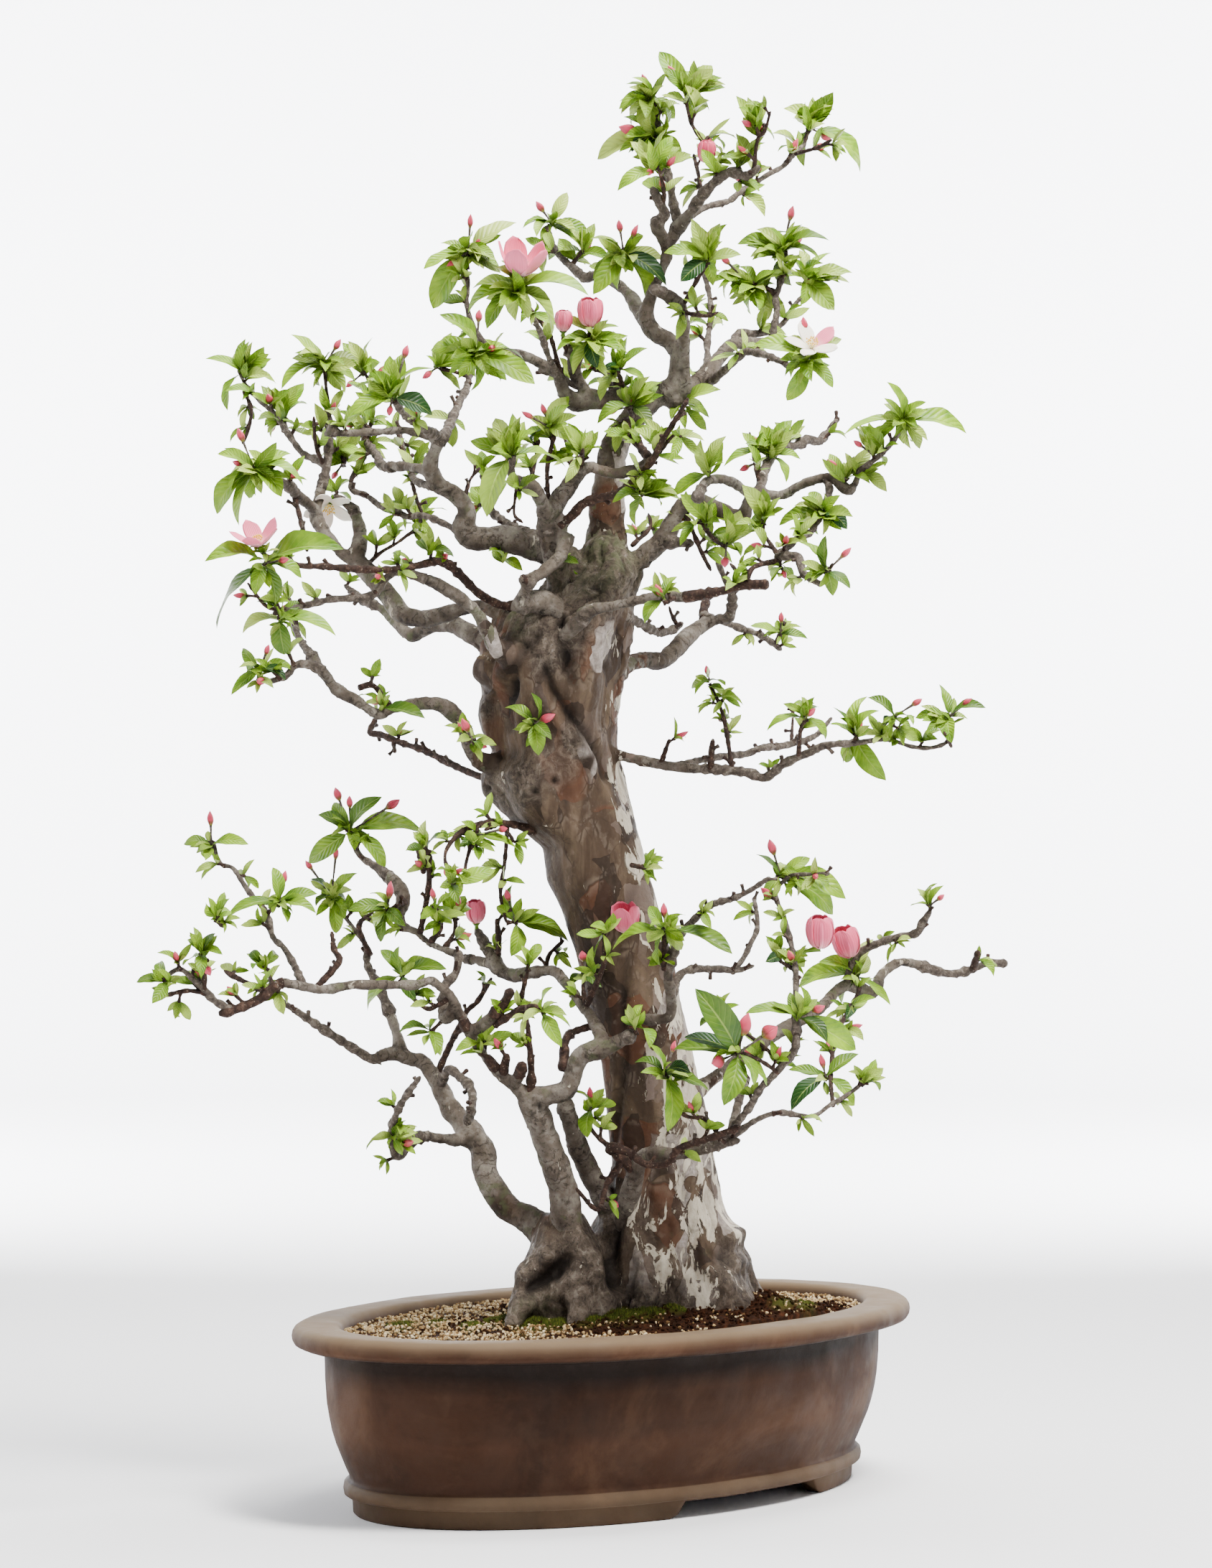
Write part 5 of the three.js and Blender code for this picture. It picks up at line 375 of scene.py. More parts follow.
# Leafy sprays, each a piece of its own: heart (column, row), leaves (tip column, tip row, width)
# and buds (column, row, width, height).
SPRAYS: dict[str, list] = {
  "spray_top_left": [[908,135], [[862,152,16],[940,165,22],[880,108,12],[905,180,14]], [[898,112,9,20]]],
  "spray_top": [[958,132], [[918,72,20],[1010,122,16],[988,155,14],[925,95,14],[962,168,16]],
    [[950,112,8,20],[935,98,9,16]]],
  "spray_top_low": [[915,188], [[880,212,28],[832,222,20],[950,215,18],[868,163,14],[922,232,18]],
    [[875,180,15,28],[933,205,14,18]]],
  "spray_top_right": [[1125,182], [[1122,142,14],[1158,160,14],[1105,165,14],[1120,232,16],[1198,240,18]],
    [[1150,190,12,18]]],
  "spray_high_mid": [[872,348], [[822,333,16],[842,365,16],[826,410,22],[925,362,14],[928,398,20],
    [903,425,14]],[[863,315,9,18],[884,322,8,22]]],
  "spray_bloom_left": [[722,398], [[658,402,22],[820,412,26],[652,436,18],[678,458,16],[768,466,18]], []],
  "spray_left_peak": [[652,350], [[590,375,22],[622,358,16],[680,365,22],[720,310,14],[697,380,16],
    [603,430,18]],[[655,308,8,20],[667,336,9,20],[628,368,8,18]]],
  "spray_left_crown": [[664,486], [[600,488,28],[612,438,18],[730,502,20],[745,535,18],[697,532,16],
    [662,525,14],[655,545,16],[640,455,14]], [[667,440,10,18]]],
  "spray_crown_bloom": [[822,468], [[832,512,30],[876,495,20],[775,490,16],[800,520,16],[862,455,14]], []],
  "spray_crown_right": [[1092,350], [[1027,340,22],[1155,335,16],[1045,358,16],[1142,362,16],
    [1103,398,22],[1072,318,14]], [[1102,297,10,22]]],
  "spray_crown_far": [[1122,388], [[1162,432,26],[1187,380,14],[1183,394,14],[1158,352,16],
    [1115,425,18]], []],
  "spray_crown_mid": [[1048,400], [[1025,372,18],[1000,402,18],[1070,445,20],[1108,382,14],[1046,438,22]],
    [[1073,380,8,14],[1010,362,9,18]]],
  "spray_crown_back": [[985,365], [[925,352,18],[1032,355,14],[1005,316,14],[993,398,16],[948,392,22]],
    [[976,330,9,18],[991,345,8,16]]],
  "spray_bloom_right": [[1125,495], [[1096,558,22],[1050,480,16],[1172,472,14],[1160,540,18]],
    [[1120,452,11,22]]],
  "spray_west_top": [[452,508], [[405,466,16],[500,502,20],[392,542,18],[410,492,14],[480,548,16],
    [495,516,12]],[[470,480,9,18]]],
  "spray_west_mid": [[545,555], [[560,493,12],[606,514,18],[495,540,22],[484,582,20],[602,578,32],
    [530,512,14],[478,600,16]], [[565,490,10,20],[543,572,9,16]]],
  "spray_west_peak": [[335,520], [[286,500,16],[385,535,14],[317,572,20],[372,505,16],[345,478,14]], []],
  "spray_west_low": [[354,654], [[322,658,26],[392,692,28],[302,716,20],[333,732,20],[405,632,12],
    [422,676,16],[303,632,14],[385,616,16]], [[335,606,10,22],[330,645,8,14]]],
  "spray_west_bloom": [[368,785], [[285,782,18],[302,876,28],[356,828,20],[383,842,16],[478,765,20],
    [420,805,14]],[[395,780,9,16]]],
  "spray_far_left": [[388,860], [[338,882,16],[468,886,24],[396,912,30],[358,838,14],[420,838,14]],
    [[395,848,9,16]]],
  "spray_heart": [[745,1008], [[740,965,13],[703,986,14],[750,1052,26],[725,1030,12],[768,1030,12]],
    [[762,1000,12,26]]],
  "spray_fork_left": [[712,640], [[702,588,16],[684,625,18],[655,614,16],[678,720,18],[788,651,20],
    [745,600,26]],[[717,622,9,18],[700,652,8,16]]],
  "spray_fork_back": [[872,572], [[905,600,22],[862,540,13],[832,590,14],[900,560,14]], [[850,572,11,22],
    [880,556,8,20]]],
  "spray_fork_right": [[893,690], [[916,672,14],[898,655,16],[886,734,20],[853,700,14],[920,705,14]], []],
  "spray_east_mid": [[1062,640], [[1008,650,20],[1115,640,14],[1095,672,16],[1075,605,14],[1038,618,14]],
    [[1055,615,9,18],[1037,652,9,16]]],
  "spray_east": [[1145,705], [[1085,732,18],[1180,737,20],[1128,685,12],[1170,690,14],[1140,745,16]], []],
  "spray_east_peak": [[1258,578], [[1175,606,24],[1346,604,24],[1235,532,12],[1272,615,20],[1290,560,14],
    [1225,612,16]], []],
  "spray_east_low": [[1152,790], [[1113,755,13],[1150,746,12],[1160,830,20],[1184,820,20],[1120,810,14]],
    [[1178,770,9,22]]],
  "spray_low_right": [[1122,1005], [[1068,1018,14],[1150,1030,14],[1105,980,12],[1140,985,12]],
    [[1130,992,9,18]]],
  "spray_right_far": [[1190,1028], [[1155,1008,13],[1234,1087,20],[1178,1062,18],[1225,990,18],
    [1208,970,12],[1160,985,16]], [[1197,1010,10,20]]],
  "spray_right_tip": [[1322,998], [[1326,1035,24],[1308,953,13],[1373,986,20],[1275,1000,14],
    [1290,1022,12]],[[1347,978,9,18]]],
  "spray_left_rise": [[390,1250], [[380,1208,12],[314,1281,22],[442,1245,13],[440,1272,12],[362,1266,14],
    [400,1285,14]], [[396,1222,9,20]]],
  "spray_left_end": [[282,1335], [[280,1362,14],[262,1308,14],[300,1300,12],[255,1345,14],[310,1330,14]],
    [[290,1352,11,16]]],
  "spray_left_mass": [[483,1150], [[443,1135,18],[494,1184,20],[430,1202,14],[532,1110,14],[592,1162,22],
    [536,1212,22],[465,1118,14],[520,1178,14]], [[470,1106,11,20],[487,1117,9,18],[547,1120,12,24]]],
  "spray_left_low": [[465,1242], [[432,1225,20],[498,1216,12],[480,1280,18],[484,1262,12],[440,1262,14],
    [468,1300,14]], [[468,1188,8,20],[430,1205,8,16]]],
  "spray_left_inner": [[540,1265], [[527,1302,24],[485,1268,14],[530,1312,14],[565,1290,14],
    [515,1245,12]],[[543,1240,11,26],[516,1255,8,16]]],
  "spray_near_trunk": [[718,1285], [[712,1332,26],[714,1232,14],[780,1296,24],[792,1312,16],
    [692,1262,12]],[[707,1247,9,18],[727,1318,9,18]]],
  "spray_left_knot": [[560,1358], [[530,1323,13],[622,1350,18],[512,1408,16],[556,1318,20],[595,1335,16],
    [580,1395,14]], []],
  "spray_right_rise": [[1088,1222], [[1053,1190,12],[1125,1248,16],[1178,1252,16],[1160,1274,22],
    [1065,1255,14],[1128,1195,14],[1110,1215,12]], [[1075,1180,12,24],[1150,1228,12,16]]],
  "spray_right_mid": [[1195,1358], [[1112,1376,18],[1208,1330,18],[1216,1308,15],[1240,1400,16],
    [1172,1398,16],[1140,1340,14]], []],
  "spray_right_heart": [[1112,1425], [[1038,1412,20],[1192,1462,26],[1152,1452,16],[1100,1382,12],
    [1075,1400,14],[1142,1396,13]], [[1140,1405,11,20]]],
  "spray_trunk_right": [[927,1292], [[853,1323,16],[1020,1329,24],[920,1345,34],[955,1275,14],
    [905,1262,12]],[[925,1268,10,22]]],
  "spray_low_buds": [[1028,1462], [[953,1445,16],[938,1462,18],[1050,1512,22],[1068,1512,24],
    [1008,1540,28],[992,1425,22],[968,1377,14]], [[1038,1427,18,34],[1072,1437,22,26],[1000,1478,20,20],
    [993,1398,9,20]]],
  "spray_foot_right": [[930,1488], [[884,1480,16],[962,1495,20],[935,1545,14],[930,1576,22],[988,1520,14],
    [905,1455,14]], [[938,1458,8,18]]],
  "spray_foot_twig": [[822,1548], [[795,1522,12],[858,1538,12],[818,1585,30],[840,1522,12]],
    [[822,1523,9,20]]],
}

# Small tufts of young leaves and buds, which stay one with the twigs they grow from.
TUFTS: list[list] = [
  [[910,238], [[860,266,16],[966,220,13]], [[903,240,9,18]]],
  [[1022,232], [[1000,218,14],[1045,212,14],[1035,252,12]], [[1027,246,10,14]]],
  [[1052,178], [[1028,150,14],[1078,195,14]], [[1040,172,9,18]]],
  [[812,352], [[775,352,16],[850,362,16]], [[820,340,9,18]]],
  [[858,520], [[838,515,14],[900,536,12],[870,495,12]], []],
  [[505,520], [[482,508,12],[530,505,12]], [[505,498,9,16],[487,535,8,14]]],
  [[608,512], [[650,470,14],[642,547,16]], [[595,522,9,18]]],
  [[400,582], [[362,562,14],[385,542,12],[428,563,18]], [[378,597,9,16]]],
  [[480,652], [[458,650,14],[512,657,18]], [[466,662,8,14]]],
  [[578,735], [[560,722,12],[600,742,14]], [[583,722,8,14]]],
  [[598,770], [[632,776,16],[585,752,12]], []],
  [[528,992], [[498,970,13],[592,1001,16]], [[528,976,9,18]]],
  [[655,1028], [[670,1045,12]], [[648,1010,11,22]]],
  [[765,595], [[792,552,13],[798,613,16],[740,618,24]], [[757,570,8,18],[735,578,8,20]]],
  [[805,640], [[838,625,13],[790,615,12]], []],
  [[985,660], [[938,690,16],[1008,645,12]], [[988,650,8,16]]],
  [[1010,765], [[1000,745,14],[1032,775,12]], [[1010,783,12,16]]],
  [[985,738], [[965,728,12],[1003,728,13]], []],
  [[1088,790], [[1075,805,12],[1105,812,12]], [[1092,800,8,14]]],
  [[1063,730], [[1045,742,12],[1080,718,12]], [[1063,708,12,24]]],
  [[1215,632], [[1185,592,16],[1232,650,12]], [[1195,618,8,16]]],
  [[1180,668], [[1155,632,14],[1212,674,14]], [[1160,648,14,24]]],
  [[1088,875], [[1045,872,14],[1125,890,14]], [[1088,860,8,16]]],
  [[988,948], [[963,958,12],[1010,955,12]], [[985,934,8,16]]],
  [[1006,972], [[1027,973,12],[985,985,12]], []],
  [[1246,998], [[1236,1022,22],[1272,1010,15],[1208,972,12]], [[1277,978,9,18]]],
  [[897,1208], [[912,1222,14],[905,1190,10]], []],
  [[300,1168], [[256,1176,16],[346,1176,14],[285,1195,12]], [[293,1140,9,22]]],
  [[302,1284], [[287,1258,12],[320,1268,12]], []],
  [[232,1368], [[190,1368,14],[212,1398,16],[222,1340,12]], []],
  [[370,1348], [[350,1325,12],[385,1328,12],[352,1350,14]], []],
  [[600,1262], [[640,1245,15],[585,1280,12]], [[603,1245,8,18]]],
  [[630,1232], [[608,1212,12],[690,1212,14],[640,1260,12]], [[622,1216,8,16]]],
  [[598,1185], [[580,1160,13],[625,1162,14],[565,1185,13]], []],
  [[638,1282], [[600,1290,16],[655,1265,12]], [[637,1255,11,20]]],
  [[668,1160], [[724,1186,20],[640,1180,12]], [[700,1155,9,14]]],
  [[738,1350], [[728,1322,12],[753,1315,12]], []],
  [[598,1435], [[556,1438,16],[606,1470,26],[620,1420,12]], []],
  [[676,1452], [[634,1464,13],[716,1440,15],[672,1412,12]], []],
  [[550,1578], [[510,1602,20],[565,1560,12],[560,1600,12]], []],
  [[1190,1402], [[1178,1420,14]], []],
  [[1150,1500], [[1098,1490,14],[1102,1547,26],[1196,1468,12],[1190,1540,14]], [[1145,1478,9,22]]],
  [[1200,1508], [[1225,1520,12],[1215,1490,12]], []],
  [[1297,1266], [[1268,1262,12],[1306,1230,12]], [[1310,1250,8,14]]],
  [[845,1298], [[822,1290,14],[828,1335,14]], []],
  [[820,1350], [[795,1372,18],[838,1375,12]], [[812,1332,12,16]]],
  [[1085,1338], [[1066,1340,14],[1105,1325,14]], []],
  [[1005,1425], [[975,1430,16],[1030,1400,16]], []],
  [[885,1438], [[905,1460,20],[870,1415,18]], []],
  [[790,800], [[768,790,12],[806,785,14],[795,830,12]], []],
  [[700,780], [[680,768,12],[728,795,14]], []],
  [[768,310], [[822,330,20],[728,318,16],[790,268,12],[758,345,14]], [[752,288,10,20]]],
  [[362,932], [[322,968,14],[338,903,12],[398,948,18],[408,932,14],[345,935,12]],[[372,905,8,16]]],
  [[948,550], [[903,567,18],[1004,543,14],[988,582,12],[935,585,14]], [[947,523,10,22]]],
  [[925,838], [[898,868,20],[943,803,10],[905,822,10]], [[917,822,10,20]]],
  [[755,1402], [[795,1432,18],[782,1458,14],[728,1425,12],[770,1375,12]], []],
]

# Blooms: base (column, row), middle of the flower, its width, how far it has opened (0 to 1), colour.
BLOOMS: dict[str, list] = {
  "bloom_top": [[983,228], [985,202], 23, 0.15, "pink"],
  "bloom_left_crown": [[724,392], [730,352], 68, 0.6, "pink"],
  "bloom_crown_small": [[784,468], [785,448], 22, 0.15, "pink"],
  "bloom_crown_mid": [[822,462], [822,434], 32, 0.25, "pink"],
  "bloom_west": [[362,768], [358,745], 70, 0.79, "pink"],
  "bloom_right_tulip": [[1142,1322], [1142,1293], 35, 0.18, "pink"],
  "bloom_right_back": [[1182,1338], [1173,1308], 35, 0.24, "pink"],
  "bloom_trunk": [[872,1300], [870,1275], 36, 0.36, "pink"],
  "bloom_low_left": [[658,1300], [657,1278], 25, 0.2, "pink"],
  "bloom_right_pale": [[1132,495], [1133,480], 78, 0.95, "white"],
  "bloom_west_pale": [[458,700], [460,716], 72, 0.95, "white"],
}


def unit(vector: Array) -> Array:
    """A vector, or each row of vectors, at length one."""
    length = np.linalg.norm(vector, axis=-1, keepdims=True)
    return vector / np.maximum(length, 1e-12)


def mix(start: float, end: float, share: float) -> float:
    """The value a share of the way from start to end."""
    return start + (end - start) * share


@dataclass(frozen=True)
class Sight:
    """The sight line that sets out the tree: a place across the front and a depth give a point."""

    column: float = 844.0
    row: float = 1092.0
    focal: float = 7500.0
    distance: float = 4.0
    height: float = 0.530
    frame_rows: float = 2184.0

    def shift(self) -> Array:
        """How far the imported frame's origin lies from the foot of the sight line."""
        low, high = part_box("pot")
        return np.array([(low.x + high.x) / 2 - POT_MIDDLE[0], (low.y + high.y) / 2 - POT_MIDDLE[1], 0.0])

    def place(self, column: float, row: float, depth_mm: float) -> Array:
        """The point at a column and row across the front, at a depth.

        Args:
            column: Place across, in sight columns.
            row: Place down, in sight rows.
            depth_mm: Depth behind the sight line's plane, in millimetres.

        Returns:
            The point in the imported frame.
        """
        depth = depth_mm * MM
        scale = (self.distance + depth) / self.focal
        x = (column - self.column) * scale
        return np.array([x, depth, self.height - (row - self.row) * scale]) + SHIFT

    def size(self, pixels: float, depth_mm: float) -> float:
        """The real length of a stretch of the sight's columns at a depth."""
        return pixels * (self.distance + depth_mm * MM) / self.focal

    def columns_rows(self, points: Array) -> Array:
        """The column and row of each point, as two columns of an array.

        Args:
            points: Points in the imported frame.

        Returns:
            A column and a row for each point.
        """
        local = points - SHIFT
        scale = (self.distance + local[:, 1]) / self.focal
        columns = local[:, 0] / scale + self.column
        rows = (self.height - local[:, 2]) / scale + self.row
        return np.stack([columns, rows], 1)


SIGHT = Sight()
SHIFT = SIGHT.shift()


def turns(count: int) -> Array:
    """Angles in even steps round a full turn."""
    return 2 * np.pi * np.arange(count) / count


def grid_values(across: Array, along: Array) -> Array:
    """The "blade" values of a grid of points, from their places across it and along it.

    Args:
        across: Place across for each column.
        along: Place along for each row.

    Returns:
        A row of three values for each point.
    """
    rows, width = len(along), len(across)
    values = [np.tile(across, (rows, 1)), np.repeat(along[:, None], width, 1), np.zeros((rows, width))]
    return np.stack(values, axis=2).reshape(-1, 3)


def smooth_path(points: Array, step: float) -> Array:
    """A smooth curve through rows of values, sampled at even steps.

    Args:
        points: One row for each knot: x, y, z, then anything else that goes along.
        step: Distance between samples.

    Returns:
        The samples, in rows like those given.
    """
    padded = np.vstack([2 * points[0] - points[1], points, 2 * points[-1] - points[-2]])
    samples = []
    for i in range(1, len(padded) - 2):
        before, start, end, after = padded[i - 1:i + 3]
        length = np.linalg.norm(end[:3] - start[:3])
        count = max(1, int(round(length / step)))
        for k in range(count):
            t = k / count
            curve = 2 * start + (end - before) * t + (2 * before - 5 * start + 4 * end - after) * t * t
            samples.append((curve + (3 * start - before - 3 * end + after) * t ** 3) / 2)
    samples.append(points[-1])
    return np.array(samples)


def tube_rings(path: Array, radii: Array, sides: int) -> Array:
    """Rings of points round a path, turned as little as possible from one to the next.

    Args:
        path: Points along the middle.
        radii: Radius at each point.
        sides: Points in each ring.

    Returns:
        An array of rings, each with a point for each side.
    """
    along = unit(np.gradient(path, axis=0))
    side = unit(np.cross(along[0], UP if abs(along[0][2]) < 0.8 else RIGHT))
    angles = turns(sides)
    rings = []
    for i, direction in enumerate(along):
        side = unit(side - direction * np.dot(side, direction))
        other = np.cross(direction, side)
        ring = np.outer(np.cos(angles), side) + np.outer(np.sin(angles), other)
        rings.append(path[i] + ring * radii[i])
    return np.array(rings)


# The noise's seeded directions, the numbers that pick one for a lattice point, how far a seed moves the
# noise's field, and how much its swells are raised so that they run from about -1 to 1.
WAYS = unit(np.random.default_rng(7).normal(size=(4096, 3)))
LATTICE_PRIMES = np.array([73856093, 19349663, 83492791])
SEED_STRIDE = 17.31
NOISE_GAIN = 1.7


def field_noise(points: Array, scale: float, seed: float) -> Array:
    """Smooth noise from about -1 to 1 at each point.

    Args:
        points: Points in metres.
        scale: Size of the noise's swells, in metres.
        seed: Moves the noise to another part of its field.

    Returns:
        One value for each point.
    """
    scaled = points / scale + seed * SEED_STRIDE
    base = np.floor(scaled).astype(np.int64)
    inner = scaled - base
    fade = inner ** 3 * (inner * (inner * 6 - 15) + 10)
    total = np.zeros(len(points))
    for corner in np.ndindex(2, 2, 2):
        near_corner = np.array(corner)
        lattice = (base + near_corner) * LATTICE_PRIMES
        way = WAYS[(lattice[:, 0] ^ lattice[:, 1] ^ lattice[:, 2]) % len(WAYS)]
        weight = np.prod(np.where(near_corner, fade, 1 - fade), axis=1)
        total += weight * np.sum(way * (inner - near_corner), axis=1)
    return np.clip(total * NOISE_GAIN, -1, 1)


def level(x: Array, y: Array) -> Array:
    """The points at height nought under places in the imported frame."""
    return np.column_stack([x, y, x * 0])


class Maker:
    """Gathers points, faces and the values that finishes read, and makes one mesh piece of them."""

    def __init__(self) -> None:
        """Starts with nothing."""
        self.points: list[Array] = []
        self.faces: list[list[int]] = []
        self.materials: list[int] = []
        self.shades: list[Array] = []
        self.blades: list[Array] = []
        self.count = 0

    def add(self, points: Array, faces: list, material: int = 0, shade: tuple = (0.5, 0.5, 0.5),
            blade: Array | None = None) -> None:
        """Adds one form.

        Args:
            points: Its points.
            faces: Its faces, as lists of places in points.
            material: Which of the piece's finishes it takes.
            shade: Three values from 0 to 1 that the finish reads, for all points or in a row for each.
            blade: For each point, its place across and along a leaf, and a third value.
        """
        count = len(points)
        self.points.append(np.asarray(points, float))
        start = self.count
        self.faces.extend([[start + i for i in face] for face in faces])
        self.materials.extend([material] * len(faces))
        shades = np.asarray(shade, float)
        self.shades.append(np.broadcast_to(shades, (count, 3)) if shades.ndim == 1 else shades)
        self.blades.append(np.zeros((count, 3)) if blade is None else np.asarray(blade, float))
        self.count += count

    def add_rings(self, rings: Array, closed: bool = True, material: int = 0, shade: tuple = (0.5, 0.5, 0.5),
                  blade: Array | None = None) -> None:
        """Adds a tube through rings of points, with its ends closed.

        Args:
            rings: Rings of points, all with as many.
            closed: Whether the ends are filled.
            material: Which of the piece's finishes it takes.
            shade: As for add.
            blade: As for add.
        """
        rows, sides = rings.shape[:2]
        faces = []
        for i in range(rows - 1):
            for j in range(sides):
                k = (j + 1) % sides
                faces.append([i * sides + j, i * sides + k, (i + 1) * sides + k, (i + 1) * sides + j])
        if closed:
            faces.append(list(range(sides))[::-1])
            faces.append([(rows - 1) * sides + j for j in range(sides)])
        self.add(rings.reshape(-1, 3), faces, material, shade, blade)

    def add_sheet(self, rows: Array, material: int, shade: tuple, blade: Array) -> None:
        """Adds one thin sheet through rows of points.

        Args:
            rows: Rows of points, all with as many.
            material: Which of the piece's finishes it takes.
            shade: As for add.
            blade: As for add.
        """
        count, width = rows.shape[:2]
        faces = []
        for i in range(count - 1):
            for j in range(width - 1):
                corner = i * width + j
                faces.append([corner, corner + 1, corner + width + 1, corner + width])
        self.add(rows.reshape(-1, 3), faces, material, shade, blade)

    def build(self, name: str, finishes: list, smooth: bool = True) -> bpy.types.Object:
        """Makes the piece.

        Args:
            name: The piece's name.
            finishes: Its materials, in the order that the faces name them.
            smooth: Whether its faces are shaded smooth.

        Returns:
            The piece, in the scene.
        """
        mesh = bpy.data.meshes.new(name)
        mesh.from_pydata(np.vstack(self.points).tolist(), [], self.faces)
        mesh.polygons.foreach_set("material_index", self.materials)
        mesh.polygons.foreach_set("use_smooth", [smooth] * len(self.faces))
        give_values(mesh, "shade", np.vstack(self.shades))
        give_values(mesh, "blade", np.vstack(self.blades))
        for finish in finishes:
            mesh.materials.append(finish)
        mesh.update()
        piece = bpy.data.objects.new(name, mesh)
        bpy.context.scene.collection.objects.link(piece)
        return piece


def give_values(mesh: bpy.types.Mesh, name: str, values: Array) -> None:
    """Stores three values for each point of a mesh, for its finish to read."""
    attribute = mesh.attributes.get(name) or mesh.attributes.new(name, "FLOAT_VECTOR", "POINT")
    attribute.data.foreach_set("vector", np.asarray(values, np.float32).ravel())


def keep(piece: bpy.types.Object, slot: str, *nodes: str) -> None:
    """Fixes a piece to the frame and hides the nodes that it stands for.

    Args:
        piece: The piece.
        slot: Not used.
        nodes: The nodes that it stands for.
    """
    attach(piece, "root")
    if nodes:
        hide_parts(*nodes)
    triangles = sum(len(p.vertices) - 2 for p in piece.data.polygons)
    log.info("%s: %d triangles", piece.name, triangles)


def applied(piece: bpy.types.Object) -> None:
    """Applies all modifiers of a piece to its mesh.

    Args:
        piece: The piece.
    """
    graph = bpy.context.evaluated_depsgraph_get()
    mesh = bpy.data.meshes.new_from_object(piece.evaluated_get(graph))
    piece.modifiers.clear()
    piece.data = mesh


def mesh_points(mesh: bpy.types.Mesh) -> tuple[Array, Array]:
    """The points of a mesh and their normals.

    Args:
        mesh: The mesh.

    Returns:
        Both, as rows of an array.
    """
    points = np.empty(len(mesh.vertices) * 3)
    normals = np.empty(len(mesh.vertices) * 3)
    mesh.vertices.foreach_get("co", points)
    mesh.vertices.foreach_get("normal", normals)
    return points.reshape(-1, 3), normals.reshape(-1, 3)


def colour(red: int, green: int, blue: int) -> tuple[float, float, float, float]:
    """A colour given as it looks, from 0 to 255, in the values that light is worked out with."""
    linear = [((v / 255 + 0.055) / 1.055) ** 2.4 if v > 10 else v / 255 / 12.92 for v in (red, green, blue)]
    return (*linear, 1.0)


Socket = bpy.types.NodeSocket
Shade = tuple[int, int, int]
Stops = list[tuple[float, Shade]]


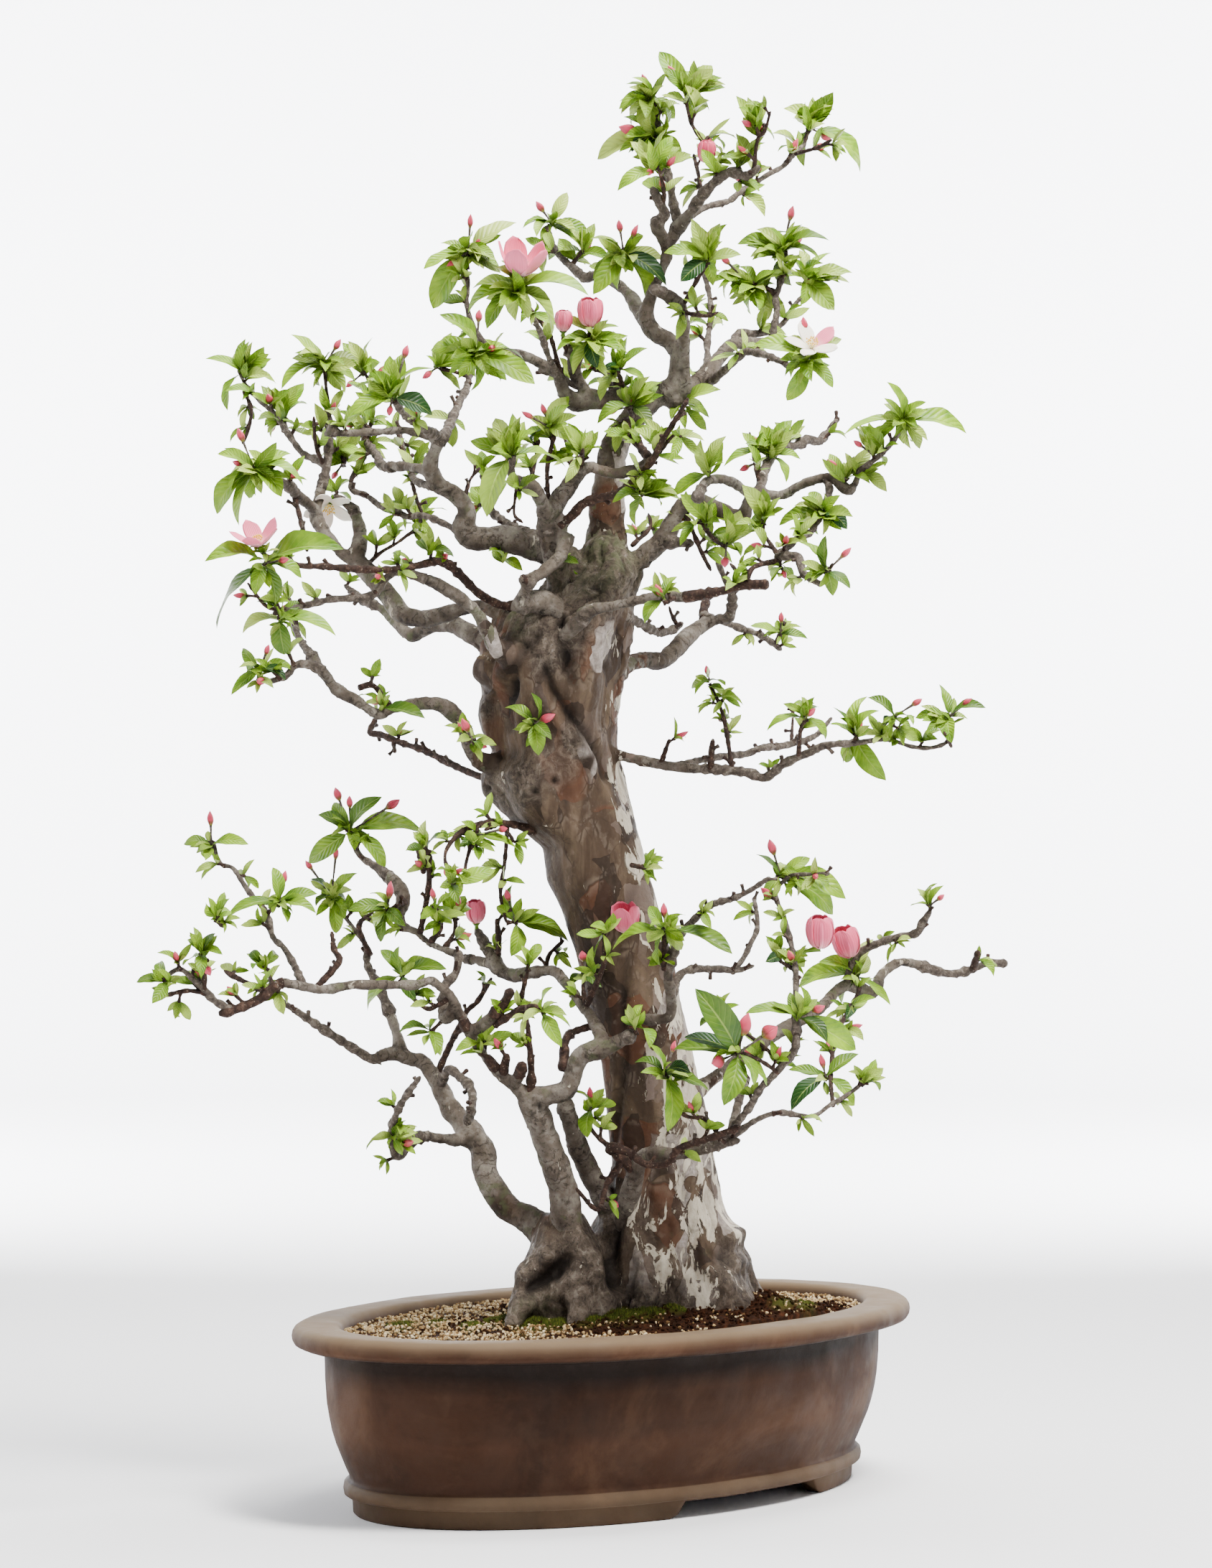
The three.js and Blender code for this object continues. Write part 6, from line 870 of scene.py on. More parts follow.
class Recipe:
    """One procedural material, put together from Blender's shader nodes."""

    def __init__(self, name: str) -> None:
        """Starts a material with a plain surface.

        Args:
            name: The material's name.
        """
        self.material = bpy.data.materials.new(name)
        self.material.use_nodes = True
        self.tree = self.material.node_tree
        self.surface = next(n for n in self.tree.nodes if n.type == "BSDF_PRINCIPLED")
        self.where = self.node("ShaderNodeTexCoord").outputs["Object"]

    def node(self, kind: str, **settings: object) -> bpy.types.Node:
        """Adds a node and sets its options.

        Args:
            kind: Blender's name for the node.
            settings: Its options.

        Returns:
            The node.
        """
        node = self.tree.nodes.new(kind)
        for name, value in settings.items():
            setattr(node, name, value)
        return node

    def feed(self, socket: Socket, value: Socket | float | tuple) -> None:
        """Links a socket to another, or sets it to a value.

        Args:
            socket: The socket.
            value: What it takes.
        """
        if isinstance(value, bpy.types.NodeSocket):
            self.tree.links.new(value, socket)
        else:
            socket.default_value = value

    def stretched(self, scale: tuple[float, float, float]) -> Socket:
        """The place on the object, stretched along its axes.

        Args:
            scale: How strongly noise is squeezed along each axis.

        Returns:
            The place.
        """
        node = self.node("ShaderNodeMapping")
        self.feed(node.inputs["Vector"], self.where)
        node.inputs["Scale"].default_value = scale
        return node.outputs["Vector"]

    def noise(self, size: float, detail: float, roughness: float = 0.6, twist: float = 0.0,
              where: Socket | None = None) -> Socket:
        """Noise whose swells are about this size in metres.

        Args:
            size: Width of its swells.
            detail: How many finer layers it has.
            roughness: How strong the finer layers are.
            twist: How much it is distorted.
            where: The place it is read at, if not the object's own.

        Returns:
            The value, as a socket.
        """
        node = self.node("ShaderNodeTexNoise")
        self.feed(node.inputs["Vector"], where or self.where)
        self.feed(node.inputs["Scale"], 1 / size)
        self.feed(node.inputs["Detail"], detail)
        self.feed(node.inputs["Roughness"], roughness)
        self.feed(node.inputs["Distortion"], twist)
        return node.outputs["Fac"]

    def cells(self, size: float, feature: str = "F1", where: Socket | None = None) -> bpy.types.Node:
        """Cells of about this size in metres.

        Args:
            size: Width of a cell.
            feature: What is measured in each cell.
            where: The place it is read at, if not the object's own.

        Returns:
            The node.
        """
        node = self.node("ShaderNodeTexVoronoi", feature=feature)
        self.feed(node.inputs["Vector"], where or self.where)
        self.feed(node.inputs["Scale"], 1 / size)
        return node

    def warped(self, size: float, amount: float, stretch: tuple[float, float, float]) -> Socket:
        """The place on the object, pushed about by noise of a size, by up to an amount in metres.

        Args:
            size: Width of the noise.
            amount: How far it pushes.
            stretch: How strongly the result is squeezed along each axis.

        Returns:
            The place.
        """
        node = self.node("ShaderNodeTexNoise")
        self.feed(node.inputs["Vector"], self.where)
        self.feed(node.inputs["Scale"], 1 / size)
        self.feed(node.inputs["Detail"], 3.0)
        shift = self.node("ShaderNodeVectorMath", operation="MULTIPLY_ADD")
        self.feed(shift.inputs[0], node.outputs["Color"])
        shift.inputs[1].default_value = (amount * 2, amount * 2, amount * 2)
        self.feed(shift.inputs[2], self.where)
        scaled = self.node("ShaderNodeVectorMath", operation="MULTIPLY")
        self.feed(scaled.inputs[0], shift.outputs["Vector"])
        scaled.inputs[1].default_value = stretch
        return scaled.outputs["Vector"]

    def ramp(self, value: Socket, stops: Stops, smooth: bool = False) -> Socket:
        """Colours spread over a value from 0 to 1.

        Args:
            value: The value.
            stops: Places from 0 to 1, each with its colour.
            smooth: Whether colours ease into each other.

        Returns:
            The colour, as a socket.
        """
        node = self.node("ShaderNodeValToRGB")
        node.color_ramp.interpolation = "EASE" if smooth else "LINEAR"
        elements = node.color_ramp.elements
        while len(elements) < len(stops):
            elements.new(0.5)
        for element, (position, shade) in zip(elements, stops):
            element.position = position
            element.color = colour(*shade)
        self.feed(node.inputs["Fac"], value)
        return node.outputs["Color"]

    def span(self, value: Socket, low: float, high: float, start: float = 0.0, end: float = 1.0) -> Socket:
        """A value from low to high, spread to run from start to end and held there.

        Args:
            value: The value.
            low: Where it starts to count.
            high: Where it stops.
            start: The result at low.
            end: The result at high.

        Returns:
            The value, as a socket.
        """
        node = self.node("ShaderNodeMapRange")
        for name, number in zip(("From Min", "From Max", "To Min", "To Max"), (low, high, start, end)):
            node.inputs[name].default_value = number
        self.feed(node.inputs["Value"], value)
        return node.outputs["Result"]

    def blend(self, share: Socket | float, first: Socket | tuple, second: Socket | tuple) -> Socket:
        """Two colours mixed, by the share of the second.

        Args:
            share: The share.
            first: The colour at 0.
            second: The colour at 1.

        Returns:
            The colour, as a socket.
        """
        node = self.node("ShaderNodeMix", data_type="RGBA", blend_type="MIX")
        self.feed(node.inputs["Factor"], share)
        self.feed(node.inputs[6], first)
        self.feed(node.inputs[7], second)
        return node.outputs[2]

    def tint(self, base: Socket | tuple, value: Socket, low: float, high: float, most: float,
             shade: Shade) -> Socket:
        """A colour laid over another where a value runs from low to high, up to a greatest share."""
        return self.blend(self.span(value, low, high, 0.0, most), base, colour(*shade))

    def work(self, operation: str, first: Socket | float, second: Socket | float = 0.0) -> Socket:
        """One or two values worked by one of Blender's math operations.

        Args:
            operation: Blender's name for the operation.
            first: The first value.
            second: The second, where there is one.

        Returns:
            The value, as a socket.
        """
        node = self.node("ShaderNodeMath", operation=operation)
        self.feed(node.inputs[0], first)
        self.feed(node.inputs[1], second)
        return node.outputs[0]

    def times(self, first: Socket | float, second: Socket | float) -> Socket:
        """Two values multiplied."""
        return self.work("MULTIPLY", first, second)

    def total(self, *weighted: tuple[Socket, float]) -> Socket:
        """The sum of values that each have a weight.

        Args:
            weighted: The values, each with its weight.

        Returns:
            The value, as a socket.
        """
        result = self.times(*weighted[0])
        for value, weight in weighted[1:]:
            result = self.work("ADD", result, self.times(value, weight))
        return result

    def values(self, name: str) -> tuple[Socket, Socket, Socket]:
        """The three values that a piece's mesh carries under a name.

        Args:
            name: The name.

        Returns:
            The three values, as sockets.
        """
        source = self.node("ShaderNodeAttribute", attribute_name=name)
        parts = self.node("ShaderNodeSeparateXYZ")
        self.feed(parts.inputs[0], source.outputs["Vector"])
        return parts.outputs[0], parts.outputs[1], parts.outputs[2]

    def relief(self, height: Socket, depth: float, strength: float = 1.0) -> Socket:
        """Fine relief of a depth in metres.

        Args:
            height: Height from 0 to 1.
            depth: How deep the relief is.
            strength: How strongly it shows.

        Returns:
            The bent normal, as a socket.
        """
        node = self.node("ShaderNodeBump")
        self.feed(node.inputs["Height"], height)
        node.inputs["Distance"].default_value = depth
        node.inputs["Strength"].default_value = strength
        return node.outputs["Normal"]

    def finish(self, base: Socket | tuple, roughness: Socket | float, normal: Socket | None,
               specular: float) -> bpy.types.Material:
        """Gives the surface its colour, roughness and relief.

        Args:
            base: Its colour.
            roughness: Its roughness.
            normal: Its relief.
            specular: How strongly it reflects.

        Returns:
            The finished material.
        """
        self.feed(self.surface.inputs["Base Color"], base)
        self.feed(self.surface.inputs["Roughness"], roughness)
        self.surface.inputs["Specular IOR Level"].default_value = specular
        if normal is not None:
            self.feed(self.surface.inputs["Normal"], normal)
        return self.material


def grain_of(make: Recipe) -> Socket:
    """Fine grain that runs up the wood."""
    return make.noise(0.005, 7.0, 0.7, 0.4, where=make.stretched((1.0, 1.0, 0.3)))


@dataclass(frozen=True)
class Bark:
    """Quince bark: smooth brown skin that scales off in curved flakes, over grey wood with furrows.

    Its pieces carry in "shade" how warm the skin is, how pale or green it is, and how much painted shade it
    takes.
    """

    patch: float = 0.024
    fine_patch: float = 0.62
    furrow: float = 0.007
    relief: float = 0.002

    def scales(self, make: Recipe, size: float, flow: Socket) -> tuple[Socket, Socket, Socket]:
        """Three random values for each scale of the skin.

        Args:
            make: The material's recipe.
            size: Width of a scale.
            flow: The place it is read at.

        Returns:
            The three values, as sockets.
        """
        cells = make.cells(size, where=flow)
        tone = make.node("ShaderNodeSeparateColor")
        make.feed(tone.inputs[0], cells.outputs["Color"])
        return tone.outputs[0], tone.outputs[1], tone.outputs[2]

    def skin(self, make: Recipe, pale: Socket) -> tuple[Socket, Socket]:
        """The smooth brown skin, where it scales off, with painted shadow and highlight at the edges of its
        scales, and its relief.

        Args:
            make: The material's recipe.
            pale: How pale the skin is.

        Returns:
            Its colour and its relief.
        """
        flow = make.warped(0.035, 0.011, (1.0, 1.0, 0.55))
        broad = self.scales(make, self.patch, flow)
        small = self.scales(make, self.patch * self.fine_patch, flow)
        streak = make.noise(0.022, 7.0, 0.62, 0.5, where=make.stretched((1.0, 1.0, 0.3)))
        base = make.ramp(streak, [(0.3, (38, 28, 21)), (0.5, (64, 50, 38)), (0.72, (98, 82, 66))])
        cloud = make.noise(0.07, 2.0)
        orange = make.times(make.span(broad[0], 0.6, 0.62), make.span(cloud, 0.44, 0.5))
        base = make.blend(make.times(orange, 0.6), base, colour(82, 49, 31))
        umber = make.span(small[1], 0.76, 0.79)
        base = make.blend(make.times(umber, 0.75), base, colour(34, 24, 18))
        mauve = make.times(make.span(small[2], 0.84, 0.86), make.span(pale, 0.4, 0.6))
        base = make.blend(make.times(mauve, 0.6), base, colour(112, 98, 90))
        ready = make.work("ADD", broad[2], make.times(pale, 1.1))
        flaked = make.span(ready, 1.44, 1.46)
        mottled = make.ramp(make.noise(0.006, 6.0, 0.7), [
            (0.3, (104, 93, 86)), (0.55, (152, 142, 134)), (0.75, (190, 182, 174))])
        base = make.blend(make.times(flaked, 0.9), base, mottled)
        rim = make.cells(self.patch, "DISTANCE_TO_EDGE", flow).outputs["Distance"]
        fine_rim = make.cells(self.patch * self.fine_patch, "DISTANCE_TO_EDGE", flow).outputs["Distance"]
        lifted = make.span(make.noise(0.016, 4.0), 0.5, 0.56)
        # The scale edges: a dark line along them is painted shadow under their lifted rims, and a paler band
        # just inside them is a painted highlight on those rims.
        edges = make.work("MAXIMUM", make.span(rim, 0.035, 0.01), make.span(fine_rim, 0.03, 0.01))
        line = make.times(edges, lifted)
        base = make.blend(make.times(line, 0.3), base, colour(30, 22, 17))
        light = make.times(make.span(rim, 0.14, 0.06), lifted)
        painted_rim_highlight = make.work("SUBTRACT", light, line)
        base = make.blend(make.times(painted_rim_highlight, 0.16), base, colour(140, 126, 112))
        height = make.total((orange, 0.45), (umber, -0.4), (flaked, 0.9), (broad[1], 0.45), (small[0], 0.3))
        return base, height

    def wood(self, make: Recipe) -> tuple[Socket, Socket]:
        """The grey furrowed bark, with painted shade in its furrows and a painted highlight on its ridges,
        and its relief.

        Args:
            make: The material's recipe.

        Returns:
            Its colour and its relief.
        """
        coarse = make.noise(0.011, 9.0, 0.7, 0.8)
        grey = make.ramp(coarse, [
            (0.3, (34, 27, 22)), (0.45, (66, 56, 47)), (0.58, (96, 85, 74)), (0.74, (136, 125, 112))])
        specks = make.noise(0.0018, 4.0, 0.6)
        grey = make.tint(grey, specks, 0.55, 0.66, 0.7, (36, 28, 23))
        ridges = make.noise(self.furrow, 8.0, 0.72, 0.6, where=make.stretched((1.0, 1.0, 0.4)))
        # Painted shade in the furrows and a painted highlight on the ridge tops, from the same noise as the
        # relief.
        grey = make.tint(grey, ridges, 0.46, 0.34, 0.7, (24, 18, 14))
        grey = make.tint(grey, ridges, 0.57, 0.7, 0.5, (158, 148, 136))
        _, limb, _ = make.values("blade")
        even = make.ramp(make.noise(0.02, 7.0, 0.6), [
            (0.34, (66, 56, 47)), (0.5, (98, 89, 79)), (0.68, (140, 132, 121))])
        even = make.tint(even, specks, 0.58, 0.66, 0.5, (46, 37, 31))
        return make.blend(make.times(limb, 0.85), grey, even), ridges

    def rings(self, make: Recipe) -> Socket:
        """Fine dark wrinkles round a limb, from 0 to 1.

        Args:
            make: The material's recipe.

        Returns:
            The value, as a socket.
        """
        along, limb, _ = make.values("blade")
        phase = make.total((along, 900.0), (make.noise(0.014, 4.0), 34.0))
        wave = make.span(make.work("SINE", phase), 0.6, 0.97)
        there = make.span(make.noise(0.016, 3.0), 0.46, 0.58)
        return make.times(make.times(wave, there), limb)

    def material(self) -> bpy.types.Material:
        """Makes the material.

        Returns:
            The material.
        """
        make = Recipe("quince_bark")
        warm, pale, painted_shade = make.values("shade")
        cover, scaled = self.skin(make, pale)
        grey, ridges = self.wood(make)
        rings = self.rings(make)
        grey = make.blend(make.times(rings, 0.5), grey, colour(30, 23, 18))
        share = make.span(warm, 0.3, 0.6)
        base = make.blend(share, grey, cover)
        ragged = make.noise(0.012, 5.0, 0.6, 0.8, where=make.stretched((1.0, 1.0, 0.42)))
        cream = make.span(make.work("ADD", ragged, make.times(pale, 0.5)), 0.9, 0.92, 0.0, 0.85)
        base = make.blend(cream, base, make.ramp(grain_of(make), [
            (0.3, (158, 146, 128)), (0.7, (212, 202, 182))]))
        moss = make.times(make.span(pale, 0.42, 0.15), make.span(make.noise(0.009, 5.0), 0.38, 0.6))
        base = make.blend(make.times(moss, 0.75), base, colour(78, 84, 56))
        # Painted shade: the bark is darkened in its furrows and dents and on its undersides.
        base = make.tint(base, painted_shade, 0.08, 0.9, 0.95, (20, 14, 10))
        grain = make.noise(0.0026, 6.0, 0.65)
        bark = make.blend(share, ridges, scaled)
        height = make.total((bark, 1.0), (cream, 0.6), (grain, 0.35), (rings, -0.5))
        rough = make.span(grain, 0.2, 0.8, 0.55, 0.85)
        return make.finish(base, rough, make.relief(height, self.relief), 0.16)


@dataclass(frozen=True)
class Twig:
    """Young wood: brown or grey skin, ringed with scars and dotted with pale pores.

    Its pieces carry in "shade" how brown the skin is.
    """

    ring: float = 0.005

    def material(self) -> bpy.types.Material:
        """Makes the material.

        Returns:
            The material.
        """
        make = Recipe("quince_twig")
        brown, pale, _ = make.values("shade")
        body = make.noise(self.ring, 7.0, 0.7, 0.5)
        dark = make.ramp(body, [(0.3, (24, 16, 12)), (0.52, (50, 34, 27)), (0.75, (98, 75, 62))])
        grey = make.ramp(body, [(0.3, (38, 31, 27)), (0.52, (80, 71, 63)), (0.75, (136, 126, 115))])
        base = make.blend(make.span(brown, 0.35, 0.65), grey, dark)
        base = make.tint(base, pale, 0.6, 1.0, 0.8, (130, 140, 78))
        pores = make.cells(0.0032).outputs["Distance"]
        base = make.tint(base, pores, 0.2, 0.05, 0.45, (160, 146, 126))
        return make.finish(base, 0.72, make.relief(body, 0.0018), 0.18)


@dataclass(frozen=True)
class Leaf:
    """A quince leaf: satin green with a paler midrib and fine side veins.

    Its pieces carry in "shade" how dark, how bluish and how pale a leaf is, and in "blade" the place across
    it (0 to 1), along it (0 to 1) and a third value that stays at nought.
    """

    veins: float = 8.0

    def material(self) -> bpy.types.Material:
        """Makes the material.

        Returns:
            The material.
        """
        make = Recipe("quince_leaf")
        dark, blue, pale = make.values("shade")
        across, along, _ = make.values("blade")
        fresh = make.ramp(make.noise(0.012, 4.0), [(0.3, (88, 130, 14)), (0.7, (146, 182, 30))])
        base = make.tint(fresh, dark, 0.25, 0.95, 1.0, (22, 60, 14))
        base = make.tint(base, blue, 0.4, 1.0, 0.85, (58, 112, 60))
        base = make.tint(base, pale, 0.4, 1.0, 0.8, (182, 200, 96))
        # Painted shade: each leaf darkens towards its stalk, where the leaves crowd together.
        base = make.blend(make.span(along, 0.0, 0.5, 0.6, 0.0), base, colour(34, 70, 12))
        side = make.work("ABSOLUTE", make.work("SUBTRACT", across, 0.5))
        slant = make.work("SUBTRACT", along, make.times(side, 0.55))
        wave = make.work("ABSOLUTE", make.work("SINE", make.times(slant, self.veins * math.pi)))
        vein = make.times(make.span(wave, 0.16, 0.02), make.span(side, 0.46, 0.3))
        rib = make.span(side, 0.045, 0.015)
        lines = make.work("MAXIMUM", rib, make.times(vein, 0.55))
        base = make.blend(make.times(lines, 0.36), base, colour(176, 198, 96))
        puff = make.work("SUBTRACT", wave, make.times(rib, 1.2))
        normal = make.relief(puff, 0.0006, 0.6)
        return make.finish(base, 0.4, normal, 0.3)


class BloomColour(Enum):
    """The two colours that the tree flowers in."""

    PINK = "pink"
    WHITE = "white"


@dataclass(frozen=True)
class Petal:
    """A petal: paler at its base, with fine lines that fan out towards its edge.

    Its pieces carry "shade" as the depth of the colour and "blade" as for a leaf.
    """

    bloom: BloomColour

    def material(self) -> bpy.types.Material:
        """Makes the material.

        Returns:
            The material.
        """
        make = Recipe(f"petal_{self.bloom.value}")
        deep, _, _ = make.values("shade")
        across, along, _ = make.values("blade")
        if self.bloom is BloomColour.PINK:
            pale, full, dark = (248, 204, 210), (232, 118, 146), (196, 50, 84)
        else:
            pale, full, dark = (238, 234, 214), (246, 240, 226), (240, 214, 206)
        base = make.ramp(along, [(0.0, pale), (0.55, full), (1.0, full)], True)
        base = make.tint(base, deep, 0.4, 1.0, 1.0, dark)
        fan = make.work("SINE", make.times(across, 60.0))
        lines = make.times(make.span(fan, 0.4, 1.0), make.span(along, 0.1, 0.5, 0.32, 0.12))
        base = make.blend(lines, base, colour(*dark))
        make.surface.inputs["Subsurface Weight"].default_value = 0.25
        make.surface.inputs["Subsurface Radius"].default_value = (0.006, 0.003, 0.003)
        return make.finish(base, 0.5, make.relief(fan, 0.0002, 0.4), 0.3)


@dataclass(frozen=True)
class Bud:
    """A bud: green where it leaves the twig, then pink, with folded petals.

    Its pieces carry "blade" with the place round it (0 to 1) and along it (0 to 1).
    """

    def material(self) -> bpy.types.Material:
        """Makes the material.

        Returns:
            The material.
        """
        make = Recipe("quince_bud")
        _, _, green = make.values("shade")
        across, along, _ = make.values("blade")
        base = make.ramp(along, [(0.0, (110, 132, 36)), (0.24, (130, 60, 44)),
                                 (0.4, (190, 54, 78)), (1.0, (214, 80, 104))], True)
        fold = make.work("SINE", make.total((across, 18.85), (along, 4.0)))
        base = make.tint(base, fold, 0.2, 1.0, 0.35, (166, 30, 58))
        base = make.tint(base, green, 0.5, 0.9, 1.0, (132, 160, 44))
        return make.finish(base, 0.46, make.relief(fold, 0.0006, 0.6), 0.4)


@dataclass(frozen=True)
class Clay:
    """Unglazed brown clay, rubbed by the hand and stained by water, with a painted shadow under the lip.

    Its piece carries "shade" as how dark it is, with painted shadow under the lip and on the front, and how
    pale its edges are with wear and a painted highlight.
    """

    grain: float = 0.0011

    def material(self) -> bpy.types.Material:
        """Makes the material.

        Returns:
            The material.
        """
        make = Recipe("brown_clay")
        dark, wear_and_highlight, _ = make.values("shade")
        cloud = make.noise(0.11, 6.0, 0.62, 0.8)
        base = make.ramp(cloud, [(0.3, (42, 25, 15)), (0.5, (54, 34, 22)), (0.7, (72, 50, 35))], True)
        stain = make.noise(0.05, 6.0, 0.62, 0.5)
        base = make.tint(base, stain, 0.56, 0.78, 0.2, (92, 71, 54))
        warm = make.noise(0.16, 3.0, 0.5)
        base = make.tint(base, warm, 0.5, 0.7, 0.3, (60, 36, 21))
        # Painted shadow under the lip and on the middle of the front; the wall is also darker towards the
        # foot.
        base = make.tint(base, dark, 0.15, 0.9, 0.9, (13, 8, 6))
        # Paler on the lip and round the bead and foot: wear, and partly a painted highlight where the lip
        # faces up and the bead stands out.
        base = make.tint(base, wear_and_highlight, 0.3, 1.0, 0.8, (114, 97, 76))
        specks = make.noise(self.grain, 4.0, 0.7)
        base = make.tint(base, specks, 0.62, 0.75, 0.3, (66, 48, 40))
        height = make.total((specks, 0.5), (make.noise(0.012, 4.0, 0.6), 1.0))
        rough = make.span(make.noise(0.03, 5.0), 0.3, 0.7, 0.58, 0.8)
        return make.finish(base, rough, make.relief(height, 0.0006, 0.6), 0.1)


class Ground(Enum):
    """What the top of the soil is made of."""

    GRAVEL = "gravel"
    PEAT = "peat"
    MOSS = "moss"


@dataclass(frozen=True)
class Grit:
    """Gravel, peat or moss. Its pieces carry "shade" as the tone of each stone or blade."""

    ground: Ground

    def material(self) -> bpy.types.Material:
        """Makes the material.

        Returns:
            The material.
        """
        make = Recipe(f"ground_{self.ground.value}")
        tone, damp, _ = make.values("shade")
        if self.ground is Ground.GRAVEL:
            base = make.ramp(tone, [(0.0, (60, 42, 26)), (0.3, (112, 84, 52)),
                                    (0.62, (170, 142, 98)), (1.0, (224, 208, 172))])
            base = make.tint(base, make.noise(0.0012, 3.0), 0.5, 0.7, 0.3, (140, 116, 84))
            return make.finish(base, 0.85, make.relief(make.noise(0.0008, 3.0), 0.0004), 0.12)
        if self.ground is Ground.PEAT:
            base = make.ramp(make.noise(0.006, 8.0, 0.7, 0.4), [
                (0.3, (22, 13, 8)), (0.5, (46, 27, 16)), (0.72, (88, 52, 32))])
            base = make.tint(base, damp, 0.4, 1.0, 0.8, (70, 74, 26))
            height = make.noise(0.003, 8.0, 0.75)
            return make.finish(base, 0.95, make.relief(height, 0.003), 0.05)
        base = make.ramp(tone, [(0.0, (22, 26, 8)), (0.5, (48, 56, 16)), (1.0, (92, 98, 34))])
        return make.finish(base, 0.9, None, 0.05)


@dataclass(frozen=True)
class Studio:
    """The plain pale floor and backdrop."""

    shade: tuple[float, float, float, float] = colour(242, 242, 243)

    def material(self) -> bpy.types.Material:
        """Makes the material.

        Returns:
            The material.
        """
        make = Recipe("studio_paper")
        soft = make.noise(0.8, 2.0)
        base = make.tint(self.shade, soft, 0.3, 0.7, 0.05, (222, 222, 226))
        return make.finish(base, 0.9, None, 0.1)


@dataclass
class Stem:
    """A limb, root or twig: samples along its middle, each with a point and a radius."""

    name: str
    samples: Array

    def rings(self, sides: int) -> Array:
        """Rings of points round the stem."""
        return tube_rings(self.samples[:, :3], self.samples[:, 3], sides)


@dataclass
class Foothold:
    """Where something grows from a stem: the stem's middle there, its radius, and how far off it is seen."""

    point: Array
    radius: float
    away: float

    @property
    def depth_mm(self) -> float:
        """Depth behind the sight line's plane, in millimetres."""
        return float((self.point[1] - SHIFT[1]) / MM)


@dataclass
class Skeleton:
    """All stems of the tree, each rooted in the trunk or in the stem that carries it."""

    step: float = 0.0025
    longest_rooting: float = 45.0
    depth_weight: float = 0.4
    least_radius: float = 0.00105
    root_reach: float = 0.5
    stems: list[Stem] = field(default_factory=list)
    seen: Array = field(default_factory=lambda: np.zeros((0, 2)))
    ways: Array = field(default_factory=lambda: np.zeros((0, 3)))
    samples: Array = field(default_factory=lambda: np.zeros((0, 4)))

    def grow_all(self) -> None:
        """Grows limbs, then roots, then twigs."""
        for name, (start, end, points) in LIMBS.items():
            self.grow(name, start, end, points)
        for name, (start, end, points) in ROOTS.items():
            self.grow(name, start, mix(start, end, self.root_reach), points)
        for number, (shift, points) in enumerate(TWIGS):
            start = self.nearest(points[0][0], points[0][1]).depth_mm
            self.grow(f"twig_{number}", start, start + shift, points)

    def grow(self, name: str, start: float, end: float, points: list) -> None:
        """Adds one stem.

        Args:
            name: Its name.
            start: Depth at its root, in millimetres.
            end: Depth at its tip.
            points: Column, row and, where it changes, thickness in columns.
        """
        if not inside_trunk(points[0][0], points[0][1], start) and len(self.samples):
            carrier = self.nearest(points[0][0], points[0][1], start)
            if carrier.away < self.longest_rooting:
                start = carrier.depth_mm
        steps = [math.dist(a[:2], b[:2]) for a, b in zip(points, points[1:])]
        along = np.concatenate([[0.0], np.cumsum(steps)])
        given = [i for i, p in enumerate(points) if len(p) > 2]
        widths = [points[i][2] for i in given]
        if given[-1] < len(points) - 1:
            given.append(len(points) - 1)
            widths.append(widths[-1] * 0.8)
        width = np.interp(along, along[given], widths)
        depth = np.interp(along, [0, along[-1]], [start, end])
        knots = [[*SIGHT.place(p[0], p[1], d), max(SIGHT.size(w, d) / 2, self.least_radius)]
                 for p, w, d in zip(points, width, depth)]
        samples = smooth_path(np.array(knots), self.step)
        middle = samples[:, :3]
        swell = field_noise(middle, 0.011, 3.1) * 0.13 + field_noise(middle, 0.028, 9.4) * 0.08
        samples[:, 3] *= 1 + swell
        self.stems.append(Stem(name, samples))
        self.samples = np.vstack([self.samples, samples])
        self.ways = np.vstack([self.ways, unit(np.gradient(samples[:, :3], axis=0))])
        self.seen = np.vstack([self.seen, SIGHT.columns_rows(samples[:, :3])])

    def nearest(self, column: float, row: float, depth_mm: float | None = None) -> Foothold:
        """The place on a stem nearest to a column and row, and to a depth if one is given.

        Args:
            column: Place across the front.
            row: Place down the front.
            depth_mm: The depth that it should be near, in millimetres, if any.

        Returns:
            The foothold there.
        """
        away = np.hypot(self.seen[:, 0] - column, self.seen[:, 1] - row)
        cost = away
        if depth_mm is not None:
            depths = (self.samples[:, 1] - SHIFT[1]) / MM
            cost = away + np.abs(depths - depth_mm) * self.depth_weight
        best = int(np.argmin(cost))
        return Foothold(self.samples[best, :3], float(self.samples[best, 3]), float(away[best]))

    def lengths_along(self, points: Array) -> Array:
        """How far along the nearest stem each point lies, in metres.

        Args:
            points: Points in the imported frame.

        Returns:
            One length for each point.
        """
        tree = KDTree(len(self.samples))
        for number, sample in enumerate(self.samples):
            tree.insert(sample[:3], number)
        tree.balance()
        best = np.array([tree.find(point)[1] for point in points])
        beyond = np.sum((points - self.samples[best, :3]) * self.ways[best], axis=1)
        return best * self.step + beyond


def trunk_span(rows: list[Row], column: float, row: float) -> tuple[float, float] | None:
    """Depth in millimetres of the trunk's front and back at a place, or None beside it.

    Args:
        rows: The table of the outline.
        column: Place across the front.
        row: Place down the front.

    Returns:
        The two depths, or None.
    """
    table = np.array(rows, float)
    if not table[0, 0] <= row <= table[-1, 0]:
        return None
    left, right, depth, half = (np.interp(row, table[:, 0], table[:, i]) for i in range(1, 5))
    off = (column - (left + right) / 2) / ((right - left) / 2)
    if abs(off) > 0.96:
        return None
    deep = half * math.sqrt(1 - off * off)
    return depth - deep, depth + deep


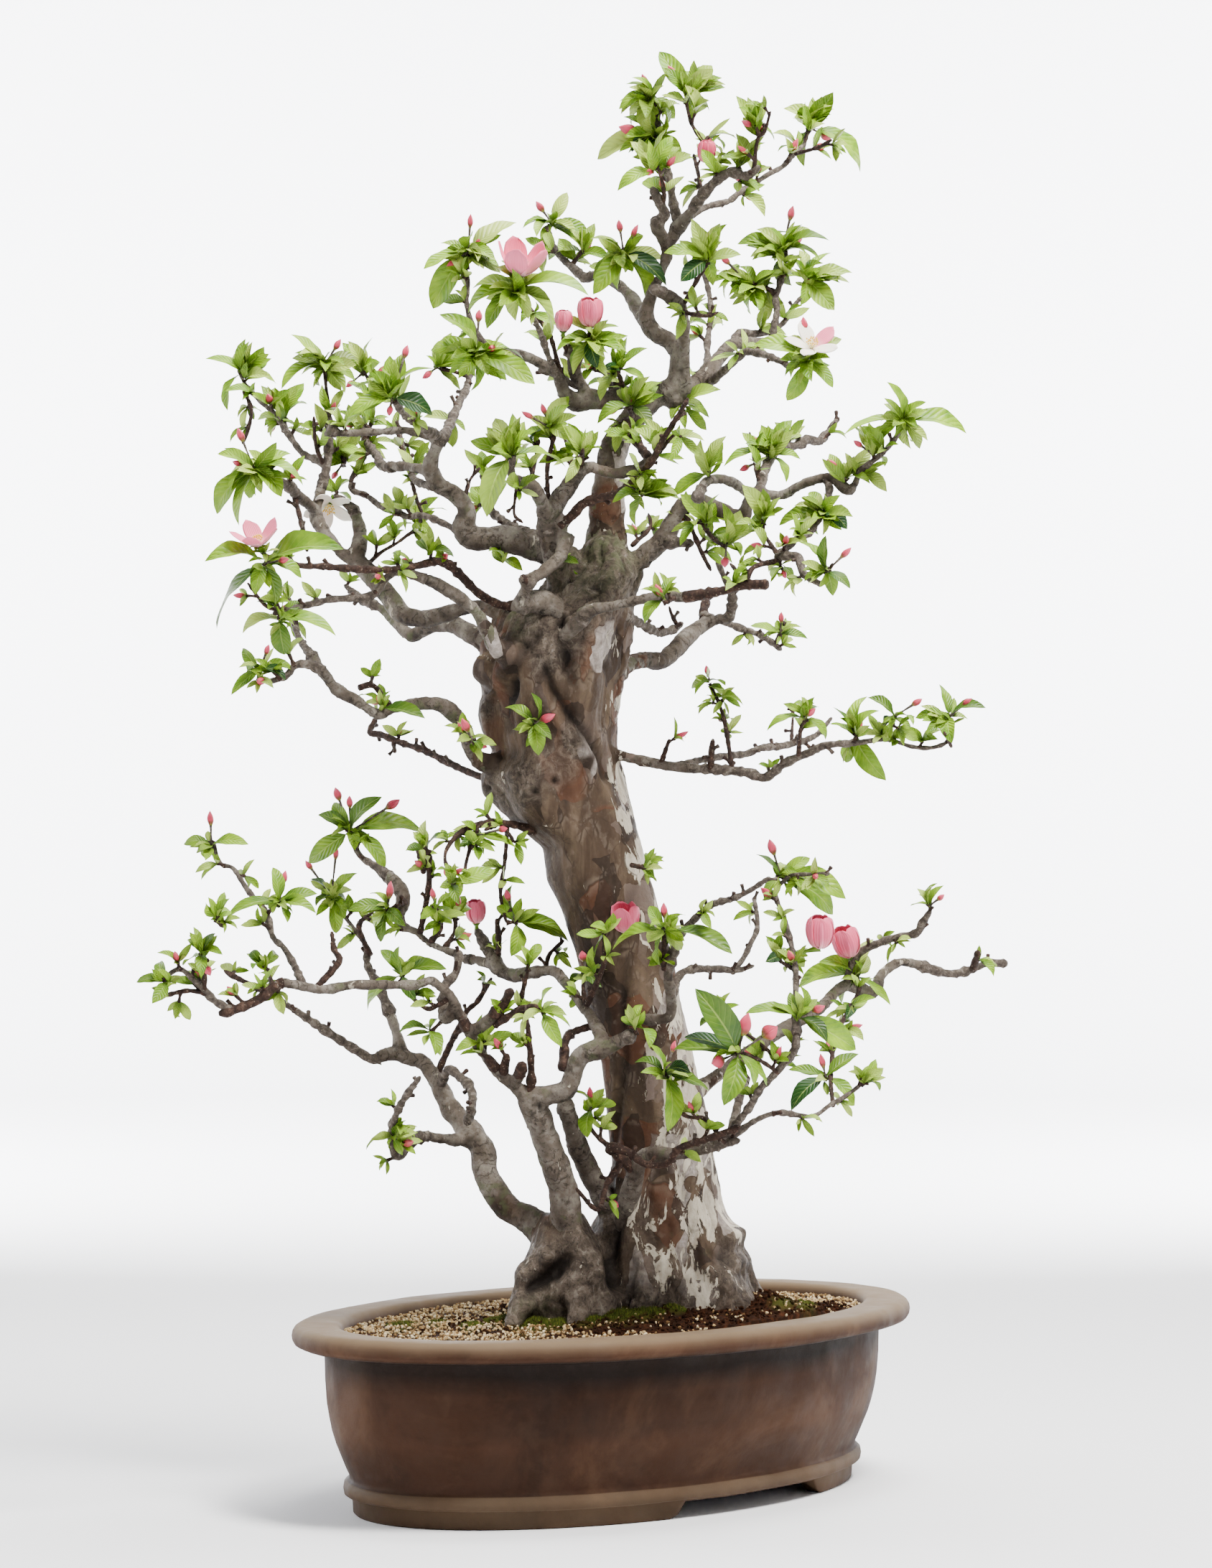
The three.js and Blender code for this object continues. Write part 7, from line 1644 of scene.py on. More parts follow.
def inside_trunk(column: float, row: float, depth_mm: float) -> bool:
    """Whether a place lies under the bark of the trunk or of its foot."""
    spans = [trunk_span(rows, column, row) for rows in (TRUNK_ROWS, FOOT_ROWS)]
    return any(span is not None and span[0] + 3 < depth_mm < span[1] - 3 for span in spans)


@dataclass(frozen=True)
class Mark:
    """A dent or a swelling in the trunk's face.

    Attributes:
        column: Place across the front.
        row: Place down the front.
        size: Its radius, in columns.
        height_mm: How far it stands out, or goes in if negative.
    """

    column: float
    row: float
    size: float
    height_mm: float


@dataclass(frozen=True)
class Tint:
    """A patch of the bark that differs: how warm and how pale it is, from 0 to 1, and how strongly."""

    column: float
    row: float
    size: float
    warm: float
    pale: float
    share: float = 0.9


def groove(places: list[tuple[float, float]], size: float, height_mm: float) -> list[Mark]:
    """Marks set close together along a line of places, for a fold or a furrow.

    Args:
        places: Columns and rows along the line.
        size: The radius of each mark, in columns.
        height_mm: How far it stands out, or goes in if negative.

    Returns:
        The marks.
    """
    marks = []
    for start, end in zip(places, places[1:]):
        count = max(1, int(math.dist(start, end) / (size * 0.5)))
        for i in range(count):
            share = i / count
            marks.append(Mark(mix(start[0], end[0], share), mix(start[1], end[1], share), size, height_mm))
    return marks


# Folds and furrows along lines of places, then single lumps, holes and hollows.
TRUNK_MARKS = [
    *groove([(738, 1794), (752, 1784), (768, 1774), (782, 1760), (792, 1744)], 13, -5.5),
    *groove([(756, 925), (768, 958), (788, 988), (820, 1026), (840, 1060), (846, 1088)], 8, -2.8),
    *groove([(752, 968), (776, 1008), (808, 1038), (824, 1068)], 12, 2.4),
    *groove([(722, 916), (700, 934), (686, 965), (683, 1003), (692, 1040)], 12, 3.2),
    *groove([(716, 950), (706, 985), (712, 1020)], 8, -2.2),
    *groove([(752, 880), (730, 905), (716, 935), (712, 975)], 9, -2.2),
    *groove([(772, 850), (786, 890), (792, 930), (800, 960)], 9, -2.4),
    *groove([(880, 1330), (866, 1400), (872, 1470), (862, 1540), (850, 1620), (846, 1690)], 8, -2.0),
    *groove([(905, 1640), (898, 1700), (915, 1760), (905, 1800)], 9, -1.2),
    *groove([(948, 1600), (955, 1680), (968, 1740), (975, 1790)], 9, -1.0),
    *groove([(985, 1660), (1000, 1720), (1018, 1770)], 9, -1.2),
    *groove([(860, 1700), (852, 1750), (858, 1800)], 10, -3.4),
    Mark(805, 1772, 22, 6), Mark(800, 1772, 9, -3), Mark(740, 1816, 18, 6), Mark(772, 1812, 15, 5),
    Mark(724, 1772, 16, 5), Mark(1022, 1722, 16, 12), Mark(1030, 1758, 14, 7), Mark(893, 1752, 16, 6),
    Mark(1006, 1752, 12, -4), Mark(1010, 1790, 14, 6), Mark(985, 1770, 15, 5), Mark(940, 1775, 15, 4),
    Mark(744, 1102, 14, 5), Mark(744, 1102, 6, -9), Mark(772, 1088, 15, 6), Mark(772, 1088, 7, -9),
    Mark(722, 1078, 12, 4), Mark(722, 1078, 5, -7), Mark(682, 1098, 14, 5), Mark(682, 1098, 6, -8),
    Mark(790, 1105, 15, -4), Mark(715, 1050, 14, -4), Mark(757, 1040, 13, -4), Mark(730, 1128, 12, 4),
    Mark(700, 860, 22, 4), Mark(720, 905, 20, 3), Mark(690, 990, 24, 4), Mark(815, 870, 16, 4),
    Mark(790, 1440, 10, 2), Mark(815, 1590, 10, 4), Mark(797, 1575, 12, 4),
]

# Where the trunk's skin is grey wood, where it is smooth and brown, and where it is pale.
TRUNK_TINTS = [
    Tint(845, 760, 46, 0.05, 0.12), Tint(800, 800, 38, 0.1, 0.3), Tint(725, 862, 30, 0.1, 0.15),
    Tint(760, 900, 34, 0.1, 0.45), Tint(800, 880, 30, 0.2, 0.5), Tint(690, 895, 28, 0.9, 0.5),
    Tint(675, 930, 20, 0.95, 0.5), Tint(700, 960, 34, 0.8, 0.44), Tint(712, 1020, 40, 0.75, 0.44),
    Tint(730, 1090, 36, 0.15, 0.44), Tint(690, 1110, 30, 0.2, 0.44), Tint(780, 1060, 36, 0.35, 0.44),
    Tint(856, 905, 24, 0.9, 0.8), Tint(846, 1000, 22, 0.95, 0.45), Tint(862, 1090, 28, 0.95, 1.0),
    Tint(800, 1030, 20, 0.25, 0.62), Tint(684, 985, 18, 0.15, 0.58), Tint(835, 1110, 20, 0.95, 0.46),
    Tint(792, 1082, 18, 0.3, 0.44),
    Tint(820, 1140, 42, 0.95, 0.44), Tint(888, 1196, 32, 0.95, 1.0), Tint(800, 1200, 40, 0.9, 0.43),
    Tint(850, 1300, 42, 0.9, 0.46), Tint(908, 1280, 32, 0.95, 1.0), Tint(830, 1450, 40, 0.9, 0.44),
    Tint(870, 1540, 40, 0.9, 0.45), Tint(876, 1140, 26, 0.95, 1.0), Tint(866, 980, 20, 0.95, 0.95),
    Tint(925, 1400, 34, 0.9, 0.85), Tint(955, 1500, 48, 0.5, 1.0), Tint(970, 1600, 66, 0.45, 1.0),
    Tint(985, 1690, 66, 0.55, 0.95), Tint(930, 1740, 64, 0.55, 0.95), Tint(960, 1790, 44, 0.4, 0.85),
    Tint(925, 1635, 24, 0.9, 0.35), Tint(1005, 1765, 26, 0.3, 0.5), Tint(870, 1760, 30, 0.55, 0.5),
    Tint(935, 1720, 15, 0.95, 0.3), Tint(965, 1650, 12, 0.95, 0.35), Tint(985, 1745, 16, 0.9, 0.3),
    Tint(750, 1700, 40, 0.7, 0.5), Tint(720, 1760, 40, 0.15, 0.6), Tint(790, 1780, 40, 0.1, 0.45),
    Tint(800, 1590, 26, 0.2, 0.4), Tint(745, 1840, 40, 0.1, 0.25), Tint(900, 1850, 36, 0.1, 0.3),
]


# How craggy the trunk's bark is and how warm its skin is, at rows down its front.
CRAGS = ([740, 790, 880, 960, 1080, 1200, 1500, 1640, 1740, 1850],
         [1.0, 1.0, 0.8, 0.3, 0.35, 0.08, 0.12, 0.2, 0.34, 0.5])
WARMTH = ([700, 740, 800, 900, 1100, 1560, 1680, 1800], [0.95, 0.3, 0.3, 0.6, 0.75, 0.7, 0.35, 0.25])


@dataclass
class Trunk:
    """The trunk with its foot, roots, burrs and the shoulders of its limbs, in one skin."""

    skeleton: Skeleton
    sides: int = 72
    skin: float = 0.0021
    smoothing: int = 5
    shoulder: float = 0.05
    bearing_radius: float = 0.0055
    ring_rows: int = 4
    rows_to_turn: float = 210.0
    furrows: int = 7
    furrow_rise: float = 26.0
    furrow_depth: float = 2.8
    mark_share: float = 0.65
    plain_pale: float = 0.44

    def outline_rings(self, rows: list[Row]) -> Array:
        """Rings round the trunk or its foot, from the lowest up.

        Args:
            rows: The outline's table.

        Returns:
            The rings, each with a point for each side.
        """
        table = np.array(rows[::-1], float)
        knots = np.column_stack([table[:, 0], table[:, 1:3], table[:, 3:]])
        count = int((knots[0, 0] - knots[-1, 0]) / self.ring_rows)
        levels = np.linspace(knots[0, 0], knots[-1, 0], count)
        order = np.argsort(knots[:, 0])
        angles = turns(self.sides)
        rings = []
        for row in levels:
            left, right, depth, half, folds = (np.interp(row, knots[order, 0], knots[order, i])
                                               for i in range(1, 6))
            turn = row / self.rows_to_turn
            fold = np.cos(3 * angles + turn) + 0.6 * np.cos(5 * angles - 1.7 * turn)
            across = np.cos(angles) * (1 + folds * fold)
            deep = np.sin(angles) * (1 + folds * fold)
            middle = SIGHT.place((left + right) / 2, row, depth)
            width = SIGHT.size(right - left, depth)
            across = ((across - across.min()) / (across.max() - across.min()) - 0.5) * width
            ring = np.column_stack([across, deep * half * MM, np.zeros(self.sides)])
            rings.append(ring + middle)
        return np.array(rings)

    def relief(self, points: Array, normals: Array) -> tuple[Array, Array]:
        """How far the bark stands out at each point, and how much painted shade it takes there.

        Args:
            points: Points of the smooth skin.
            normals: Their normals.

        Returns:
            How far the bark stands out, in metres, and how much painted shade each point takes, from 0 to 1.
        """
        seen = SIGHT.columns_rows(points)
        table = np.array(TRUNK_ROWS, float)
        middle = np.interp(seen[:, 1], table[:, 0], (table[:, 1] + table[:, 2]) / 2)
        depth = np.interp(seen[:, 1], table[:, 0], table[:, 3]) * MM + SHIFT[1]
        scale = (SIGHT.distance + points[:, 1] - SHIFT[1]) / SIGHT.focal
        angle = np.arctan2(points[:, 1] - depth, (seen[:, 0] - middle) * scale)
        warp = field_noise(points, 0.032, 1.7)
        fine_warp = field_noise(points, 0.012, 5.1)
        height = points[:, 2]
        phase = self.furrows * angle + self.furrow_rise * height + 2.4 * warp + 0.8 * fine_warp
        furrow = np.clip(1 - np.abs(np.sin(phase)) * 2.6, 0, 1) ** 1.3
        craggy = np.interp(seen[:, 1], *CRAGS)
        lumps = field_noise(points, 0.02, 7.3)
        tall = points * np.array([1.0, 1.0, 0.32])
        ridges = 1 - 2.4 * np.abs(field_noise(tall + warp[:, None] * 0.003, 0.0085, 2.2))
        crumbs = field_noise(points, 0.0045, 9.1)
        plates = np.sign(field_noise(points * np.array([1, 1, 0.6]), 0.018, 4.9) - 0.1) * (1 - craggy)
        cut = furrow * self.furrow_depth * craggy
        raised = (lumps * (0.5 + 1.2 * craggy) - cut + ridges * (0.08 + 1.5 * craggy)) * MM
        raised += (crumbs * (0.12 + 0.4 * craggy) + plates * 0.12) * MM
        # Painted shade: darker in the furrows and between the ridges where the bark is craggy, and on the
        # undersides.
        painted_shade = furrow * craggy * 0.6 + np.clip(-ridges, 0, 1) * craggy * 0.45
        painted_shade += np.clip(-normals[:, 2] - 0.1, 0, 1) * 0.4
        front = normals[:, 1] < 0.25
        for mark in TRUNK_MARKS:
            reach = np.hypot(seen[:, 0] - mark.column, seen[:, 1] - mark.row) / mark.size
            swell = np.exp(-reach ** 2 * 1.3) * front
            raised += swell * mark.height_mm * MM * self.mark_share
            # Dents also take painted shade, the deeper the darker.
            painted_shade += swell * max(0.0, -mark.height_mm) * 0.09
        return raised, np.clip(painted_shade, 0, 1)

    def shade(self, points: Array, painted_shade: Array) -> Array:
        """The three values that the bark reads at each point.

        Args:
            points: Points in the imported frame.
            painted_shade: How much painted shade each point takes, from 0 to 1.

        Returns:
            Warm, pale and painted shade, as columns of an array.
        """
        seen = SIGHT.columns_rows(points)
        warm = np.interp(seen[:, 1], *WARMTH)
        warm += field_noise(points, 0.03, 4.4) * 0.12
        pale = np.full(len(points), self.plain_pale)
        for tint in TRUNK_TINTS:
            reach = np.hypot(seen[:, 0] - tint.column, (seen[:, 1] - tint.row) * 0.8) / tint.size
            share = np.exp(-reach ** 2) * tint.share
            warm += (tint.warm - warm) * share
            pale += (tint.pale - pale) * share
        return np.clip(np.column_stack([warm, pale, painted_shade]), 0, 1)

    def build(self, bark: bpy.types.Material) -> bpy.types.Object:
        """Makes the trunk.

        Args:
            bark: Its finish.

        Returns:
            The trunk's piece.
        """
        make = Maker()
        for rows in (TRUNK_ROWS, FOOT_ROWS):
            make.add_rings(self.outline_rings(rows))
        for column, row, depth, radius in BURRS:
            self.add_burr(make, SIGHT.place(column, row, depth), radius * MM)
        for stem in self.skeleton.stems:
            thick = stem.samples[0, 3] > self.bearing_radius
            if stem.name in ROOTS:
                make.add_rings(stem.rings(20))
            elif thick and inside_trunk(*LIMBS[stem.name][2][0][:2], LIMBS[stem.name][0]):
                last = int(self.shoulder / self.skeleton.step)
                part = Stem(stem.name, stem.samples[:last].copy())
                part.samples[:, 3] *= np.linspace(1.22, 0.86, len(part.samples))
                make.add_rings(part.rings(18))
        trunk = make.build("trunk", [bark])
        fused(trunk, self.skin, self.smoothing)
        worked(trunk, self)
        keep(trunk, "bark", "tree_wood")
        return trunk

    def add_burr(self, make: Maker, middle: Array, radius: float) -> None:
        """Adds a round burr to what the skin is drawn over.

        Args:
            make: The piece's maker.
            middle: Its middle.
            radius: Its radius.
        """
        rings = []
        for tilt in np.linspace(0.12, math.pi - 0.12, 9):
            angles = turns(16)
            ring = np.column_stack([np.cos(angles) * math.sin(tilt), np.sin(angles) * math.sin(tilt),
                                    np.full(16, -math.cos(tilt))])
            rings.append(middle + ring * radius)
        make.add_rings(np.array(rings))


def fused(piece: bpy.types.Object, voxel: float, rounds: int) -> None:
    """Draws one even skin over overlapping forms and smooths it.

    Args:
        piece: The piece that holds the forms.
        voxel: How fine the skin is, in metres.
        rounds: How many rounds of smoothing it gets.
    """
    remesh = piece.modifiers.new("skin", "REMESH")
    remesh.mode = "VOXEL"
    remesh.voxel_size = voxel
    remesh.use_smooth_shade = True
    smooth = piece.modifiers.new("smooth", "SMOOTH")
    smooth.factor = 0.5
    smooth.iterations = rounds
    applied(piece)
    piece.data.polygons.foreach_set("use_smooth", [True] * len(piece.data.polygons))


def worked(piece: bpy.types.Object, bark: "Trunk | Limbs") -> Array:
    """Raises a fused skin into bark and gives it its shades.

    Args:
        piece: The piece with the skin.
        bark: The trunk or the limbs, which say how the bark stands out and how it is shaded.

    Returns:
        The points of the skin before it was raised.
    """
    points, normals = mesh_points(piece.data)
    raised, painted_shade = bark.relief(points, normals)
    piece.data.vertices.foreach_set("co", (points + normals * raised[:, None]).ravel())
    give_values(piece.data, "shade", bark.shade(points, painted_shade))
    piece.data.update()
    return points


BROWN_STEMS = {"left_front", "right_front", "fork_brown", "fork_snag", "front_twig", "right_low_twig",
               "left_low_twig", "low_front_left", "left_lowest", "left_spur", "right_low_stub"}

# Where the thick limbs are browner: column, row and size of each place, and how warm it is.
WARM_LIMBS = [(850, 720, 60, 0.9), (868, 610, 40, 0.75), (700, 1680, 40, 0.62), (740, 1500, 50, 0.3)]


@dataclass
class Limbs:
    """The thick limbs, under one fused skin, and the thin ones as smooth stems."""

    skeleton: Skeleton
    skin: float = 0.002
    smoothing: int = 4
    thick: float = 0.0036
    overlap: int = 4
    thick_sides: int = 14
    thin_sides: int = 7

    def relief(self, points: Array, normals: Array) -> tuple[Array, Array]:
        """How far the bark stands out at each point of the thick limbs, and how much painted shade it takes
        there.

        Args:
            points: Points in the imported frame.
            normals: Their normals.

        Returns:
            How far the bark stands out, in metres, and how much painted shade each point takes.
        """
        knuckles = field_noise(points, 0.013, 6.2)
        wrinkles = 1 - 2 * np.abs(field_noise(points, 0.0055, 8.8))
        raised = (knuckles * 0.75 + wrinkles * 0.6) * MM
        # Painted shade on the undersides of the limbs, and between their knuckles and wrinkles.
        under = np.clip(-normals[:, 2], 0, 1) * 0.55
        return raised, np.clip(-knuckles * 0.55 - wrinkles * 0.4, 0, 0.7) + under

    def build(self, bark: bpy.types.Material, twig: bpy.types.Material) -> None:
        """Makes the limbs.

        Args:
            bark: The finish of the thick ones.
            twig: The finish of the thin ones.
        """
        body, thin = Maker(), Maker()
        for stem in self.skeleton.stems:
            if stem.name in ROOTS:
                continue
            broad = stem.samples[:, 3] > self.thick
            last = int(np.flatnonzero(broad)[-1]) + 1 if broad.any() else 0
            if last > 4:
                part = Stem(stem.name, stem.samples[:last].copy())
                body.add_rings(part.rings(self.thick_sides))
            first = max(0, last - self.overlap)
            if first < len(stem.samples) - 2:
                self.add_thin(thin, stem, first)
        limbs = body.build("limbs", [bark])
        fused(limbs, self.skin, self.smoothing)
        along = self.skeleton.lengths_along(worked(limbs, self))
        give_values(limbs.data, "blade", np.column_stack([along, np.ones(len(along)), along * 0]))
        keep(limbs, "bark")
        keep(thin.build("twigs", [twig]), "bark")

    def add_thin(self, make: Maker, stem: Stem, first: int) -> None:
        """Adds the thin stretch of a stem, with a blunt end and ringed knuckles.

        Args:
            make: The piece's maker.
            stem: The stem.
            first: Where the thin stretch begins.
        """
        samples = stem.samples[first:].copy()
        ringed = np.abs(field_noise(samples[:, :3], 0.0065, 2.9))
        samples[:, 3] *= 0.96 + ringed * 0.75
        samples[-1, 3] *= 0.55
        brown = 0.8 if stem.name in BROWN_STEMS or stem.name.startswith("twig") else 0.25
        tip = np.linspace(0, 1, len(samples)) ** 4
        rings = tube_rings(samples[:, :3], samples[:, 3], self.thin_sides)
        shade = np.column_stack([np.full(len(samples), brown), tip * 0.5, np.zeros(len(samples))])
        make.add_rings(rings, shade=np.repeat(shade, self.thin_sides, 0))

    def shade(self, points: Array, painted_shade: Array) -> Array:
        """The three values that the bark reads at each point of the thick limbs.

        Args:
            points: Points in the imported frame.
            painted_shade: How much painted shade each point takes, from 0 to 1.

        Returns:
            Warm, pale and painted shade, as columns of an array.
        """
        seen = SIGHT.columns_rows(points)
        warm = np.full(len(points), 0.12)
        for column, row, size, value in WARM_LIMBS:
            reach = np.hypot(seen[:, 0] - column, seen[:, 1] - row) / size
            warm += (value - warm) * np.exp(-reach ** 2)
        pale = 0.5 - 0.3 * (field_noise(points, 0.04, 8.1) > 0.25) * (field_noise(points, 0.01, 1.1) > 0)
        return np.clip(np.column_stack([warm, pale, painted_shade]), 0, 1)


@dataclass
class Seat:
    """Where leaves grow: a point inside the wood and one just outside it."""

    inside: Array
    outside: Array

    @property
    def depth_mm(self) -> float:
        """Depth of the outer point behind the sight line's plane, in millimetres."""
        return float((self.outside[1] - SHIFT[1]) / MM)


def lean_of(heart: Row, tips: list[Row]) -> Array:
    """The way a spray leans, from its heart to the tips of its leaves.

    Args:
        heart: Column and row of the heart.
        tips: Columns and rows of the tips.

    Returns:
        The way, at length one.
    """
    total = np.zeros(3)
    for column, row, *_ in tips:
        total += unit(np.array([column - heart[0], 0.0, heart[1] - row]))
    return unit(total) if np.linalg.norm(total) > 0.3 else UP.copy()


# How near to its place a spray's stem has to be seen, in columns, and how far behind the trunk's face it
# may run; then how far a seat on the trunk's face reaches in and out. All but the first in millimetres.
STEM_NEAR, STEM_BEHIND, SEAT_IN, SEAT_OUT = 12, 5, 8, 4


def seat_at(skeleton: Skeleton, column: float, row: float, leaning: Array) -> Seat:
    """Finds the wood that a spray grows from.

    Args:
        skeleton: The tree's stems.
        column: Place of the spray's heart across the front.
        row: Its place down the front.
        leaning: The way that the spray leans.

    Returns:
        The seat, on the nearest stem or on the trunk's face.
    """
    foothold = skeleton.nearest(column, row)
    span = trunk_span(TRUNK_ROWS, column, row)
    if span is not None and (foothold.away > STEM_NEAR or foothold.depth_mm > span[0] + STEM_BEHIND):
        return Seat(SIGHT.place(column, row, span[0] + SEAT_IN), SIGHT.place(column, row, span[0] - SEAT_OUT))
    outside = SIGHT.place(column, row, foothold.depth_mm)
    clear = foothold.radius + 0.002
    if np.linalg.norm(outside - foothold.point) < clear:
        outside = foothold.point + unit(leaning + FRONT * 0.6) * clear
    return Seat(foothold.point, outside)


@dataclass(frozen=True)
class Bend:
    """How one blade is bent, all as shares of its length or width, and angles in radians."""

    arch: float
    fold: float
    twist: float = 0.0
    wave: float = 0.1
    phase: float = 0.0


@dataclass(frozen=True)
class Blade:
    """A leaf blade with a stalk, between two points, as one thin sheet."""

    root: Array
    tip: Array
    width: float
    facing: Array
    bend: Bend
    stations: int
    stalk: float
    strips: int = 6

    def add_to(self, make: Maker, material: int, shade: tuple) -> None:
        """Adds the blade to a piece.

        Args:
            make: The piece's maker.
            material: Which finish it takes.
            shade: The values its finish reads.
        """
        along = self.tip - self.root
        length = float(np.linalg.norm(along))
        along = along / length
        side = unit(np.cross(along, self.facing))
        upper = np.cross(side, along)
        place = np.linspace(0, 1, self.stations)
        blade = np.clip((place - self.stalk) / (1 - self.stalk), 0, 1)
        half = self.width / 2 * 2.5 * blade ** 0.6 * (1 - blade) ** 0.78 * (1 + 0.1 * blade)
        half = np.maximum(half, np.where(place < 0.5, 0.0006, 0.0002))
        turn = self.bend.twist * (place - 0.3)
        sides = np.outer(np.cos(turn), side) + np.outer(np.sin(turn), upper)
        uppers = np.outer(np.cos(turn), upper) - np.outer(np.sin(turn), side)
        lift = self.bend.arch * length * 4 * place * (1 - place)
        middle = self.root + np.outer(place * length, along) + np.outer(lift, upper)
        across = np.linspace(-1, 1, self.strips + 1)
        wave = np.sin(14 * place[:, None] + self.bend.phase + 1.4 * np.sign(across)[None, :])
        waved = across[None, :] ** 2 * wave * self.bend.wave
        height = np.abs(across)[None, :] ** 1.2 * self.bend.fold + waved
        height = height * half[:, None]
        flat = sides[:, None, :] * (across[None, :, None] * half[:, None, None])
        top = middle[:, None, :] + flat + uppers[:, None, :] * height[:, :, None]
        make.add_sheet(top, material, shade, grid_values(across / 2 + 0.5, blade))


def add_bud(make: Maker, root: Array, tip: Array, radius: float, material: int, green: float) -> None:
    """Adds a bud with folded petals, swollen past its middle.

    Args:
        make: The piece's maker.
        root: Where it leaves its stem.
        tip: Its tip.
        radius: Its greatest radius.
        material: Which finish it takes.
        green: How green it is all over, from 0 to 1.
    """
    rows, sides = 9, 8
    place = np.linspace(0, 1, rows)
    radii = radius * 3.3 * np.clip(place, 0.02, 0.985) ** 0.75 * (1 - np.clip(place, 0.02, 0.985)) ** 0.95
    radii = np.maximum(radii, np.where(place < 0.3, 0.0009, 0.0001))
    rings = tube_rings(root + np.outer(place, tip - root), radii, sides)
    middle = rings.mean(axis=1, keepdims=True)
    angles = turns(sides)
    lobes = 1 + 0.1 * np.sin(3 * angles[None, :] + 4 * place[:, None]) * place[:, None]
    rings = middle + (rings - middle) * lobes[:, :, None]
    values = grid_values(angles / (2 * np.pi), place)
    make.add_rings(rings, True, material, (0.5, 0.5, green), values)


def add_stem(make: Maker, start: Array, end: Array, radii: tuple[float, float], material: int,
             brown: float = 0.8) -> None:
    """Adds a short stem between two points, a little swollen at its ends.

    Args:
        make: The piece's maker.
        start: Where it begins.
        end: Where it ends.
        radii: Its radius at each end.
        material: Which finish it takes.
        brown: How brown it is, from 0 to 1.
    """
    place = np.linspace(0, 1, 5)
    swell = 1 + 0.3 * np.cos(2 * np.pi * place)
    thickness = (radii[0] + (radii[1] - radii[0]) * place) * swell
    rings = tube_rings(start + np.outer(place, end - start), thickness, 6)
    make.add_rings(rings, True, material, (brown, 0.0, 0.0))


# Where the darkest leaves, the bluish sprays and the palest leaves are seen.
DARK_TIPS = [
    (880, 212), (922, 232), (1103, 398), (948, 392), (928, 398), (680, 365), (697, 380), (832, 512),
    (500, 502), (602, 578), (905, 600), (740, 618), (398, 948), (1180, 737), (1236, 1022), (432, 1225),
    (1152, 1452), (953, 1445), (962, 1495), (885, 1438), (1102, 1547), (1066, 1340), (1178, 1420),
]
BLUE_HEARTS = [(396, 912), (527, 1302), (1160, 1274), (920, 1345)]
PALE_TIPS = [
    (832, 222), (1045, 358), (1070, 445), (790, 268), (925, 362), (720, 310), (512, 657), (338, 882),
    (862, 540), (1208, 1330), (1216, 1308), (322, 658),
]

# The turn from one leaf to the next round a stem, in radians.
SPIRAL = 2.4


def near(places: list[tuple[int, int]], column: float, row: float, reach: float = 9) -> bool:
    """Whether any of the places lies this near."""
    return any(math.dist(place, (column, row)) < reach for place in places)


@dataclass(frozen=True)
class Vigour:
    """How strongly the tree shoots at a height.

    Attributes:
        spray_shoots: How many small leaves stand round a spray's heart.
        tuft_shoots: How many stand round a small tuft's heart.
        longest: Their greatest length, in metres.
        longest_spur_leaf: The greatest length of a leaf on a short shoot.
        leafy_share: How many of the short shoots away from the sprays have leaves.
        darkest: The greatest darkness of a leaf, from 0 to 1.
        palest: The greatest paleness of a leaf, from 0 to 1.
    """

    spray_shoots: int
    tuft_shoots: int
    longest: float
    longest_spur_leaf: float
    leafy_share: float
    darkest: float
    palest: float


CROWN = Vigour(spray_shoots=26, tuft_shoots=10, longest=0.029, longest_spur_leaf=0.024, leafy_share=0.4,
               darkest=0.6, palest=0.66)
LOWER = Vigour(spray_shoots=10, tuft_shoots=6, longest=0.02, longest_spur_leaf=0.018, leafy_share=0.16,
               darkest=0.8, palest=0.45)


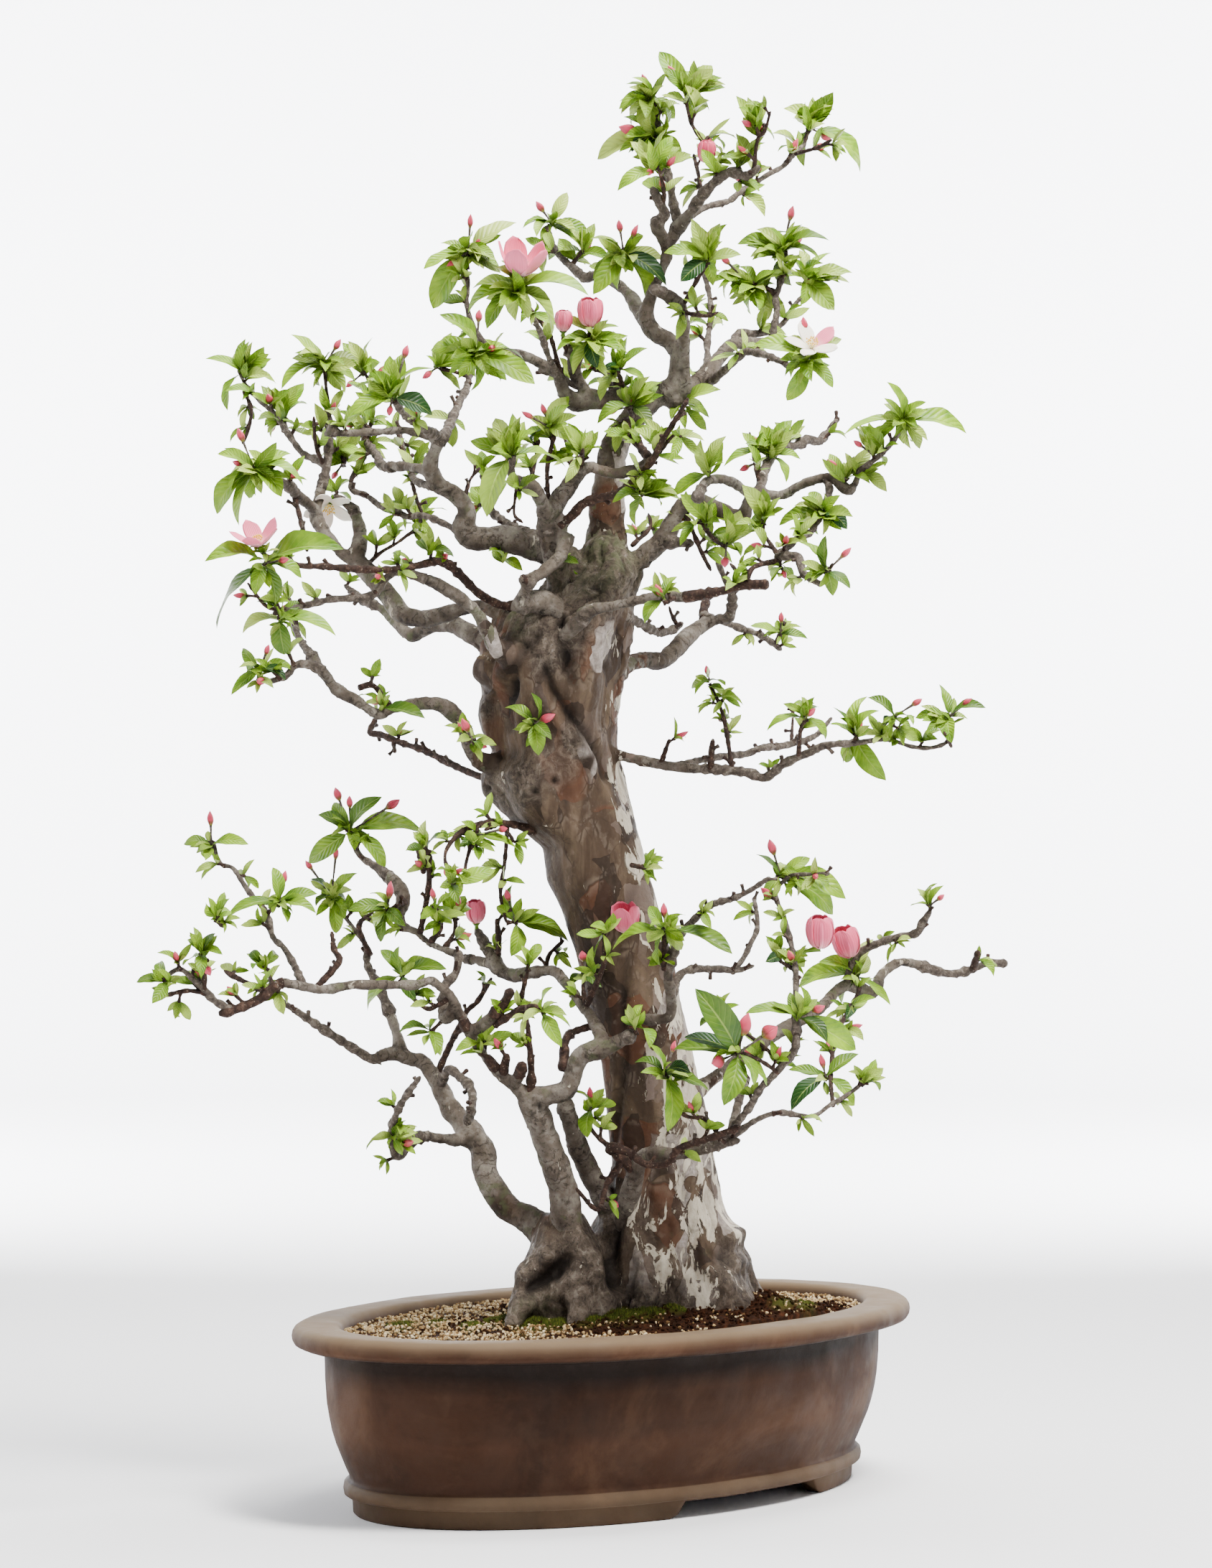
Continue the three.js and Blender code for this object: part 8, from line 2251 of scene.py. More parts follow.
@dataclass
class Foliage:
    """The leaves, buds and young shoots on the twigs."""

    skeleton: Skeleton
    finishes: list[bpy.types.Material]
    chance: random.Random
    leaf: int = 0
    bud: int = 1
    stem: int = 2
    thin: float = 0.0034
    crown_height: float = 0.70
    least_leaf_mm: float = 24.0
    near_spray: float = 0.045
    leafy_near_spray: float = 0.78
    budding: float = 0.2
    spray_stem: tuple[float, float] = (0.0022, 0.0016)
    bud_stem: tuple[float, float] = (0.0011, 0.0009)
    apart: tuple[float, float] = (0.009, 0.024)

    def vigour(self, height: float) -> Vigour:
        """How strongly the tree shoots at a height."""
        return CROWN if height > self.crown_height else LOWER

    def build(self) -> None:
        """Makes a piece for each spray, one for all the tufts and one for the short shoots."""
        for index, (name, entry) in enumerate(SPRAYS.items()):
            make = Maker()
            self.add_spray(make, entry, 7 * index, False)
            keep(make.build(name.replace("spray", "leaves"), self.finishes), "leaf", name)
        make = Maker()
        for index, entry in enumerate(TUFTS):
            self.add_spray(make, entry, 11 * index, True)
        keep(make.build("young_tufts", self.finishes), "leaf")
        self.build_short_shoots()

    def add_spray(self, make: Maker, entry: Row, key: int, young: bool) -> None:
        """Adds the leaves, buds and stem of one spray.

        Args:
            make: The piece's maker.
            entry: The spray's row of its table.
            key: A number that decides which way its leaves lean in depth.
            young: Whether it is a small tuft.
        """
        heart, leaves, buds = entry
        leaning = lean_of(heart, leaves or buds)
        seat = seat_at(self.skeleton, heart[0], heart[1], leaning)
        add_stem(make, seat.inside, seat.outside + leaning * 0.002, self.spray_stem, self.stem)
        blue = 0.9 if near(BLUE_HEARTS, *heart) else 0.0
        for number, (column, row, width) in enumerate(leaves):
            self.add_leaf(make, seat, heart, (column, row, width), key + number, young, blue)
        for number, (column, row, width, height) in enumerate(buds):
            self.add_bud_at(make, seat, (column, row, width, height), key + number)
        self.add_shoots(make, seat, leaning, key, young)

    def add_leaf(self, make: Maker, seat: Seat, heart: Row, leaf: tuple, key: int, young: bool,
                 blue: float) -> None:
        """Adds one leaf whose tip is seen at a column and row.

        Args:
            make: The piece's maker.
            seat: Where it grows from.
            heart: Column and row of the spray's heart.
            leaf: Column and row of the leaf's tip, and its width in columns.
            key: A number that decides which way it leans.
            young: Whether the spray is a small tuft.
            blue: How bluish it is, or 0 for a random share.
        """
        column, row, width = leaf
        seen = SIGHT.size(math.hypot(column - heart[0], row - heart[1]), seat.depth_mm) / MM
        short = math.sqrt(max(0.0, self.least_leaf_mm ** 2 - seen ** 2))
        hidden = max(0.3 * seen, 0.85 * short)
        tip = SIGHT.place(column, row, seat.depth_mm + (hidden if key % 2 else -hidden))
        facing = FRONT * self.chance.uniform(0.35, 0.9) + UP * 0.75 + RIGHT * 0.6 * math.sin(2.3 * key + 0.4)
        facing = facing + np.array([self.chance.uniform(-0.25, 0.25) for _ in range(3)])
        bend = Bend(arch=self.chance.uniform(0.07, 0.22), fold=self.chance.uniform(0.15, 0.6),
                    twist=self.chance.uniform(-0.7, 0.7), wave=self.chance.uniform(0.03, 0.12),
                    phase=self.chance.uniform(0, 6.28))
        vigour = self.vigour(seat.outside[2])
        dark = 0.95 if near(DARK_TIPS, column, row) else self.chance.uniform(0.0, vigour.darkest)
        pale = 0.95 if near(PALE_TIPS, column, row) else self.chance.uniform(0.0, vigour.palest)
        length = float(np.linalg.norm(tip - seat.outside))
        breadth = min(max(SIGHT.size(width, seat.depth_mm) * 1.15, 0.37 * length), 0.52 * length)
        blade = Blade(seat.outside, tip, breadth, facing, bend, 9 if young else 12, 0.1, 4)
        blade.add_to(make, self.leaf, (dark, blue or self.chance.uniform(0, 0.35), pale))

    def add_bud_at(self, make: Maker, seat: Seat, bud: tuple, key: int) -> None:
        """Adds one bud whose middle is seen at a column and row.

        Args:
            make: The piece's maker.
            seat: Where it grows from.
            bud: Column, row, width and height of the bud.
            key: A number that decides which way it leans.
        """
        column, row, width, height = bud
        depth = seat.depth_mm + (3 if key % 2 else -3)
        middle = SIGHT.place(column, row, depth)
        along = unit(middle - seat.outside)
        half = SIGHT.size(height, depth) / 2
        root = middle - along * half
        if np.dot(root - seat.outside, along) > 0.001:
            add_stem(make, seat.outside, root + along * 0.001, self.bud_stem, self.stem, 0.3)
        add_bud(make, root, middle + along * half, SIGHT.size(width, depth) / 2, self.bud,
                self.chance.uniform(0.0, 0.5))

    def add_shoots(self, make: Maker, seat: Seat, leaning: Array, key: int, young: bool) -> None:
        """Adds the small young leaves that stand round a heart.

        Args:
            make: The piece's maker.
            seat: Where it grows from.
            leaning: The way the spray leans.
            key: A number that turns the leaves round the heart.
            young: Whether the spray is a small tuft.
        """
        vigour = self.vigour(seat.outside[2])
        for number in range(vigour.tuft_shoots if young else vigour.spray_shoots):
            angle = SPIRAL * number + key
            way = unit(leaning * self.chance.uniform(0.2, 1.8) + RIGHT * math.cos(angle)
                       + FRONT * math.sin(angle) * 0.9 + UP * self.chance.uniform(0.0, 1.3))
            start = seat.outside + leaning * self.chance.uniform(-0.003, 0.005)
            self.add_small_leaf(make, start, way, self.chance.uniform(0.009, vigour.longest), angle)

    def add_small_leaf(self, make: Maker, start: Array, way: Array, length: float, angle: float) -> None:
        """Adds one small leaf.

        Args:
            make: The piece's maker.
            start: Where it leaves its stem.
            way: The way it points.
            length: Its length.
            angle: Its turn round the stem, which also sets how its edge waves.
        """
        bend = Bend(arch=self.chance.uniform(-0.04, 0.2), fold=self.chance.uniform(0.2, 0.9),
                    twist=self.chance.uniform(-0.5, 0.5), wave=0.06, phase=angle)
        facing = UP * 0.7 + FRONT * self.chance.uniform(0.3, 1.2) + RIGHT * self.chance.uniform(-0.6, 0.6)
        breadth = length * self.chance.uniform(0.3, 0.48)
        blade = Blade(start, start + way * length, breadth, facing, bend, 6, 0.06, 4)
        dark = self.chance.uniform(0.0, 0.5)
        blade.add_to(make, self.leaf, (dark, self.chance.uniform(0, 0.3), self.chance.uniform(0.2, 0.95)))

    def hearts(self) -> Array:
        """The points that the sprays and tufts grow from.

        Returns:
            A point for each spray and tuft.
        """
        found = []
        for heart, leaves, buds in [*SPRAYS.values(), *TUFTS]:
            found.append(seat_at(self.skeleton, heart[0], heart[1], lean_of(heart, leaves or buds)).outside)
        return np.array(found)

    def build_short_shoots(self) -> None:
        """Makes the short shoots along the thin wood: knobby spurs, and leaves and buds on many of them."""
        leafy, woody = Maker(), Maker()
        hearts = self.hearts()
        for stem in self.skeleton.stems:
            if stem.name in ROOTS:
                continue
            points = stem.samples[:, :3]
            along = np.concatenate([[0], np.cumsum(np.linalg.norm(np.diff(points, axis=0), axis=1))])
            first = 0.004 if stem.name.startswith("twig") else 0.3 * along[-1]
            place = first + self.chance.uniform(0, 0.01)
            while place < along[-1] - 0.002:
                index = min(int(np.searchsorted(along, place)), len(points) - 2)
                near_heart = np.min(np.linalg.norm(hearts - points[index], axis=1))
                if stem.samples[index, 3] < self.thin:
                    direction = unit(points[index + 1] - points[index])
                    self.add_short_shoot(leafy, woody, stem.samples[index], direction, near_heart)
                place += self.chance.uniform(*self.apart)
        keep(leafy.build("short_shoots", self.finishes), "leaf")
        keep(woody.build("spurs", [self.finishes[self.stem]]), "bark")

    def add_short_shoot(self, leafy: Maker, woody: Maker, sample: Array, direction: Array,
                        near_heart: float) -> None:
        """Adds one short shoot.

        Args:
            leafy: Takes its leaves and buds.
            woody: Takes its spur.
            sample: The stem's middle there and its radius.
            direction: The way the stem runs there.
            near_heart: How far the nearest spray's heart is.
        """
        loose = np.array([self.chance.uniform(-1, 1) for _ in range(3)])
        across = unit(loose - direction * np.dot(loose, direction) + UP * 0.35)
        way = unit(across + direction * self.chance.uniform(0.1, 0.7))
        length = self.chance.uniform(0.002, 0.0075)
        foot, tip = sample[:3], sample[:3] + way * (sample[3] + length)
        add_stem(woody, foot, tip, (min(0.0024, sample[3] * 1.1), 0.0013), 0, self.chance.uniform(0.45, 1.0))
        vigour = self.vigour(foot[2])
        leafy_share = self.leafy_near_spray if near_heart < self.near_spray else vigour.leafy_share
        if self.chance.random() > leafy_share:
            return
        for number in range(self.chance.randint(4, 6)):
            angle = SPIRAL * number + self.chance.uniform(0, 1)
            side = unit(np.cross(way, UP + RIGHT * 0.1))
            other = np.cross(way, side)
            lean = way * self.chance.uniform(0.4, 1.2) + side * math.cos(angle) + other * math.sin(angle)
            length = self.chance.uniform(0.008, vigour.longest_spur_leaf)
            self.add_small_leaf(leafy, tip - way * 0.001, unit(lean), length, angle)
        if self.chance.random() < self.budding:
            end = tip + way * self.chance.uniform(0.007, 0.012)
            radius = self.chance.uniform(0.0018, 0.003)
            add_bud(leafy, tip, end, radius, self.bud, self.chance.uniform(0, 0.6))


@dataclass
class Blooms:
    """The flowers, most of them pink cups and two of them wide open and pale."""

    skeleton: Skeleton
    finishes: dict[BloomColour, list[bpy.types.Material]]
    chance: random.Random
    petals: int = 5
    petal: int = 0
    odd_petal: int = 1
    green: int = 2
    gold: int = 3
    pink_petal: tuple[int, int] = (1175, 485)
    first_turn: float = 0.35
    stamens: int = 22
    thickness: float = 0.0004
    petal_steps: int = 15
    petal_columns: int = 9
    wide_open: float = 0.9
    foot: tuple[float, float] = (0.0016, 0.0026)

    def build(self) -> None:
        """Makes a piece for each flower."""
        for name, (base, middle, width, opened, shade) in BLOOMS.items():
            make = Maker()
            self.add_flower(make, base, middle, width, opened, name == "bloom_right_pale")
            bloom = BloomColour.PINK if shade == "pink" else BloomColour.WHITE
            piece = make.build(name.replace("bloom", "flower"), self.finishes[bloom])
            keep(piece, f"petal_{bloom.value}", name)

    def add_flower(self, make: Maker, base: Row, middle: Row, width: float, opened: float, odd: bool) -> None:
        """Adds one flower.

        Args:
            make: The piece's maker.
            base: Column and row of its foot.
            middle: Column and row of its middle.
            width: Its width, in columns.
            opened: How far it has opened, from 0 to 1.
            odd: Whether one of its petals is pink.
        """
        seat = seat_at(self.skeleton, base[0], base[1], lean_of(base, [middle]))
        depth = seat.depth_mm
        axis = unit(SIGHT.place(middle[0], middle[1], depth) - SIGHT.place(base[0], base[1], depth))
        turned = 0.75 if opened > self.wide_open else 0.3
        axis = unit(axis + FRONT * (0.2 + turned * opened))
        radius = SIGHT.size(width, depth) / 2
        root = seat.outside + axis * 0.001
        add_stem(make, seat.inside, root, self.foot, self.green, 0.2)
        first = unit(np.cross(axis, RIGHT))
        second = np.cross(axis, first)
        outwards = []
        for number in range(self.petals):
            angle = 2 * math.pi * number / self.petals + self.first_turn
            outwards.append(first * math.cos(angle) + second * math.sin(angle))
        pink = -1
        if odd:
            seen = SIGHT.columns_rows(root + np.array(outwards) * radius)
            pink = int(np.argmin(np.hypot(seen[:, 0] - self.pink_petal[0], seen[:, 1] - self.pink_petal[1])))
        for number, outward in enumerate(outwards):
            self.add_petal(make, root, axis, outward, radius, opened, number,
                           self.odd_petal if number == pink else self.petal)
            self.add_sepal(make, root, axis, outward, radius)
        if opened > 0.2:
            self.add_stamens(make, root, axis, first, second, radius, opened)

    def midline(self, radius: float, opened: float) -> tuple[Array, Array]:
        """How far out and how far up a petal's middle runs, in steps along it.

        Args:
            radius: The flower's radius.
            opened: How far it has opened, from 0 to 1.

        Returns:
            The distances out and up, in metres.
        """
        place = np.linspace(0, 1, self.petal_steps)
        start = mix(1.35, 0.95, opened)
        end = mix(-0.85, 1.5, opened ** 1.7)
        lean = start + (end - start) * place ** mix(0.75, 1.0, opened)
        out = np.concatenate([[0], np.cumsum(np.sin(lean[:-1]))])
        up = np.concatenate([[0], np.cumsum(np.cos(lean[:-1]))])
        scale = radius / out.max()
        return out * scale, up * scale

    def add_petal(self, make: Maker, root: Array, axis: Array, outward: Array, radius: float, opened: float,
                  number: int, material: int) -> None:
        """Adds one cupped petal.

        Args:
            make: The piece's maker.
            root: The flower's foot.
            axis: The way the flower faces.
            outward: The way out from the flower's middle.
            radius: The flower's radius.
            opened: How far it has opened, from 0 to 1.
            number: Which of the petals it is.
            material: Which finish it takes.
        """
        out, up = self.midline(radius, opened)
        place = np.linspace(0, 1, len(out))
        length = float(np.sum(np.hypot(np.diff(out), np.diff(up))))
        broad = length * mix(0.36, 0.25, opened)
        half = broad * np.sin(np.pi * np.clip(place * 0.84 + 0.07, 0, 1) ** 1.25) ** 0.62
        half *= np.sqrt(np.clip((1.03 - place) / 0.16, 0.02, 1))
        tangent = np.cross(axis, outward)
        curve = mix(1.0, 3.2, opened) * radius
        across = np.linspace(-1, 1, self.petal_columns)
        angle = across[None, :] * half[:, None] / curve
        ripple = np.sin(across[None, :] * 7 + number * 1.7) * 0.025 * radius * place[:, None] ** 3
        over = across[None, :] * 0.09 * radius * place[:, None] + ripple
        away = out[:, None] + curve * (np.cos(angle) - 1) + over * mix(1.0, 0.2, opened)
        sideways = curve * np.sin(angle)
        rise = up[:, None] + over * mix(0.1, 0.6, opened)
        top = root + away[:, :, None] * outward + sideways[:, :, None] * tangent + rise[:, :, None] * axis
        normal = unit(np.cross(np.gradient(top, axis=1), np.gradient(top, axis=0)))
        under = top + normal * self.thickness
        rings = np.concatenate([top, under[:, ::-1]], axis=1)
        values = grid_values(np.concatenate([across, across[::-1]]) / 2 + 0.5, place)
        deep = mix(self.chance.uniform(0.55, 1.0), self.chance.uniform(0.0, 0.6), opened)
        make.add_rings(rings, True, material, (deep, 0.0, 0.0), values)

    def add_sepal(self, make: Maker, root: Array, axis: Array, outward: Array, radius: float) -> None:
        """Adds one green sepal below the petals.

        Args:
            make: The piece's maker.
            root: The flower's foot.
            axis: The way the flower faces.
            outward: The way out from the flower's middle.
            radius: The flower's radius.
        """
        start = root - axis * 0.0012
        tip = start + outward * radius * 0.42 + axis * 0.001
        blade = Blade(start, tip, radius * 0.26, axis, Bend(0.1, 0.3), 7, 0.0)
        blade.add_to(make, self.green, (0.3, 0.0, 0.4))

    def add_stamens(self, make: Maker, root: Array, axis: Array, first: Array, second: Array, radius: float,
                    opened: float) -> None:
        """Adds a tuft of stamens round the middle.

        Args:
            make: The piece's maker.
            root: The flower's foot.
            axis: The way the flower faces.
            first: A way across the flower.
            second: The way square to it.
            radius: The flower's radius.
            opened: How far it has opened, from 0 to 1.
        """
        for number in range(self.stamens):
            angle = SPIRAL * number
            lean = 0.12 + 0.55 * math.sqrt(number / self.stamens) * mix(0.5, 1.0, opened)
            outward = first * math.cos(angle) + second * math.sin(angle)
            way = unit(axis + outward * lean)
            tip = root + way * radius * self.chance.uniform(0.34, 0.46)
            rings = tube_rings(np.array([root, (root + tip) / 2 + outward * 0.0004, tip]),
                               np.array([0.0002, 0.0002, 0.00016]), 4)
            make.add_rings(rings, True, self.gold, (0.1, 0.0, 0.0))
            anther = np.array([tip - way * 0.0005, tip, tip + way * 0.0006, tip + way * 0.0011])
            make.add_rings(tube_rings(anther, np.array([0.0002, 0.0006, 0.0006, 0.0002]), 5), True, self.gold,
                           (0.5, 0.0, 0.0))


@dataclass(frozen=True)
class Pollen:
    """The yellow of stamens, paler on their stalks."""

    def material(self) -> bpy.types.Material:
        """Makes the material.

        Returns:
            The material.
        """
        make = Recipe("stamen_gold")
        tone, _, _ = make.values("shade")
        base = make.ramp(tone, [(0.1, (240, 232, 190)), (0.45, (232, 190, 70))])
        return make.finish(base, 0.6, None, 0.2)


@dataclass(frozen=True)
class Oval:
    """The pot's oval, turned about the vertical."""

    half_length: float = 0.290
    half_width: float = 0.186
    turn: float = math.radians(52)

    def placed(self, along: Array, across: Array) -> tuple[Array, Array]:
        """The x and y of places given along and across the oval.

        Args:
            along: Places along the oval.
            across: Places across it.

        Returns:
            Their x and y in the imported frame.
        """
        x = POT_MIDDLE[0] + along * math.cos(self.turn) - across * math.sin(self.turn) + SHIFT[0]
        y = POT_MIDDLE[1] + along * math.sin(self.turn) + across * math.cos(self.turn) + SHIFT[1]
        return x, y

    def ring(self, inset_mm: float, height_mm: float, sides: int) -> Array:
        """A ring of points inside the rim by an inset, at a height.

        Args:
            inset_mm: How far inside the rim, in millimetres.
            height_mm: The height, in millimetres.
            sides: Points in the ring.

        Returns:
            The ring.
        """
        angles = turns(sides)
        x, y = self.placed((self.half_length - inset_mm * MM) * np.cos(angles),
                           (self.half_width - inset_mm * MM) * np.sin(angles))
        return np.column_stack([x, y, np.full(sides, height_mm * MM)])


OVAL = Oval()

# Side of the pot from its underside round the foot and the lip to the floor inside: inset from the
# rim and height, in millimetres.
POT_PROFILE = [
    [62, 13], [61.2, 1.6], [59.5, 0], [47.5, 0], [46, 1.2], [45.2, 12.4], [44.3, 13.6], [41, 13.8],
    [39.2, 15], [38.5, 18.5], [39.2, 22], [41, 23.7], [43.2, 24.9], [43.3, 27.5], [40.4, 34], [36.6, 43],
    [33, 51.5], [30.2, 60], [27.9, 70], [26.1, 80], [24.9, 96], [24.5, 112], [24.1, 118], [22.6, 120.4],
    [14, 121], [5.6, 121.7], [2.1, 123.3], [0.5, 126], [0, 129], [0.5, 132], [2.2, 134.7], [5, 136.5],
    [9, 137], [29, 137], [33.6, 136.4], [36, 134.4], [37, 130], [38.3, 100], [40, 60], [48, 22],
]

# Heights on the pot in millimetres: the bead's lower and upper edge and the lip's underside, then how much
# painted shadow the wall takes under the lip, and how pale the lip is with wear and a painted highlight,
# at rising heights.
BEAD = (13.4, 24.6)
LIP = 121.5
LIP_SHADOW = ([70, 100, 110, 121.4, 121.8, 124], [0, 0.35, 0.9, 1, 1, 0])
WEAR_AND_HIGHLIGHT = ([LIP, 126, 131, 134.5, 136], [0.0, 0.3, 0.5, 0.85, 1.0])


@dataclass
class Pot:
    """The oval pot, with a bead above its foot, a hollowed side and a rolled lip."""

    sides: int = 208
    opening_half: float = 0.088
    opening_narrowed: float = 0.86
    opening_from: float = 0.55
    opening_depth: float = 0.45
    opening_edge: float = 0.008
    opening_height: float = 0.012
    front_shade_column: float = 860.0
    front_shade_reach: float = 300.0

    def lifted(self, rings: Array) -> Array:
        """Cuts the openings in the foot by lifting its lower edge there.

        Args:
            rings: The pot's rings, in the order of its profile.

        Returns:
            The rings with the openings.
        """
        angles = turns(self.sides)
        for row, (inset, height) in enumerate(POT_PROFILE):
            if height * MM >= self.opening_height:
                continue
            along = (OVAL.half_length - inset * MM) * np.cos(angles)
            across = np.abs((OVAL.half_width - inset * MM) * np.sin(angles)) / OVAL.half_width
            narrowing = (1 - self.opening_narrowed) * (across - self.opening_from) / self.opening_depth
            reach = self.opening_half * (1 - narrowing)
            edge = np.clip((reach - np.abs(along)) / self.opening_edge + 0.5, 0, 1)
            share = edge * (across > self.opening_from)
            low = height * MM
            rings[row, :, 2] = low + share * (self.opening_height - low)
        return rings

    def build(self, clay: bpy.types.Material) -> bpy.types.Object:
        """Makes the pot.

        Args:
            clay: Its finish.

        Returns:
            The pot's piece.
        """
        rings = self.lifted(np.array([OVAL.ring(inset, height, self.sides) for inset, height in POT_PROFILE]))
        make = Maker()
        make.add_rings(rings)
        pot = make.build("clay_pot", [clay])
        points, normals = mesh_points(pot.data)
        uneven = field_noise(points, 0.06, 3.3) * 0.0005 + field_noise(points, 0.014, 8.0) * 0.00014
        dented = points + normals * uneven[:, None] * (points[:, 2:] > 0.001)
        pot.data.vertices.foreach_set("co", dented.ravel())
        give_values(pot.data, "shade", self.shade(points))
        pot.data.update()
        keep(pot, "pot", "pot")
        return pot

    def shade(self, points: Array) -> Array:
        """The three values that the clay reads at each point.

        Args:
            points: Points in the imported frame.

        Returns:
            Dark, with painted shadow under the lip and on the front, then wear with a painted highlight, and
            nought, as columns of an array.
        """
        seen = SIGHT.columns_rows(points)
        height = points[:, 2] / MM
        facing = points[:, 1] < SHIFT[1] + POT_MIDDLE[1]
        # Painted shade: a painted shadow under the lip, deepest on the middle of the front, which is also
        # painted darker from halfway up to the lip; the wall is also darker towards the foot.
        front_shade = np.exp(-((seen[:, 0] - self.front_shade_column) / self.front_shade_reach) ** 2) * facing
        cloudy = 0.9 + 0.25 * field_noise(points, 0.09, 6.0)
        dark = np.clip(np.interp(height, *LIP_SHADOW) * (0.8 + 0.6 * front_shade) * cloudy, 0, 1)
        dark = np.maximum(dark, np.clip((70 - height) / 60, 0, 0.35))
        dark = np.maximum(dark, front_shade * np.clip((height - 45) / 50, 0, 0.5) * (height < LIP))
        # Paler on the rim top, the lip and round the bead and foot: wear, and partly a painted highlight
        # where the lip faces up and the bead stands out.
        rubbed = field_noise(points, 0.03, 2.0) * 0.06
        bead = (height > BEAD[0]) & (height < BEAD[1])
        foot = (height < BEAD[1]) * (0.5 + rubbed) + bead * 0.06
        wear_and_highlight = np.interp(height, *WEAR_AND_HIGHLIGHT) + rubbed * (height > LIP) + foot
        return np.clip(np.column_stack([dark, wear_and_highlight, dark * 0]), 0, 1)


# Where moss grows at the rim: column, row and size of each patch.
MOSS_PATCHES = [(700, 1838, 20), (735, 1843, 26), (775, 1842, 20), (560, 1846, 18), (610, 1842, 14),
                (820, 1838, 18), (865, 1832, 22), (900, 1828, 20), (940, 1822, 14), (1090, 1814, 16),
                (1122, 1818, 14), (655, 1848, 14), (1010, 1808, 12)]


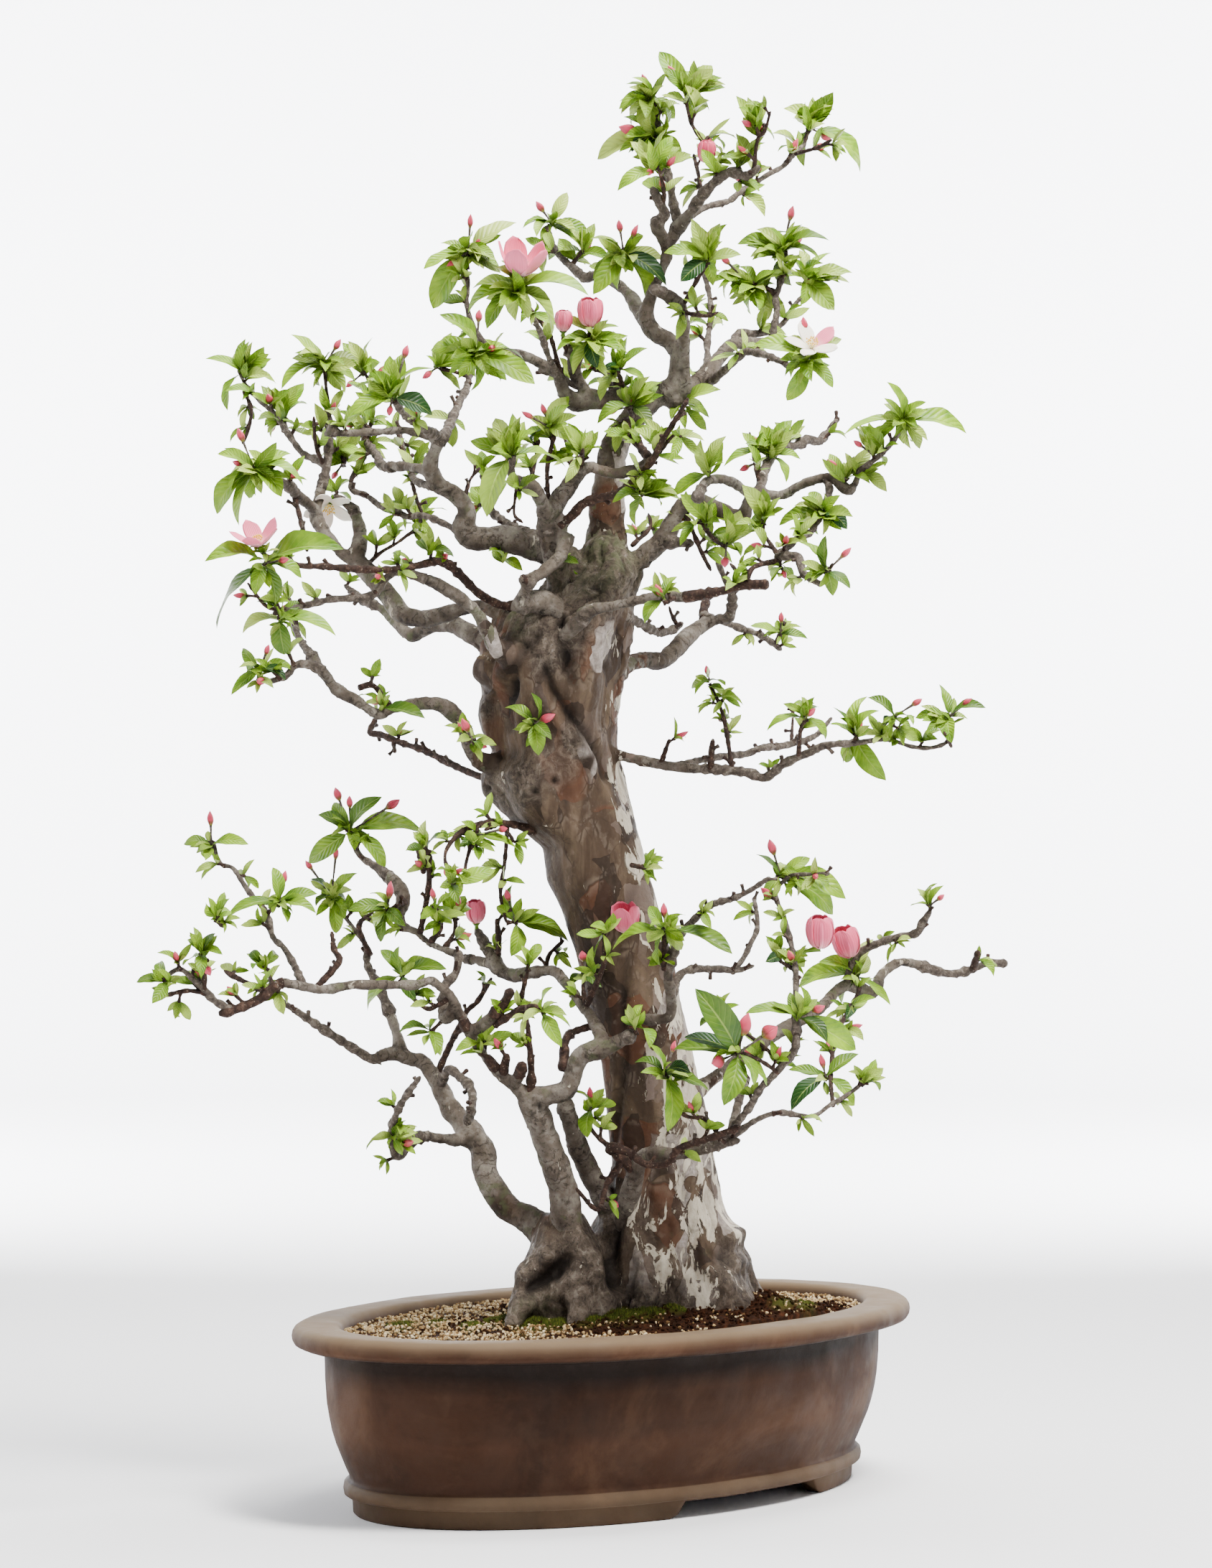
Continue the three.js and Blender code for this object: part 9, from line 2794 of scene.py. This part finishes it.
@dataclass
class SoilBed:
    """The soil: a bumpy peat mound round the roots, gravel towards the rim and a little moss."""

    chance: np.random.Generator
    edge: float = 0.129
    mound: float = 0.019
    reach: float = 0.150
    steepness: float = 1.6
    slope: float = 0.055
    middle: tuple[float, float] = (0.020, 0.015)
    heap: tuple[float, float] = (0.122, 0.0)
    heap_rise: float = 0.012
    heap_reach: float = 0.026
    bare_middle: tuple[float, float] = (0.09, -0.01)
    bare_half: tuple[float, float] = (0.215, 0.155)
    wall_inset: float = 37.8
    grain_inset: float = 38.5
    below: tuple[tuple[float, float], ...] = ((48.6, 22.6), (40.7, 60.0))
    sides: int = 208
    rings: int = 64
    stones: int = 6400
    stone_sizes: tuple[float, float] = (0.0016, 0.0034)
    crumbs: int = 3000
    crumb_sizes: tuple[float, float] = (0.0012, 0.0042)
    sunk: float = 0.3
    moss_blades: float = 2.2
    moss_spread: float = 0.55
    moss_heights: tuple[float, float] = (0.0014, 0.0034)
    moss_thickness: float = 0.00042

    def height(self, x: Array, y: Array) -> Array:
        """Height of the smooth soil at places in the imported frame.

        Args:
            x: Places across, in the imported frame.
            y: Places front to back.

        Returns:
            The heights, in metres.
        """
        across = x - SHIFT[0] - self.middle[0]
        deep = y - SHIFT[1] - self.middle[1]
        mound = np.exp(-(across ** 2 + deep ** 2) / self.reach ** 2 * self.steepness)
        return self.edge + mound * (self.mound + self.slope * across)

    def peat(self, x: Array, y: Array) -> Array:
        """How much of the ground is bare peat at each place, from 0 to 1.

        Args:
            x: Places across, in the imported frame.
            y: Places front to back.

        Returns:
            One share for each place.
        """
        across = (x - SHIFT[0] - self.bare_middle[0]) / self.bare_half[0]
        deep = (y - SHIFT[1] - self.bare_middle[1]) / self.bare_half[1]
        flat = level(x, y)
        ragged = field_noise(flat, 0.035, 5.5) * 0.35 + field_noise(flat, 0.012, 1.5) * 0.2
        return np.clip((1.0 - np.hypot(across, deep) + ragged) * 3, 0, 1)

    def surface(self, x: Array, y: Array) -> Array:
        """Height of the bumpy ground at each place.

        Args:
            x: Places across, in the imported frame.
            y: Places front to back.

        Returns:
            The heights, in metres.
        """
        flat = level(x, y)
        bumps = field_noise(flat, 0.022, 7.7) * 0.0022 + field_noise(flat, 0.008, 3.9) * 0.0013
        away = (x - SHIFT[0] - self.heap[0]) ** 2 + (y - SHIFT[1] - self.heap[1]) ** 2
        heap = np.exp(-away / self.heap_reach ** 2)
        return self.height(x, y) + bumps * (0.35 + 0.9 * self.peat(x, y)) + heap * self.heap_rise

    def scattered(self, count: int) -> tuple[Array, Array]:
        """Random places inside the wall.

        Args:
            count: How many places.

        Returns:
            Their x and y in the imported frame.
        """
        share = np.sqrt(self.chance.uniform(0, 1, count))
        angle = self.chance.uniform(0, 2 * np.pi, count)
        return OVAL.placed((OVAL.half_length - self.grain_inset * MM) * share * np.cos(angle),
                           (OVAL.half_width - self.grain_inset * MM) * share * np.sin(angle))

    def build(self, peat: bpy.types.Material, gravel: bpy.types.Material, moss: bpy.types.Material) -> None:
        """Makes the ground, its crumbs, its stones and its moss.

        Args:
            peat: The finish of the ground and crumbs.
            gravel: The finish of the stones.
            moss: The finish of the moss.
        """
        self.build_ground(peat)
        x, y = self.scattered(self.crumbs * 2)
        kept = self.chance.uniform(0, 1, len(x)) < self.peat(x, y)
        self.build_lumps("peat_crumbs", x[kept], y[kept], self.crumb_sizes, peat)
        x, y = self.scattered(self.stones * 2)
        brown = field_noise(level(x, y), 0.016, 6.6) * 0.9 + 0.25
        kept = self.chance.uniform(0, 1, len(x)) > np.maximum(self.peat(x, y) * 0.93, brown)
        self.build_lumps("gravel", x[kept][:self.stones], y[kept][:self.stones], self.stone_sizes, gravel)
        self.build_moss(moss)

    def build_ground(self, peat: bpy.types.Material) -> None:
        """Makes the ground itself, closed below.

        Args:
            peat: Its finish.
        """
        rim = OVAL.ring(self.wall_inset, 0, self.sides)
        centre = np.array([self.middle[0] + SHIFT[0], self.middle[1] + SHIFT[1]])
        rings = [OVAL.ring(inset, height, self.sides) for inset, height in self.below]
        for share in np.linspace(1, 0.01, self.rings):
            flat = centre + (rim[:, :2] - centre) * share
            rings.append(np.column_stack([flat, self.surface(flat[:, 0], flat[:, 1])]))
        damp = []
        for ring in rings:
            damp.append(np.column_stack([np.full(self.sides, 0.5), self.damp(ring), np.zeros(self.sides)]))
        make = Maker()
        make.add_rings(np.array(rings), True, 0, np.vstack(damp))
        keep(make.build("ground", [peat]), "soil", "soil")

    def damp(self, points: Array) -> Array:
        """How green the ground is at each point.

        Args:
            points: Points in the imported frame.

        Returns:
            One value from 0 to 1 for each point.
        """
        seen = SIGHT.columns_rows(points)
        green = np.zeros(len(points))
        for column, row, size in MOSS_PATCHES:
            across = (seen[:, 0] - column) / (size * 1.6)
            down = (seen[:, 1] - row) / (size * 0.9)
            green = np.maximum(green, np.exp(-across ** 2 - down ** 2))
        return green

    def build_lumps(self, name: str, x: Array, y: Array, sizes: tuple[float, float],
                    finish: bpy.types.Material) -> None:
        """Makes many small lumps that lie on the ground.

        Args:
            name: The piece's name.
            x: Their places across.
            y: Their places front to back.
            sizes: Least and greatest width, in metres.
            finish: Their finish.
        """
        corners, faces = lump()
        count = len(x)
        width = sizes[0] + (sizes[1] - sizes[0]) * self.chance.beta(1.6, 2.2, count)
        tumbles = np.linalg.qr(self.chance.normal(size=(count, 3, 3)))[0]
        uneven = self.chance.uniform(0.72, 1.18, (count, len(corners), 1))
        stretch = self.chance.uniform(0.7, 1.15, (count, 1, 3))
        forms = np.einsum("nij,nvj->nvi", tumbles, corners[None] * uneven * stretch)
        forms = forms * width[:, None, None] / 2
        middle = np.column_stack([x, y, self.surface(x, y) + width * self.sunk])
        points = (forms + middle[:, None]).reshape(-1, 3)
        places = (np.arange(count)[:, None, None] * len(corners) + faces[None]).reshape(-1, 3)
        tone = np.repeat(self.chance.beta(2.2, 1.6, count), len(corners))
        damp = np.repeat(self.damp(middle) * 0.7, len(corners))
        make = Maker()
        make.add(points, places.tolist(), 0, np.column_stack([tone, damp, tone * 0]))
        keep(make.build(name, [finish], False), "soil")

    def ground_at(self, column: float, row: float) -> Array | None:
        """The place on the ground seen at a column and row, or None if there is none.

        Args:
            column: Place across the front.
            row: Place down the front.

        Returns:
            The place, or None.
        """
        depths = np.arange(-230, 260, 2.0)
        points = np.array([SIGHT.place(column, row, depth) for depth in depths])
        under = np.flatnonzero(points[:, 2] < self.height(points[:, 0], points[:, 1]))
        return points[under[0]] if len(under) and under[0] else None

    def build_moss(self, moss: bpy.types.Material) -> None:
        """Makes the moss, as short blades that stand close together.

        Args:
            moss: Its finish.
        """
        make = Maker()
        for column, row, size in MOSS_PATCHES:
            middle = self.ground_at(column, row)
            if middle is None:
                log.info("moss at %d, %d lies off the ground", column, row)
                continue
            count = int(size * size * self.moss_blades)
            share = np.sqrt(self.chance.uniform(0, 1, count))
            angle = self.chance.uniform(0, 2 * np.pi, count)
            spread = size * self.moss_spread * MM
            x = middle[0] + spread * share * np.cos(angle) * 1.3
            y = middle[1] + spread * share * np.sin(angle)
            tall = self.chance.uniform(*self.moss_heights, count) * (1.15 - share ** 2)
            foot = np.column_stack([x, y, self.surface(x, y) - 0.0004])
            tips = foot + np.column_stack([self.chance.normal(0, 0.0006, (count, 2)), tall + 0.001])
            around = np.array([[math.cos(a), math.sin(a), 0.0] for a in (0.3, 2.4, 4.5)])
            around = around * self.moss_thickness
            points = np.concatenate([foot[:, None] + around[None], tips[:, None]], axis=1).reshape(-1, 3)
            corners = np.array([[0, 1, 3], [1, 2, 3], [2, 0, 3]])
            faces = (np.arange(count)[:, None, None] * 4 + corners[None]).reshape(-1, 3)
            tone = np.repeat(self.chance.uniform(0.1, 0.95, count), 4)
            make.add(points, faces.tolist(), 0, np.column_stack([tone, tone, tone]))
        keep(make.build("moss", [moss]), "soil")


def lump() -> tuple[Array, Array]:
    """Corners and faces of a round lump with twenty faces.

    Returns:
        Its corners, and its faces as places in them.
    """
    golden = (1 + math.sqrt(5)) / 2
    corners = []
    for a in (-1, 1):
        for b in (-golden, golden):
            corners += [[a, b, 0], [0, a, b], [b, 0, a]]
    corners = np.array(corners) / math.hypot(1, golden)
    edge = min(np.linalg.norm(corners[0] - c) for c in corners[1:]) * 1.01
    faces = []
    for i in range(12):
        for j in range(i + 1, 12):
            for k in range(j + 1, 12):
                trio = corners[[i, j, k]]
                if max(np.linalg.norm(trio - np.roll(trio, 1, 0), axis=1)) < edge:
                    outward = np.dot(np.cross(trio[1] - trio[0], trio[2] - trio[0]), trio[0]) > 0
                    faces.append([i, j, k] if outward else [i, k, j])
    return corners, np.array(faces)


@dataclass(frozen=True)
class SoftLight:
    """A square soft light.

    Attributes:
        name: Its name.
        place: Where it hangs.
        target: The point that it faces.
        size: Its width.
        power: Its power in watts.
        tint: Its colour.
    """

    name: str
    place: tuple[float, float, float]
    target: tuple[float, float, float]
    size: float
    power: float
    tint: tuple[float, float, float]

    def build(self) -> None:
        """Hangs the light in the scene."""
        lamp = bpy.data.lights.new(self.name, "AREA")
        lamp.size = self.size
        lamp.energy = self.power
        lamp.color = self.tint
        light = bpy.data.objects.new(self.name, lamp)
        light.location = self.place
        aim = Vector(self.target) - Vector(self.place)
        light.rotation_euler = aim.to_track_quat("-Z", "Y").to_euler()
        light.visible_camera = False
        bpy.context.scene.collection.objects.link(light)


TREE_MIDDLE = (0.0, 0.0, 0.55)
WARM, COOL, PLAIN = (1.0, 0.98, 0.95), (0.97, 0.98, 1.0), (1.0, 1.0, 1.0)
LIGHTS = [
    SoftLight("key", (1.1, -1.2, 3.0), TREE_MIDDLE, 0.9, 240, WARM),
    SoftLight("fill", (-2.3, 0.3, 1.3), TREE_MIDDLE, 1.3, 36, COOL),
    SoftLight("top", (0.4, 0.4, 3.2), TREE_MIDDLE, 1.4, 130, PLAIN),
    SoftLight("backdrop", (-2.2, 2.4, 1.7), (-1.3, 6.4, 1.0), 1.6, 760, COOL),
    SoftLight("backdrop", (2.2, 2.4, 1.7), (1.3, 6.4, 1.0), 1.6, 760, COOL),
]


@dataclass
class StudioRoom:
    """The floor and backdrop, the soft lights and the camera."""

    floor_sides: int = 72
    reach: float = 5.2
    sweep: float = 1.2
    wall: float = 2.7
    sky: tuple[float, float, float, float] = (0.93, 0.95, 1.0, 1.0)
    sky_strength: float = 0.3
    sensor: float = 36.0

    def build(self) -> None:
        """Makes the room."""
        self.build_floor(Studio().material())
        self.build_world()
        for light in LIGHTS:
            light.build()
        self.build_camera()

    def build_floor(self, paper: bpy.types.Material) -> None:
        """Makes the round floor, which sweeps up into a wall on all sides.

        Args:
            paper: Its finish.
        """
        profile = [[0.01, 0.0], [self.reach, 0.0]]
        for angle in np.linspace(0, math.pi / 2, 13)[1:]:
            profile.append([self.reach + self.sweep * math.sin(angle), self.sweep * (1 - math.cos(angle))])
        profile.append([self.reach + self.sweep, self.wall])
        across, deep = np.cos(turns(self.floor_sides)), np.sin(turns(self.floor_sides))
        rings = [np.column_stack([r * across, r * deep, across * 0 + z]) for r, z in profile]
        make = Maker()
        make.add_rings(np.array(rings), False)
        make.add(rings[0], [list(range(self.floor_sides))])
        make.build("studio_floor", [paper])

    def build_world(self) -> None:
        """Sets an even pale surround."""
        world = bpy.data.worlds.new("studio")
        world.use_nodes = True
        sky = next(n for n in world.node_tree.nodes if n.type == "BACKGROUND")
        sky.inputs["Color"].default_value = self.sky
        sky.inputs["Strength"].default_value = self.sky_strength
        bpy.context.scene.world = world

    def build_camera(self) -> None:
        """Sets the camera on the sight line that the tree is set out along."""
        lens = bpy.data.cameras.new("camera")
        lens.sensor_fit = "VERTICAL"
        lens.sensor_height = self.sensor
        lens.lens = SIGHT.focal / SIGHT.frame_rows * self.sensor
        camera = bpy.data.objects.new("camera", lens)
        camera.location = (SHIFT[0], SHIFT[1] - SIGHT.distance, SIGHT.height)
        camera.rotation_euler = (math.pi / 2, 0.0, 0.0)
        bpy.context.scene.collection.objects.link(camera)
        bpy.context.scene.camera = camera


@dataclass
class Quince:
    """The whole tree in its pot."""

    seed: int = 52
    skeleton: Skeleton = field(default_factory=Skeleton)

    def build(self) -> None:
        """Makes the wood, the leaves, the flowers, the soil and the pot."""
        self.skeleton.grow_all()
        bark, twig = Bark().material(), Twig().material()
        leaf, bud = Leaf().material(), Bud().material()
        Trunk(self.skeleton).build(bark)
        Limbs(self.skeleton).build(bark, twig)
        Foliage(self.skeleton, [leaf, bud, twig], random.Random(self.seed)).build()
        pink, white = Petal(BloomColour.PINK).material(), Petal(BloomColour.WHITE).material()
        gold = Pollen().material()
        finishes = {BloomColour.PINK: [pink, pink, leaf, gold], BloomColour.WHITE: [white, pink, leaf, gold]}
        Blooms(self.skeleton, finishes, random.Random(self.seed + 1)).build()
        SoilBed(np.random.default_rng(self.seed)).build(
            Grit(Ground.PEAT).material(), Grit(Ground.GRAVEL).material(), Grit(Ground.MOSS).material())
        Pot().build(Clay().material())


def main() -> None:
    """Builds the object and the room round it."""
    logging.basicConfig(level=logging.INFO, format="%(name)s %(message)s")
    Quince().build()
    StudioRoom().build()


if __name__ == "__main__":
    main()
